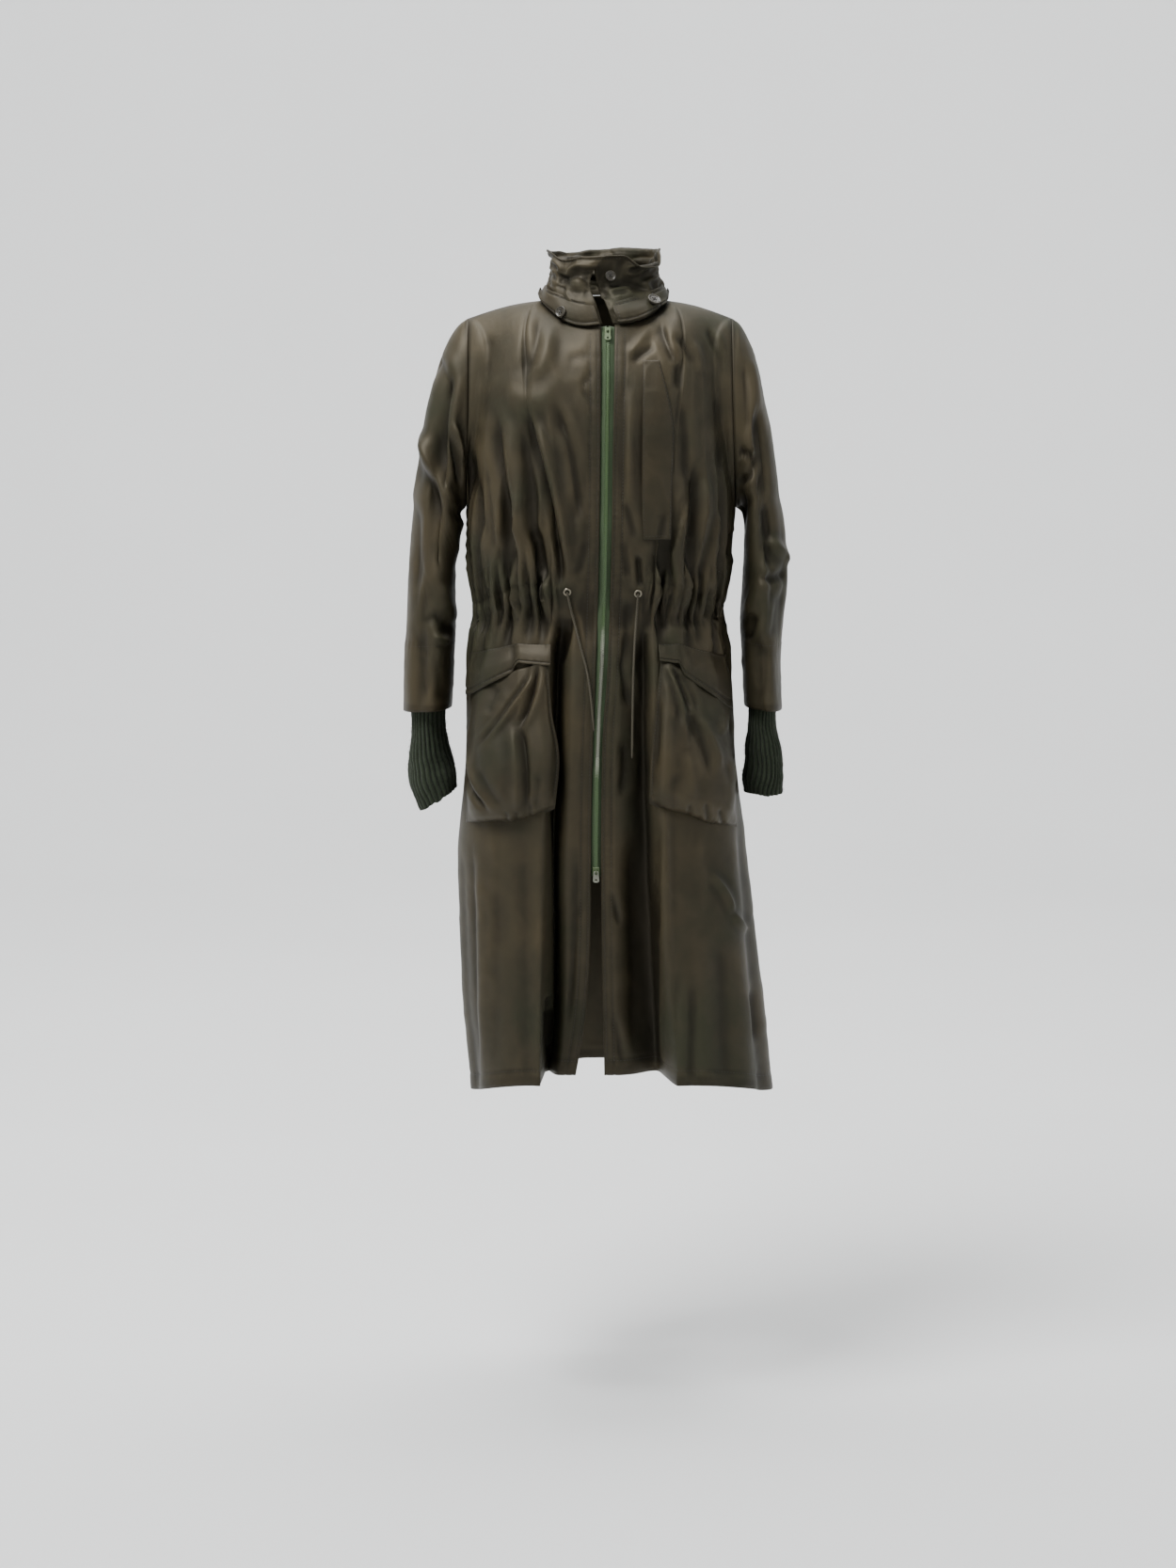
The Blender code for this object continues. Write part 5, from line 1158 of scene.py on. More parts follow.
def back_points():
    halves = []
    for side in (RIGHT, LEFT):
        angle, share = np.meshgrid(np.linspace(90, 180, 62), fine_shares())
        base = smooth_body(side, angle, share)
        drop = -base[..., 2]
        points = body(side, angle, share)
        ways = grid_normals(points, body_normals(side, angle, share, folds=False))
        across = arcs(points, 1)
        round_way = side * (180 - angle) * 0.0029
        rows = {key: value.copy() for key, value in BACK_CREASES.items()}
        for key in ("angle0", "angle1", "half"):
            rows[key] = rows[key] * 3.0
        lift = -creased(rows, angle * 0.003, drop + (0.012 if side == LEFT else 0.0))
        lift = lift + rumpled(round_way + 0.4, drop, 30) + ruffles(side, angle, drop)
        hem_up = hem_drop(angle) - drop
        lift = lift + seam_line(hem_up - HEM_DEPTH, across, 35) * step(0.9, 0.95, share)
        lift = lift * step(0.0, 0.06, share) - SEAM_DIP * bell(arcs(points, 0), 0.002)
        lift = lift * step(-0.002, 0.01, across) - SEAM_DIP * bell(across, 0.0022)
        halves.append((points + lift[..., None] * ways, ways))
    (right, right_ways), (left, left_ways) = halves
    points = np.concatenate([right[:, :-1], left[:, ::-1]], axis=1)
    ways = np.concatenate([right_ways[:, :-1], left_ways[:, ::-1]], axis=1)
    middle = right.shape[1] - 1
    points[:, middle] = (right[:, -1] + left[:, -1]) / 2
    blended = points.copy()
    for _ in range(3):
        around = slice(middle - 4, middle + 5)
        near, far = slice(middle - 5, middle + 4), slice(middle - 3, middle + 6)
        blended[:, around] = (blended[:, near] + blended[:, far]) / 2
    return blended, ways


def sleeve_points(side):
    turn, along = np.meshgrid(np.linspace(0, 2, 107)[:-1], np.linspace(0, 1, 130))
    points = sleeve(side, turn, along)
    ways = grid_normals(points, sleeve_normals(side, turn, along))
    x, drop = points[..., 0], -points[..., 2]
    front = step(-0.04, 0.08, np.sin(np.pi * turn))
    lift = (-1.15 if side == LEFT else -1.5) * creased(SLEEVE_CREASES[side], x, drop) * front
    plain = {"a0": np.array([520.0, 430.0, 500.0]), "b0": np.array([90.0, 180.0, 320.0]),
        "a1": np.array([460.0, 500.0, 440.0]), "b1": np.array([300.0, 420.0, 480.0]),
        "half": np.array([14.0, 12.0, 12.0]), "depth": np.array([5.0, 4.0, 4.0]),
        "bow": np.array([10.0, -8.0, 6.0]), "lean": np.array([0.2, 0.2, 0.1])}
    round_way, down = turn * 0.34, along * 0.53
    lift = lift - creased(plain, round_way, down) * (1 - front)
    seed = 60 if side == LEFT else 70
    wrap = np.minimum(turn, 2 - turn) * 0.17
    lift = lift + 1.2 * rumpled(wrap + 0.1 * (turn > 1), down, seed) * step(0, 0.05, along)
    hem = (1 - along) * 0.53
    lift = lift + 1.5 * seam_line(hem - SLEEVE_HEM, round_way,
        seed + 3) + 0.0006 * (1 - step(SLEEVE_HEM - 0.002, SLEEVE_HEM + 0.002, hem))
    lift = lift + 0.0009 * puckers(round_way, seed + 8) * bell(hem - SLEEVE_HEM, 0.01)
    lift = lift * step(0, 0.03, along) - SEAM_DIP * bell(down, 0.003)
    return points + lift[..., None] * ways, ways


SLEEVE_HEM = 0.088  # the deep hem above the knit cuff


COLLAR_STITCHES = 0.005  # from the collar's top edge


def collar_points():
    """The stand collar: crumpled in rings, its top edge wavy, its left corner folded over outwards."""
    turn, up = np.meshgrid(np.linspace(0, 360, 241), np.linspace(0, 1, 44))
    points = collar(turn, up)
    ways = grid_normals(points, collar_normals(turn, up))
    near = np.where(turn <= 180, turn, 360 - turn)
    seed = 80
    round_way = turn * 0.0013
    rise = up * 0.095
    fold_way = 1.5 * up + near / 150 + 0.45 * cloudy(round_way, rise, 0.04, seed + 9)
    rings = np.abs(np.sin(np.pi * fold_way)) ** 0.7 - 0.6
    lift = 0.0055 * rings * step(0.12, 0.4, up) * (1 - 0.7 * step(0.8, 1, up))
    lift = lift + 0.0032 * (1 - 2 * np.abs(cloudy(round_way, rise * 2.0, 0.03, seed))) * step(0.1, 0.4, up)
    lift = lift + 0.001 * (1 - 2 * np.abs(cloudy(round_way + 0.01 * up, rise * 1.5, 0.014, seed + 1)))
    lift = lift + seam_line((1 - up) * 0.095 - 0.004, round_way, seed + 2) * 1.4
    lift = lift * step(0.0, 0.1, up)
    points = points + lift[..., None] * ways
    wave = 0.0035 * cloudy(round_way, 0 * rise, 0.034, seed + 4) * step(0.6, 1.0, up)
    points[..., 2] += wave
    fold_corner = np.exp(-(((turn - 306) / 19) ** 4)) * step(0.66, 1.0, up)
    fall = np.array([0, 0, 0.017]) * step(0.8, 1, up)[..., None]
    points = points + fold_corner[..., None] * (0.009 * ways - fall)
    curl = bell(turn - 62, 26) * step(0.7, 1.0, up)
    fall = np.array([0, 0, 0.006]) * step(0.85, 1, up)[..., None]
    points = points + curl[..., None] * (-0.004 * ways - fall)
    return points, ways


def pocket_sheet(side):
    """One bellows pocket: its points come from a coarse grid, drawn through smoothly, then creased."""
    rough_across, rough_down = np.linspace(0, 1, 25), np.linspace(0, 1, 25)
    across, down = np.meshgrid(rough_across, rough_down)
    rough, rough_ways = pocket(side, across, down)
    points, hints = refined(rough, 92, 104), refined(rough_ways, 92, 104)
    u, v = np.meshgrid(np.linspace(0, 1, 92), np.linspace(0, 1, 104))
    ways = grid_normals(points, hints)
    x, drop = points[..., 0], -points[..., 2]
    edge = step(0.0, 0.07, u) * (1 - step(0.95, 1.0, u)) * (1 - step(0.97, 1.0, v))
    puff = 0.006 * np.sin(np.pi * u) ** 0.7 * np.sin(np.pi * np.clip(v * 1.02, 0, 1)) ** 0.6
    roll = 0.004 * bell(v - 0.94, 0.05) * np.sin(np.pi * u) ** 0.5
    seed = 90 if side == LEFT else 95
    lift = (-creased(POCKET_CREASES[side], x, drop) + rumpled(x, drop, seed) + puff + roll) * edge
    bottom = (1 - v) * 0.2
    lift = lift - 0.0042 * (1 - step(0.02, 0.26, v)) * step(0.1, 0.3, u) * (1 - step(0.75, 0.95, u))
    lift = lift + 0.0012 * puckers(u * 0.12 * side, seed + 2) * bell(bottom, 0.012) * edge
    points = points + lift[..., None] * ways
    sag = 0.004 * cloudy(u * 0.12, 0 * u, 0.03, seed + 4) * step(0.9, 1, v)
    points[..., 2] += sag
    points[..., 1] += 0.006 * step(0.955, 1.0, v)
    return points, ways


def refined(grid, columns, rows):
    """A denser grid through a coarse one, by smooth curves down and across."""
    height, width = grid.shape[:2]

    def along(values, count):
        keys = {"at": np.arange(len(values), dtype=float), "value": values}
        return through_many(keys, np.linspace(0, len(values) - 1, count))

    tall = along(grid.reshape(height, -1), rows).reshape(rows, width, -1)
    wide = along(tall.transpose(1, 0, 2).reshape(width, -1), columns)
    return wide.reshape(columns, rows, -1).transpose(1, 0, 2)


def through_many(keys, at):
    x, y = keys["at"], keys["value"]
    slope = np.gradient(y, x, axis=0)
    i = np.clip(at.astype(int), 0, len(x) - 2)
    t = (at - i)[:, None]
    return (
        y[i] * (1 + 2 * t) * (1 - t) ** 2
        + slope[i] * t * (1 - t) ** 2
        + y[i + 1] * t * t * (3 - 2 * t)
        - slope[i + 1] * t * t * (1 - t)
    )


def flap_sheet(side):
    """A pocket flap, its front part stepping forwards over the pleat beside it."""
    across, down = np.meshgrid(np.linspace(-0.03, 1.03, 27), np.linspace(0, 1, 9))
    rows = FLAP[side]
    at = np.clip(across, 0, 1)
    top, bottom = np.interp(at, rows["across"], rows["top"]), np.interp(at, rows["across"], rows["bottom"])
    inner, outer = POCKET[side]["inner_x"][0], POCKET[side]["outer_x"][0]
    angle, share = place(side, inner + (outer - inner) * across, top + (bottom - top) * down)
    lift = 0.0006 + (0.0032 + 0.002 * across) * step(0, 0.6, down)
    low_end = {RIGHT: 0.46, LEFT: 0.3}[side]
    lift = lift * (0.45 + 0.55 * step(low_end - 0.08, low_end + 0.04, across))
    lift = lift + 0.003 * step(0, 1, down) + 0.0012 * np.sin(11 * across) * down
    rough, rough_ways = over(side, angle, share, lift)
    points, hints = refined(rough, 96, 40), refined(rough_ways, 96, 40)
    u, v = np.meshgrid(np.linspace(0, 1, 96), np.linspace(0, 1, 40))
    ways = grid_normals(points, hints)
    seed = 110 if side == LEFT else 115
    x, drop = points[..., 0], -points[..., 2]
    middle, half, depth = (FLAP_PLEAT[side][key][0] for key in ("across", "half", "depth"))
    lift = 1.3 * rumpled(x, drop, seed) + depth * -bell(u - middle, half) * step(-0.2, 0.5, v)
    lift = lift + seam_line((1 - v) * 0.035 - 0.005, x, seed + 1)
    lift = lift + 0.0012 * cloudy(x, 0 * x, 0.02, seed + 2) * v
    lift = lift * step(0, 0.1, v)
    return points + lift[..., None] * ways, ways


FLAP_PLEAT = both("across half depth", "0.46 0.05 0.0022", "0.31 0.05 0.002")


def chest_pocket_sheet():
    across, down = np.meshgrid(np.linspace(0, 1, 9), np.linspace(0, 1, 25))
    inner = through(CHEST_POCKET, "inner_x", down, "down")
    outer = through(CHEST_POCKET, "outer_x", down, "down")
    drop = CHEST_POCKET_TOP + (CHEST_POCKET_BOTTOM - CHEST_POCKET_TOP) * down
    angle, share = place(LEFT, inner + (outer - inner) * across, drop)
    rough, rough_ways = over(LEFT, angle, share, CLOTH + 0.0012)
    points, hints = refined(rough, 30, 110), refined(rough_ways, 30, 110)
    ways = grid_normals(points, hints)
    x, down = points[..., 0], -points[..., 2]
    u = np.linspace(0, 1, 30)[None, :]
    edge = 1 - np.abs(2 * u - 1) ** 6
    lift = (-0.7 * creased(FRONT_CREASES[LEFT], x, down) + 1.6 * rumpled(x, down, 120)) * (0.4 + 0.6 * edge)
    lift = lift + 0.001 * edge - 0.0006
    return points + lift[..., None] * ways, ways


def tab_sheet(side):
    """A collar tab, bowed over the collar's base; its lower edge hangs free and waves a little."""
    rows = TAB[side]
    near, down = np.meshgrid(np.linspace(rows["turn"][0], rows["turn"][-1], 80), np.linspace(0, 1, 30))
    turn = near if side == RIGHT else 360 - near
    top, low, out = (through(rows, key, near, "turn") for key in ("top", "low", "out"))
    points = collar(turn, top * (1 - down))
    hints = collar_normals(turn, np.full_like(turn, 0.2))
    fall = stacked(0, 0, 1) * (low * step(0.4, 1, down))[..., None]
    points = points + hints * (0.0028 + out * step(0, 1, down))[..., None] - fall
    ways = grid_normals(points, hints)
    seed = 130 if side == LEFT else 135
    round_way = near * 0.0013
    edge_down, edge_up = (1 - down) * 0.03, down * 0.03
    lift = 0.001 * cloudy(round_way, edge_up, 0.018, seed)
    lift = lift + seam_line(edge_down - 0.004, round_way, seed + 1)
    lift = lift + seam_line(edge_up - 0.004, round_way, seed + 2)
    lift = lift + 0.0011 * cloudy(round_way, 0 * edge_up, 0.012, seed + 3) * step(0.6, 1, down)
    return points + lift[..., None] * ways, ways


# --- Knit ---
def knit_points(side):
    """The cuff's outer face: chunky uneven ribs, each with its own wander, loops down the crests."""
    turn, row = np.meshgrid(np.linspace(0, 2, 273)[:-1], np.linspace(0, 1, 90))
    base = knit(side, turn, row)
    hints = normals(lambda a, s: knit(side, a, s), turn, row, -side, small=(0.01, 0.006))
    seed = 150 if side == LEFT else 160
    wander = 0.045 * cloudy(np.sin(np.pi * turn) * 0.05, row * 0.12, 0.03, seed)
    around = np.pi * KNIT_RIBS * (turn + wander)
    rib = np.abs(np.cos(around / 2)) ** 0.7
    loops = 0.5 + 0.5 * np.cos(2 * np.pi * row * 0.135 / KNIT_LOOP + 3.1 * np.floor(around / np.pi / 2 + 0.5))
    sag = 0.0016 * cloudy(turn * 0.1, row * 0.13, 0.022, seed + 1) * step(0.2, 0.5, row)
    rise = KNIT_RELIEF * (rib - 0.6) + 0.00035 * loops * rib + sag
    rise = rise + 0.00035 * cloudy(turn * 0.11, row * 0.13, 0.0035, seed + 2)
    end = step(0, 0.08, row)
    points = base + (rise * end)[..., None] * hints
    edge = step(0.93, 1, row)
    points[..., 2] += edge * 0.0015 * cloudy(np.cos(np.pi * turn) * 0.05, 0 * row, 0.012, seed + 3)
    return points, hints, rib


KNIT_LOOP, KNIT_RELIEF = 0.0036, 0.003  # height of one knitted loop, and of a rib


def fuzz(name, points, ways, count, seed, material):
    """Loose wool fibres standing off the knit: thin crossed strips with a bend in the middle."""
    rng = np.random.default_rng(seed)
    rows = rng.uniform(0.28, 0.995, count) * (points.shape[0] - 2)
    columns = rng.uniform(0, 1, count) * (points.shape[1] - 2)
    root, up = sampled(points, rows, columns), unit(sampled(ways, rows, columns))
    lean = rng.normal(0, 1, (count, 3))
    way = unit(up * 0.75 + lean * 0.55)
    side = unit(np.cross(way, rng.normal(0, 1, (count, 3))))
    long = rng.uniform(0.0014, 0.0042, count)[:, None]
    wide = rng.uniform(0.0001, 0.0002, count)[:, None]
    bend = unit(way + rng.normal(0, 0.5, (count, 3)))
    middle, end = root + way * long * 0.5, root + way * long * 0.5 + bend * long * 0.5
    third = unit(np.cross(way, side))
    corners = []
    for centre, size in ((root - up * 0.0004, 1.0), (middle, 0.8), (end, 0.2)):
        for spin in (0, 120, 240):
            turn = math.radians(spin)
            corners.append(centre + wide * size * (side * math.cos(turn) + third * math.sin(turn)))
    corners = np.stack(corners, axis=1).reshape(-1, 3)
    base = (np.arange(count) * 9)[:, None]
    sides = [base + np.array([[r + k, r + (k + 1) % 3, r + 3 + (k + 1) % 3, r + 3 + k]]) for r in (0,
        3) for k in range(3)]
    caps = [base + np.array([[2, 1, 0]]), base + np.array([[6, 7, 8]])]
    obj = new_piece(name, corners, [np.concatenate(sides), np.concatenate(caps)])
    faces_out(obj)
    return dress(obj, None, material)


def faces_out(obj):
    work = bmesh.new()
    work.from_mesh(obj.data)
    bmesh.ops.recalc_face_normals(work, faces=work.faces)
    work.to_mesh(obj.data)
    work.free()


# --- Hard pieces, modelled with Blender's own tools and then set in their place ---
def alone(obj):
    for other in bpy.context.selected_objects:
        other.select_set(False)
    obj.select_set(True)
    bpy.context.view_layer.objects.active = obj


def finish_modifiers(obj):
    alone(obj)
    for modifier in list(obj.modifiers):
        bpy.ops.object.modifier_apply(modifier=modifier.name)


def set_in_place(obj, centre, out, up):
    """Moves a piece modelled at the origin, facing +Z with its top at +Y, to its place on the coat."""
    out = unit(np.asarray(out, float))
    right = unit(np.cross(up, out))
    top = np.cross(out, right)
    turn = Matrix([list(row) + [0.0] for row in np.stack([right, top, out], axis=1)] + [[0.0, 0.0, 0.0, 1.0]])
    obj.data.transform(Matrix.Translation(Vector(centre)) @ turn)
    obj.data.update()
    return obj


def joined(name, objects):
    alone(objects[0])
    for obj in objects[1:]:
        obj.select_set(True)
    bpy.ops.object.join()
    whole = bpy.context.view_layer.objects.active
    whole.name = name
    whole.select_set(False)
    return whole


def picked(obj, test):
    """Selects, in edit mode, just the faces whose centre and normal pass a test."""
    bpy.ops.object.mode_set(mode="EDIT")
    bpy.ops.mesh.select_mode(type="FACE")
    bpy.ops.mesh.select_all(action="DESELECT")
    work = bmesh.from_edit_mesh(obj.data)
    for face in work.faces:
        face.select_set(test(face.calc_center_median(), face.normal))
    bmesh.update_edit_mesh(obj.data)


def modelled_button(name, wide, thick):
    """A turned resin button: a rounded rim, a dished middle and four sewing holes."""
    bpy.ops.mesh.primitive_cylinder_add(vertices=48, radius=wide / 2, depth=thick, location=(0, 0, 0))
    obj = bpy.context.object
    obj.name = name
    picked(obj, lambda centre, normal: normal.z > 0.9)
    bpy.ops.mesh.inset(thickness=wide * 0.1, depth=0)
    bpy.ops.mesh.inset(thickness=wide * 0.05, depth=-thick * 0.28)
    bpy.ops.mesh.inset(thickness=wide * 0.1, depth=0)
    bpy.ops.object.mode_set(mode="OBJECT")
    holes = []
    for x, y in ((1, 1), (1, -1), (-1, 1), (-1, -1)):
        bpy.ops.mesh.primitive_cylinder_add(vertices=16, radius=wide * 0.052, depth=thick * 3,
            location=(x * wide * 0.095, y * wide * 0.095, 0))
        holes.append(bpy.context.object)
    drill = joined(name + "_drill", holes)
    cut = obj.modifiers.new("holes", "BOOLEAN")
    cut.operation, cut.solver, cut.object = "DIFFERENCE", "EXACT", drill
    finish_modifiers(obj)
    bpy.data.objects.remove(drill)
    soft = obj.modifiers.new("rim", "BEVEL")
    soft.width, soft.segments = thick * 0.16, 3
    soft.limit_method, soft.angle_limit = "ANGLE", math.radians(35)
    finish_modifiers(obj)
    alone(obj)
    bpy.ops.object.shade_smooth_by_angle(angle=math.radians(40))
    obj.select_set(False)
    return obj


def modelled_thread(name, wide, thick):
    """The crossed thread through a button's four holes."""
    bars = []
    for spin in (45, 135):
        for offset in (-1, 0, 1):
            bpy.ops.mesh.primitive_cylinder_add(vertices=8, radius=0.00022, depth=wide * 0.27,
                location=(offset * 0.00042 * math.sin(math.radians(spin)),
                offset * 0.00042 * -math.cos(math.radians(spin)), thick * 0.3),
                rotation=(math.radians(90), 0, math.radians(spin + 90)))
            bars.append(bpy.context.object)
    for bar in bars:
        alone(bar)
        bpy.ops.object.transform_apply(location=True, rotation=True, scale=True)
    whole = joined(name, bars)
    alone(whole)
    bpy.ops.object.mode_set(mode="EDIT")
    bpy.ops.mesh.select_all(action="SELECT")
    bpy.ops.mesh.subdivide(number_cuts=1)
    bpy.ops.object.mode_set(mode="OBJECT")
    bpy.ops.object.shade_smooth()
    whole.select_set(False)
    return whole


def modelled_eyelet(name):
    """A pressed metal eyelet: a domed ring round its hole."""
    radius, wall = (EYELET_OUTER + EYELET_HOLE) / 2, (EYELET_OUTER - EYELET_HOLE) / 2
    bpy.ops.mesh.primitive_torus_add(major_radius=radius, minor_radius=wall, major_segments=48,
        minor_segments=14, location=(0, 0, 0))
    obj = bpy.context.object
    obj.name = name
    bpy.ops.object.mode_set(mode="EDIT")
    bpy.ops.mesh.select_all(action="SELECT")
    bpy.ops.transform.resize(value=(1, 1, EYELET_THICK * 1.15 / (2 * wall)))
    bpy.ops.object.mode_set(mode="OBJECT")
    bpy.ops.object.shade_smooth()
    obj.select_set(False)
    return obj


EYELET_OUTER, EYELET_HOLE, EYELET_THICK = 0.0052, 0.0028, 0.0014


def modelled_tooth(name, long, wide, high):
    """One moulded zip tooth: a short bar with a knob at its inner end."""
    bpy.ops.mesh.primitive_cube_add(size=1, location=(0, 0, 0))
    obj = bpy.context.object
    obj.name = name
    alone(obj)
    obj.scale = (long, wide, high)
    bpy.ops.object.transform_apply(location=False, rotation=False, scale=True)
    picked(obj, lambda centre, normal: normal.x < -0.9)
    bpy.ops.transform.resize(value=(1, 1.25, 0.9))
    bpy.ops.mesh.select_all(action="DESELECT")
    bpy.ops.object.mode_set(mode="OBJECT")
    soft = obj.modifiers.new("edges", "BEVEL")
    soft.width, soft.segments = wide * 0.22, 1
    finish_modifiers(obj)
    obj.select_set(False)
    return obj


def eyelet_place(side):
    x, drop = CORD_ROUTE[side]["x"][0], CORD_ROUTE[side]["drop"][0] + 0.001
    angle, share = place(side, np.array([x]), np.array([drop]))
    points, ways = over(side, angle, share, CLOTH / 2 + 0.0003)
    return points[0], ways[0]


def cord_line(side, count=15):
    rows = CORD_ROUTE[side]
    at = np.linspace(0, 1, count)
    x, drop, lift = (through(rows, key, at, "along") for key in ("x", "drop", "lift"))
    angle, share = place(side, x, drop)
    return over(side, angle, share, CLOTH / 2 + lift - 0.0008)[0]


def round_cord(name, line, wide):
    """A round woven cord along a line, with a slightly flattened, bound end."""
    dense = refined(np.stack([line, line], axis=1), 2, 110)[:, 0]
    run = unit(np.gradient(dense, axis=0))
    across = unit(np.cross(run, np.array([0.0, -1.0, 0.05])))
    out = np.cross(run, across)
    spins = np.linspace(0, 2 * np.pi, 17)[:-1]
    lengths = arcs(dense, 0)
    radius = wide / 2 * (1 + 0.05 * np.sin(lengths / 0.0021 * np.pi))
    tip = lengths[-1] - lengths
    radius = radius * np.where(tip < 0.012, 0.8, 1.0) * (1 - 0.55 * np.exp(-tip / 0.0008))
    radius = radius * (1 - 0.5 * np.exp(-lengths / 0.0006))
    points = (dense[:, None] + radius[:, None, None] * np.cos(spins)[None, :, None] * across[:,
        None] + radius[:, None, None] * np.sin(spins)[None, :, None] * out[:, None])
    height, width = points.shape[:2]
    number = np.arange(height * width).reshape(height, width)
    number = np.hstack([number, number[:, :1]])
    sides = np.stack([number[:-1, :-1], number[:-1, 1:], number[1:, 1:], number[1:, :-1]], axis=-1)
    corners = np.concatenate([points.reshape(-1, 3), dense[:1], dense[-1:]])
    first, last = height * width, height * width + 1
    caps = np.concatenate([np.stack([number[0, 1:], number[0, :-1], np.full(width, first)], axis=-1),
        np.stack([number[-1, :-1], number[-1, 1:], np.full(width, last)], axis=-1)])
    u = np.broadcast_to(spins * wide / 2, (height, width)).ravel()
    v = np.repeat(lengths, width)
    uvs = np.concatenate([np.stack([u, v], axis=-1), [[0, 0], [0, lengths[-1]]]])
    obj = new_piece(name, corners, [sides.reshape(-1, 4), caps], uvs)
    faces_out(obj)
    return obj


# --- Materials ---
def srgb(code):
    """A hex colour as the linear numbers that shaders use."""
    parts = [int(code[i : i + 2], 16) / 255 for i in (1, 3, 5)]
    return tuple(c / 12.92 if c <= 0.04045 else ((c + 0.055) / 1.055) ** 2.4 for c in parts)


def add(tree, kind, inputs=None, **settings):
    """Adds a node with its inputs and settings."""
    node = tree.nodes.new("ShaderNode" + kind)
    for name, value in settings.items():
        if name == "stops":
            ramp = node.color_ramp.elements
            while len(ramp) < len(value):
                ramp.new(0.5)
            for element, (position, colour) in zip(ramp, value):
                element.position, element.color = position, (*colour, 1.0)
        else:
            setattr(node, name, value)
    fit(tree, node, inputs or {})
    return node


def fit(tree, node, inputs):
    """Sets a node's inputs; each is a plain value, or a (node, output) pair to link."""
    for name, value in inputs.items():
        if isinstance(value, tuple) and len(value) == 2 and isinstance(value[0], bpy.types.Node):
            tree.links.new(value[0].outputs[value[1]], node.inputs[name])
        else:
            node.inputs[name].default_value = value


def blank(name):
    """A new material, its node tree, its shader and the places that its patterns read."""
    made = bpy.data.materials.new(name)
    made.use_nodes = True
    tree = made.node_tree
    return made, tree, tree.nodes["Principled BSDF"], add(tree, "TexCoord")


WAVE = 6.2832  # a wave texture's scale over the waves in a metre


def coated_cotton_nylon(settings):
    """Cotton-nylon cloth, plain woven and resin coated: a soft satin with a papery crackle, brown in
    some places and greener in others."""
    made, tree, shader, place_on = blank("coated_cotton_nylon")
    patches = add(tree, "TexNoise", {"Vector": (place_on, "Object"), "Scale": 9.0, "Detail": 4.0,
        "Roughness": 0.55})
    colour = add(tree, "ValToRGB", {"Fac": (patches, "Fac")}, stops=[(0.36, tuple(settings.cloth_brown)),
        (0.52, tuple(settings.cloth_mid)), (0.68, tuple(settings.cloth_green))])
    # Threads of 0.35 mm are finer than a pixel here, so the weave is drawn at 0.9 mm to show at all.
    warp = add(tree, "TexWave", {"Vector": (place_on, "UV"), "Scale": 1 / 0.0009 / WAVE,
        "Distortion": 0.6, "Detail": 1.0}, wave_type="BANDS", bands_direction="X")
    weft = add(tree, "TexWave", {"Vector": (place_on, "UV"), "Scale": 1 / 0.0009 / WAVE,
        "Distortion": 0.6, "Detail": 1.0}, wave_type="BANDS", bands_direction="Y")
    weave = add(tree, "Math", {0: (warp, "Fac"), 1: (weft, "Fac")}, operation="MULTIPLY")
    # The crackle of the coating, in facets some 12 mm and 4 mm across.
    wander = add(tree, "TexNoise", {"Vector": (place_on, "UV"), "Scale": 60.0, "Detail": 2.0})
    spot = add(tree, "Mix", {"Factor": 0.018, 4: (place_on, "UV"), 5: (wander, "Color")},
        data_type="VECTOR")
    facets = add(tree, "TexVoronoi", {"Vector": (spot, 1), "Scale": 85.0, "Smoothness": 0.35,
        "Detail": 1.5, "Roughness": 0.5}, feature="SMOOTH_F1")
    low = add(tree, "Bump", {"Height": (facets, "Distance"), "Strength": 0.07, "Distance": 0.0015})
    fine = add(tree, "Bump", {"Height": (weave, "Value"), "Strength": 0.1, "Distance": 0.00025,
        "Normal": (low, "Normal")})
    shine = add(tree, "MapRange", {"Value": (patches, "Fac"), "From Min": 0.3, "From Max": 0.7,
        "To Min": 0.5, "To Max": 0.62})
    # Painted highlight and painted shade: the folds' crests are painted paler and their hollows darker, by
    # each point's crest value.
    crest = add(tree, "Attribute", attribute_name="crest")
    painted_fold_shade = add(tree, "MapRange", {"Value": (crest, "Fac"), "From Min": 0.05, "From Max": 0.95,
        "To Min": 0.38, "To Max": 1.62})
    shaded = add(tree, "VectorMath", {0: (colour, "Color"), "Scale": (painted_fold_shade, "Result")}, operation="SCALE")
    fit(tree, shader, {"Base Color": (shaded, "Vector"), "Roughness": (shine, "Result"),
        "Normal": (fine, "Normal"), "Specular IOR Level": 0.4, "Specular Tint": (*srgb("#CFC6B4"), 1.0)})
    return made


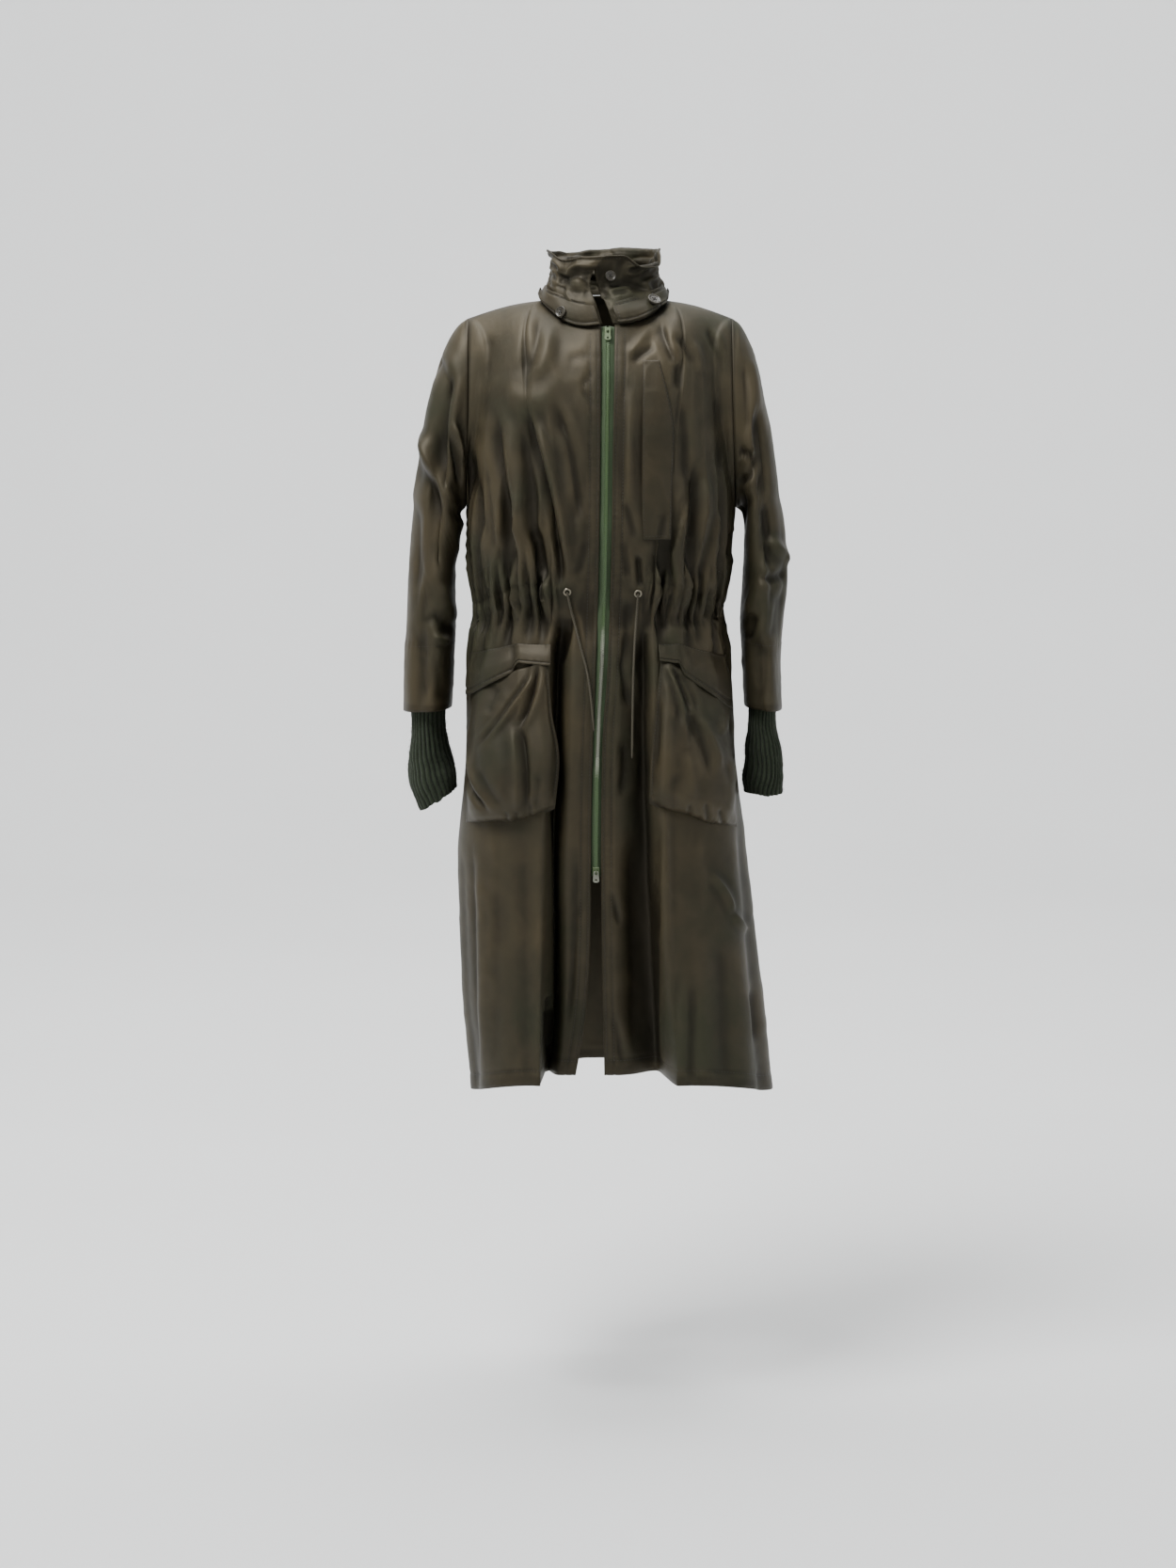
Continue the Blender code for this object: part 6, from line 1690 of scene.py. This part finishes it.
def wool_knit(settings):
    """Brushed wool, knitted in ribs: matt and hairy, with a painted highlight on the ribs' loops and painted
    shade between the ribs.
    """
    made, tree, shader, place_on = blank("wool_rib_knit")
    shade = add(tree, "Attribute", attribute_name="rib")
    flecks = add(tree, "TexNoise", {"Vector": (place_on, "Object"), "Scale": 900.0, "Detail": 3.0})
    mixed = add(tree, "Math", {0: (shade, "Fac"), 1: (flecks, "Fac"), 2: 0.08}, operation="MULTIPLY_ADD")
    # The rib value paints the colour: painted shade between the ribs and a painted highlight on their crests.
    colour = add(tree, "ValToRGB", {"Fac": (mixed, "Value")},
        stops=[(0.05, tuple(c * 0.35 for c in settings.knit)), (0.45, tuple(settings.knit)),
        (0.8, tuple(c * 1.7 for c in settings.knit))])
    # Yarn hairs and twist, about 0.8 mm across.
    hair = add(tree, "TexNoise", {"Vector": (place_on, "Object"), "Scale": 1250.0, "Detail": 4.0,
        "Roughness": 0.7})
    bump = add(tree, "Bump", {"Height": (hair, "Fac"), "Strength": 0.7, "Distance": 0.0006})
    fit(tree, shader, {"Base Color": (colour, "Color"), "Normal": (bump, "Normal"), "Roughness": 0.95,
        "Specular IOR Level": 0.15, "Sheen Weight": 0.06, "Sheen Roughness": 0.5})
    return made


def woven_tape(settings):
    """Polyester zip tape, woven in fine ribs along its length: matt, green."""
    made, tree, shader, place_on = blank("woven_polyester_tape")
    # Ribs of 1.2 mm across the tape.
    ribs = add(tree, "TexWave", {"Vector": (place_on, "UV"), "Scale": 1 / 0.0012 / WAVE,
        "Distortion": 0.3}, wave_type="BANDS", bands_direction="X")
    rows = add(tree, "TexWave", {"Vector": (place_on, "UV"), "Scale": 1 / 0.001 / WAVE,
        "Distortion": 0.3}, wave_type="BANDS", bands_direction="Y")
    weave = add(tree, "Math", {0: (ribs, "Fac"), 1: (rows, "Fac")}, operation="MULTIPLY")
    # The weave's low places are painted darker, as shade between the tape's threads.
    colour = add(tree, "ValToRGB", {"Fac": (weave, "Value")},
        stops=[(0.0, tuple(c * 0.6 for c in settings.zip_green)), (0.8, tuple(settings.zip_green))])
    bump = add(tree, "Bump", {"Height": (weave, "Value"), "Strength": 0.5, "Distance": 0.0003})
    fit(tree, shader, {"Base Color": (colour, "Color"), "Normal": (bump, "Normal"), "Roughness": 0.85,
        "Sheen Weight": 0.15})
    return made


def zip_metal(settings):
    """Nickel zip teeth, painted green where the zip is seldom drawn and worn bare lower down."""
    made, tree, shader, place_on = blank("painted_nickel_teeth")
    parts = add(tree, "SeparateXYZ", {"Vector": (place_on, "Object")})
    specks = add(tree, "TexNoise", {"Vector": (place_on, "Object"), "Scale": 420.0, "Detail": 2.0})
    height = add(tree, "MapRange", {"Value": (parts, "Z"), "From Min": -0.4, "From Max": -0.475,
        "To Min": 0.0, "To Max": 1.0})
    below = add(tree, "MapRange", {"Value": (parts, "Z"), "From Min": -0.62, "From Max": -0.56,
        "To Min": 0.0, "To Max": 1.0})
    worn = add(tree, "Math", {0: (height, "Result"), 1: (below, "Result")}, operation="MULTIPLY")
    grain = add(tree, "Math", {0: (specks, "Fac"), 1: 0.35, 2: (worn, "Value")}, operation="MULTIPLY_ADD")
    bare = add(tree, "MapRange", {"Value": (grain, "Value"), "From Min": 0.3, "From Max": 0.85,
        "To Min": 0.0, "To Max": 1.0})
    colour = add(tree, "Mix", {"Factor": (bare, "Result"), 6: (*settings.teeth_green, 1.0),
        7: (*settings.teeth_bare, 1.0)}, data_type="RGBA")
    rough = add(tree, "MapRange", {"Value": (bare, "Result"), "To Min": 0.5, "To Max": 0.24})
    fit(tree, shader, {"Base Color": (colour, 2), "Metallic": (bare, "Result"),
        "Roughness": (rough, "Result")})
    return made


def scuffed(name, base, edge, metallic, roughness, grain, rub):
    """A small hard part: its finish, mottled at `grain` metres, and paler where handling has rubbed it."""
    made, tree, shader, place_on = blank(name)
    mottle = add(tree, "TexNoise", {"Vector": (place_on, "Object"), "Scale": 1 / grain, "Detail": 3.0})
    sharp = add(tree, "NewGeometry")
    worn = add(tree, "MapRange", {"Value": (sharp, "Pointiness"), "From Min": 0.5, "From Max": 0.56,
        "To Min": 0.0, "To Max": rub})
    amount = add(tree, "Math", {0: (mottle, "Fac"), 1: 0.4, 2: (worn, "Result")},
        operation="MULTIPLY_ADD", use_clamp=True)
    colour = add(tree, "Mix", {"Factor": (amount, "Value"), 6: (*base, 1.0), 7: (*edge, 1.0)},
        data_type="RGBA")
    shine = add(tree, "MapRange", {"Value": (mottle, "Fac"), "From Min": 0.3, "From Max": 0.7,
        "To Min": roughness - 0.06, "To Max": roughness + 0.08})
    bump = add(tree, "Bump", {"Height": (mottle, "Fac"), "Strength": 0.15, "Distance": 0.0002})
    fit(tree, shader, {"Base Color": (colour, 2), "Roughness": (shine, "Result"),
        "Normal": (bump, "Normal"), "Metallic": metallic})
    return made


def braided_cord(settings):
    """Braided cotton-nylon cord: matt, with its yarns crossing every 1.4 mm."""
    made, tree, shader, place_on = blank("braided_cord")
    waves = []
    for turn in (50, -50):
        slant = add(tree, "Mapping", {"Vector": (place_on, "UV"), "Rotation": (0, 0, math.radians(turn))})
        waves.append(add(tree, "TexWave", {"Vector": (slant, "Vector"), "Scale": 1 / 0.0014 / WAVE},
            wave_type="BANDS", bands_direction="X"))
    weave = add(tree, "Math", {0: (waves[0], "Fac"), 1: (waves[1], "Fac")}, operation="MAXIMUM")
    # The braid's grooves are painted darker, as shade between the crossing yarns.
    colour = add(tree, "ValToRGB", {"Fac": (weave, "Value")},
        stops=[(0.3, tuple(c * 0.4 for c in settings.cord)), (0.9, tuple(settings.cord))])
    bump = add(tree, "Bump", {"Height": (weave, "Value"), "Strength": 0.7, "Distance": 0.0004})
    fit(tree, shader, {"Base Color": (colour, "Color"), "Normal": (bump, "Normal"), "Roughness": 0.8})
    return made


def sewing_thread(settings):
    """Polyester sewing thread: a little glossier and darker than the cloth."""
    made, tree, shader, place_on = blank("polyester_thread")
    twist = add(tree, "TexNoise", {"Vector": (place_on, "Object"), "Scale": 1600.0, "Detail": 1.0})
    colour = add(tree, "ValToRGB", {"Fac": (twist, "Fac")},
        stops=[(0.3, tuple(c * 0.5 for c in settings.thread)), (0.7, tuple(settings.thread))])
    fit(tree, shader, {"Base Color": (colour, "Color"), "Roughness": 0.5})
    return made


def painted_board(settings):
    """Studio sweep: matt white emulsion with the faintest roller mottle."""
    made, tree, shader, place_on = blank("matt_white_sweep")
    mottle = add(tree, "TexNoise", {"Vector": (place_on, "Object"), "Scale": 1.3, "Detail": 3.0})
    colour = add(tree, "ValToRGB", {"Fac": (mottle, "Fac")},
        stops=[(0.3, tuple(c * 0.97 for c in settings.sweep)), (0.7, tuple(settings.sweep))])
    fit(tree, shader, {"Base Color": (colour, "Color"), "Roughness": 0.9})
    return made


MADE = {}


def finish(key):
    """A finish by its short name, made once."""
    settings = bpy.context.scene.parka
    makers = {
        "cloth": coated_cotton_nylon,
        "knit": wool_knit,
        "tape": woven_tape,
        "teeth": zip_metal,
        "cord": braided_cord,
        "thread": sewing_thread,
        "sweep": painted_board,
        # Enamelled zinc slider: green paint, rubbed to metal on its edges.
        "painted": lambda s: scuffed(
            "enamelled_zinc", tuple(s.zip_green), srgb("#55603F"), 0.15, 0.4, 0.0011, 0.3
        ),
        # Bare nickel-plated pull, dulled by handling.
        "nickel": lambda s: scuffed(
            "nickel_plate", srgb("#5E5F55"), srgb("#8A8B80"), 1.0, 0.34, 0.0013, 0.7
        ),
        # Turned polyester resin button, the cloth's brown, with a soft gloss.
        "resin": lambda s: scuffed(
            "polyester_resin", tuple(s.button), srgb("#4A4539"), 0.0, 0.32, 0.0022, 0.25
        ),
        # Antiqued brass eyelet: brown in its hollows, bright on its dome.
        "brass": lambda s: scuffed(
            "antiqued_brass", srgb("#4A4438"), srgb("#9A9484"), 1.0, 0.32, 0.0012, 0.8
        ),
    }
    if key not in MADE:
        MADE[key] = makers[key](settings)
    return MADE[key]


# --- What a user may change ---
def colour_of(name, words, code):
    return FloatVectorProperty(name=name, description=words, subtype="COLOR", size=3, default=srgb(code))


def length_of(name, words, size):
    return FloatProperty(name=name, description=words, default=size, unit="LENGTH", subtype="DISTANCE")


class ParkaSettings(bpy.types.PropertyGroup):
    """Sizes and colours of the parka's finish and its studio."""

    shell: length_of("Cloth", "Thickness of the drawn cloth", 0.0008)
    button_right: length_of("Right button", "Diameter", 0.015)
    button_left: length_of("Left button", "Diameter", 0.018)
    button_inner: length_of("Inner button", "Diameter", 0.014)
    tooth_pitch: length_of("Tooth pitch", "From one zip tooth to the next on a side", 0.0021)
    cloth_brown: colour_of("Cloth, brown", "Brownest patches of the coated cloth", "#2A251A")
    cloth_mid: colour_of("Cloth, middle", "Coated cloth between the two", "#221F16")
    cloth_green: colour_of("Cloth, green", "Greenest patches of the coated cloth", "#1B1C13")
    knit: colour_of("Knit", "Wool of the ribbed cuffs", "#252B20")
    zip_green: colour_of("Zip", "Tape and painted sliders", "#304322")
    teeth_green: colour_of("Painted teeth", "Teeth with their paint on", "#374B28")
    teeth_bare: colour_of("Bare teeth", "Teeth worn to the metal", "#A9AA9C")
    button: colour_of("Buttons", "Resin buttons", "#1D1A14")
    cord: colour_of("Cord", "Braided drawcord", "#3A3526")
    thread: colour_of("Thread", "Sewing thread", "#1B1914")
    sweep: colour_of("Sweep", "Studio floor and walls", "#DADBDB")
    floor: length_of("Floor", "Height of the studio floor", -1.46)
    sweep_radius: length_of("Sweep", "Distance to the studio's wall", 7.0)
    key_power: FloatProperty(name="Key light", description="Watts", default=330.0, unit="POWER")
    fill_power: FloatProperty(name="Fill light", description="Watts", default=30.0, unit="POWER")
    wall_power: FloatProperty(name="Wall light", description="Watts", default=560.0, unit="POWER")


def cloth_piece(name, grid, outward, node, thick=None, closed=False):
    """One cut piece of coated cloth over its solid, which it hides, with the cloth's thickness."""
    thick = thick or bpy.context.scene.parka.shell
    obj, ways = shell(name, grid, outward, thick, closed)
    dress(obj, node, finish("cloth"))
    return ways


class PARKA_OT_camera(bpy.types.Operator):
    """Sets up the camera in front of the coat, a little above its neck and looking down at it"""

    bl_idname = "parka.camera"
    bl_label = "Camera"

    def execute(self, context):
        data = bpy.data.cameras.new("camera")
        data.sensor_width, data.lens = 36.0, 76.99
        data.clip_end = 60
        camera = bpy.data.objects.new("camera", data)
        camera.location = (-0.021, -4.5, -0.065)
        camera.rotation_euler = (math.radians(90 - 7.2265), 0, 0)
        context.scene.collection.objects.link(camera)
        context.scene.camera = camera
        return {"FINISHED"}


class PARKA_OT_drawcords(bpy.types.Operator):
    """Makes the two free ends of the waist drawcord"""

    bl_idname = "parka.drawcords"
    bl_label = "Drawcord ends"

    def execute(self, context):
        for side, word in SIDES:
            line = cord_line(side)
            obj = round_cord("drawcord_finish_" + word, line, CORD)
            dress(obj, "drawcord_" + word, finish("cord"))
        return {"FINISHED"}


class PARKA_OT_body(bpy.types.Operator):
    """Makes the two fronts and the back, with their folds, gathers, hems and stitching"""

    bl_idname = "parka.body"
    bl_label = "Fronts and back"

    def execute(self, context):
        for side, word in SIDES:
            points, hints, across = front_points(side)
            ways = cloth_piece("front_cloth_" + word, points, hints, "front_" + word)
            stitched("front_stitches_" + word, front_stitches(points, ways, across))
        points, hints = back_points()
        ways = cloth_piece("back_cloth", points, hints, "back")
        stitched("back_stitches", [near_hem(points, ways, HEM_DEPTH, 2)])
        return {"FINISHED"}


class PARKA_OT_sleeves(bpy.types.Operator):
    """Makes the sleeves with their elbow folds and deep hems"""

    bl_idname = "parka.sleeves"
    bl_label = "Sleeves"

    def execute(self, context):
        for side, word in SIDES:
            points, hints = sleeve_points(side)
            ways = cloth_piece("sleeve_cloth_" + word, points, hints, "sleeve_" + word,
                closed=True)
            stitched("sleeve_stitches_" + word, [near_hem(points, ways, SLEEVE_HEM, 0)])
        return {"FINISHED"}


class PARKA_OT_collar(bpy.types.Operator):
    """Makes the crumpled stand collar and its two button tabs"""

    bl_idname = "parka.collar"
    bl_label = "Collar and tabs"

    def execute(self, context):
        points, hints = collar_points()
        ways = cloth_piece("collar_cloth", points, hints, "collar", thick=0.0012)
        stitched("collar_stitches", [near_hem(points, ways, COLLAR_STITCHES, 2)])
        for side, word in SIDES:
            points, hints = tab_sheet(side)
            ways = cloth_piece("tab_cloth_" + word, points, hints, "collar_tab_" + word,
                thick=0.0014)
            stitched_at("tab_stitches_" + word, points, ways,
                (np.full(70, 26.0), np.linspace(3, 76, 70)), (np.full(70, 3.5), np.linspace(3, 76, 70)),
                (np.linspace(3.5, 26, 30), np.full(30, 3.0)))
        return {"FINISHED"}


class PARKA_OT_pockets(bpy.types.Operator):
    """Makes the bellows pockets, their flaps and the chest pocket"""

    bl_idname = "parka.pockets"
    bl_label = "Pockets and flaps"

    def execute(self, context):
        for side, word in SIDES:
            points, hints = pocket_sheet(side)
            ways = cloth_piece("pocket_cloth_" + word, points, hints, "pocket_" + word)
            stitched_at("pocket_stitches_" + word, points, ways,
                (np.linspace(4, 98, 90), np.full(90, 2.5)))
            points, hints = flap_sheet(side)
            ways = cloth_piece("flap_cloth_" + word, points, hints, "pocket_flap_" + word,
                thick=0.0012)
            stitched_at("flap_stitches_" + word, points, ways,
                (np.full(90, 34.0), np.linspace(2, 93, 90)), (np.full(90, 1.2), np.linspace(2, 93, 90)))
        points, hints = chest_pocket_sheet()
        ways = cloth_piece("chest_pocket_cloth", points, hints, "chest_pocket")
        stitched_at("chest_pocket_stitches", points, ways, (np.linspace(2, 107, 120), np.full(120, 1.6)),
            (np.full(24, 107.0), np.linspace(1.6, 27.5, 24)), (np.linspace(107, 2, 120), np.full(120, 27.5)))
        return {"FINISHED"}


class PARKA_OT_knit(bpy.types.Operator):
    """Makes the ribbed wool cuffs with their loose fibres"""

    bl_idname = "parka.knit"
    bl_label = "Knit cuffs"

    def execute(self, context):
        for side, word in SIDES:
            points, hints, rib = knit_points(side)
            obj, ways = shell("knit_" + word, points, hints, 0.0016, closed=True)
            layer = obj.data.attributes.new("rib", "FLOAT", "POINT")
            # The inner face takes 0.3 of the rib value, so its colour is painted darker as shade inside the
            # cuff.
            layer.data.foreach_set("value", np.concatenate([rib.ravel(), rib.ravel() * 0.3]))
            dress(obj, "knit_cuff_" + word, finish("knit"))
            fuzz("knit_fuzz_" + word, points, ways, 2600, 7 + side, finish("knit"))
        return {"FINISHED"}


class PARKA_OT_zip(bpy.types.Operator):
    """Makes the zip's tapes and teeth, and finishes its sliders and pulls"""

    bl_idname = "parka.zip"
    bl_label = "Zip"

    def execute(self, context):
        settings = context.scene.parka
        drop = np.linspace(TAPE_TOP, TAPE_BOTTOM, 240)
        right, left, middle, run = zip_line(drop)
        across = unit(left - right)
        out = unit(np.cross(run, across))
        for side, word, edge in ((RIGHT, "right", right), (LEFT, "left", left)):
            outer = edge + across * side * 0.005 - out * 0.0042
            inner = middle + across * side * (CHAIN_HALF - 0.0012)
            share = np.linspace(0, 1, 9)[None, :, None]
            points = outer[:, None] * (1 - share) + inner[:, None] * share
            points = points + (0.0004 * np.sin(drop / 0.02))[:, None, None] * out[:, None]
            obj, _ = shell("zip_tape_cloth_" + word, points, np.repeat(out[:, None], 9, axis=1), 0.0007)
            dress(obj, "zip_tape_" + word, finish("tape"))
        half = SLIDER_SIZE[1] / 2 + SLIDER_GAP / 2
        top, bottom = SLIDER_DROP["top"] + half, SLIDER_DROP["bottom"] - half
        count = int((bottom - top) / settings.tooth_pitch)
        right, left, middle, run = zip_line(np.linspace(top, bottom, 2 * count))
        across = unit(left - right)
        out = unit(np.cross(run, across))
        pattern = modelled_tooth("tooth", 0.0034, 0.00125, 0.002)
        teeth = []
        for number in range(2 * count):
            side = 1 if number % 2 else -1
            tooth = bpy.data.objects.new(f"tooth_{number}", pattern.data.copy())
            context.scene.collection.objects.link(tooth)
            centre = middle[number] + across[number] * side * 0.00085 + out[number] * 0.0003
            frame_axes = np.stack([side * across[number], side * np.cross(out[number], across[number]),
                out[number]], axis=1)
            turn = Matrix([list(map(float, row)) + [0.0] for row in frame_axes] + [[0.0, 0.0, 0.0, 1.0]])
            tooth.data.transform(Matrix.Translation(Vector(centre)) @ turn)
            teeth.append(tooth)
        bpy.data.objects.remove(pattern)
        chain = joined("zip_teeth", teeth)
        dress(chain, "zip_chain", finish("teeth"))
        for name, key in (("zip_slider_top", "painted"), ("zip_pull_top", "painted"),
                          ("zip_slider_bottom", "painted"), ("zip_pull_bottom", "nickel")):
            for slot in bpy.data.objects[name].material_slots:
                slot.material = finish(key)
        return {"FINISHED"}


class PARKA_OT_buttons(bpy.types.Operator):
    """Makes the three resin buttons with their thread, and the two eyelets"""

    bl_idname = "parka.buttons"
    bl_label = "Buttons and eyelets"

    def execute(self, context):
        settings = context.scene.parka
        spots = {"right": (settings.button_right, *tab_point(RIGHT, 36, 0.72, CLOTH / 2 + 0.001)),
            "left": (settings.button_left, *tab_point(LEFT, 48, 0.5, CLOTH / 2 + 0.001))}
        turn, up = np.array([345.0]), np.array([0.72])
        way = collar_normals(turn, up)[0]
        spots["inner"] = (settings.button_inner, collar(turn, up)[0] + way * (CLOTH / 2 + 0.002), way)
        for word, (wide, centre, way) in spots.items():
            centre = centre + way * BUTTON_THICK / 2
            button = set_in_place(modelled_button("button_cap_" + word, wide, BUTTON_THICK), centre, way, UP)
            dress(button, "button_" + word, finish("resin"))
            sewn = modelled_thread("button_thread_" + word, wide, BUTTON_THICK)
            dress(set_in_place(sewn, centre, way, UP), None, finish("thread"))
        for side, word in SIDES:
            centre, way = eyelet_place(side)
            ring_piece = set_in_place(modelled_eyelet("eyelet_ring_" + word), centre + way * 0.0009, way, UP)
            dress(ring_piece, "eyelet_" + word, finish("brass"))
        return {"FINISHED"}


BUTTON_THICK = 0.003
UP = (0, 0, 1)


def tab_point(side, near, down, lift):
    """A point on a collar tab and the way it faces."""
    rows = TAB[side]
    near, down = np.array([[near]], float), np.array([[down]], float)
    top, low, out = (through(rows, key, near, "turn") for key in ("top", "low", "out"))

    def at(near, down):
        turn = near if side == RIGHT else 360 - near
        ways = collar_normals(turn, np.full_like(turn, 0.2))
        fall = stacked(0, 0, 1) * (low * step(0.4, 1, down))[..., None]
        return collar(turn, top * (1 - down)) + ways * (0.0028 + out * step(0, 1, down))[..., None] - fall

    along = at(near, down + 0.01) - at(near, down - 0.01)
    way = unit(np.cross(along, at(near + 0.5, down) - at(near - 0.5, down)))[0, 0]
    way = way * (1 if way[1] < 0 else -1)
    return at(near, down)[0, 0] + way * lift, way


class PARKA_OT_studio(bpy.types.Operator):
    """Makes the plain pale studio: a round sweep and soft lights"""

    bl_idname = "parka.studio"
    bl_label = "Studio"

    def execute(self, context):
        settings = context.scene.parka
        radius, floor, bend = settings.sweep_radius, settings.floor, 2.6
        turns = np.linspace(0, math.tau, 97)[:-1]
        curve = [(r, floor) for r in np.linspace(0.01, radius - bend, 12)]
        for t in np.linspace(0, math.pi / 2, 18)[1:]:
            curve.append((radius - bend + bend * math.sin(t), floor + bend * (1 - math.cos(t))))
        curve += [(radius, floor + bend + rise) for rise in np.linspace(0.4, 5.0, 6)]
        r, z = np.array(curve).T
        points = stacked(r[:, None] * np.cos(turns), r[:, None] * np.sin(turns), z[:, None])
        number = np.arange(points.shape[0] * 96).reshape(-1, 96)
        number = np.hstack([number, number[:, :1]])
        faces = np.stack([number[:-1, :-1], number[1:, :-1], number[1:, 1:], number[:-1, 1:]], axis=-1)
        sweep = new_piece("studio_sweep", points.reshape(-1, 3), [faces.reshape(-1, 4), number[:1, :-1]])
        sweep.data.materials.append(finish("sweep"))
        for name, power, size, spot, aim in (
            ("key_light", settings.key_power, 1.8, (-1.5, -1.6, 3.0), (0, 0, -0.4)),
            ("fill_light", settings.fill_power, 2.0, (3.0, -2.2, 0.8), (0, 0, -0.5)),
            ("wall_light", settings.wall_power, 4.0, (0.0, 1.6, 4.4), (0, 6.0, 0.2)),
        ):
            data = bpy.data.lights.new(name, "AREA")
            data.energy, data.size = power, size
            lamp = bpy.data.objects.new(name, data)
            lamp.location = spot
            lamp.rotation_euler = (Vector(aim) - Vector(spot)).to_track_quat("-Z", "Y").to_euler()
            context.scene.collection.objects.link(lamp)
        world = bpy.data.worlds.new("studio_air")
        world.use_nodes = True
        air = world.node_tree.nodes["Background"]
        air.inputs["Color"].default_value = (*srgb("#F2F4F6"), 1.0)
        air.inputs["Strength"].default_value = 0.12
        context.scene.world = world
        return {"FINISHED"}


STEPS = (
    PARKA_OT_camera,
    PARKA_OT_drawcords,
    PARKA_OT_body,
    PARKA_OT_sleeves,
    PARKA_OT_collar,
    PARKA_OT_pockets,
    PARKA_OT_knit,
    PARKA_OT_zip,
    PARKA_OT_buttons,
    PARKA_OT_studio,
)


class PARKA_PT_panel(bpy.types.Panel):
    """The parka's pieces and settings"""

    bl_label = "Packable parka"
    bl_space_type = "VIEW_3D"
    bl_region_type = "UI"
    bl_category = "Parka"

    def draw(self, context):
        for name in ParkaSettings.__annotations__:
            self.layout.prop(context.scene.parka, name)
        for step_class in STEPS:
            self.layout.operator(step_class.bl_idname)


def register():
    for made_class in (ParkaSettings, *STEPS, PARKA_PT_panel):
        bpy.utils.register_class(made_class)
    bpy.types.Scene.parka = PointerProperty(type=ParkaSettings)


def unregister():
    del bpy.types.Scene.parka
    for made_class in reversed((ParkaSettings, *STEPS, PARKA_PT_panel)):
        bpy.utils.unregister_class(made_class)


def main():
    register()
    for step_class in STEPS:
        group, name = step_class.bl_idname.split(".")
        getattr(getattr(bpy.ops, group), name)()


if __name__ == "__main__":
    main()
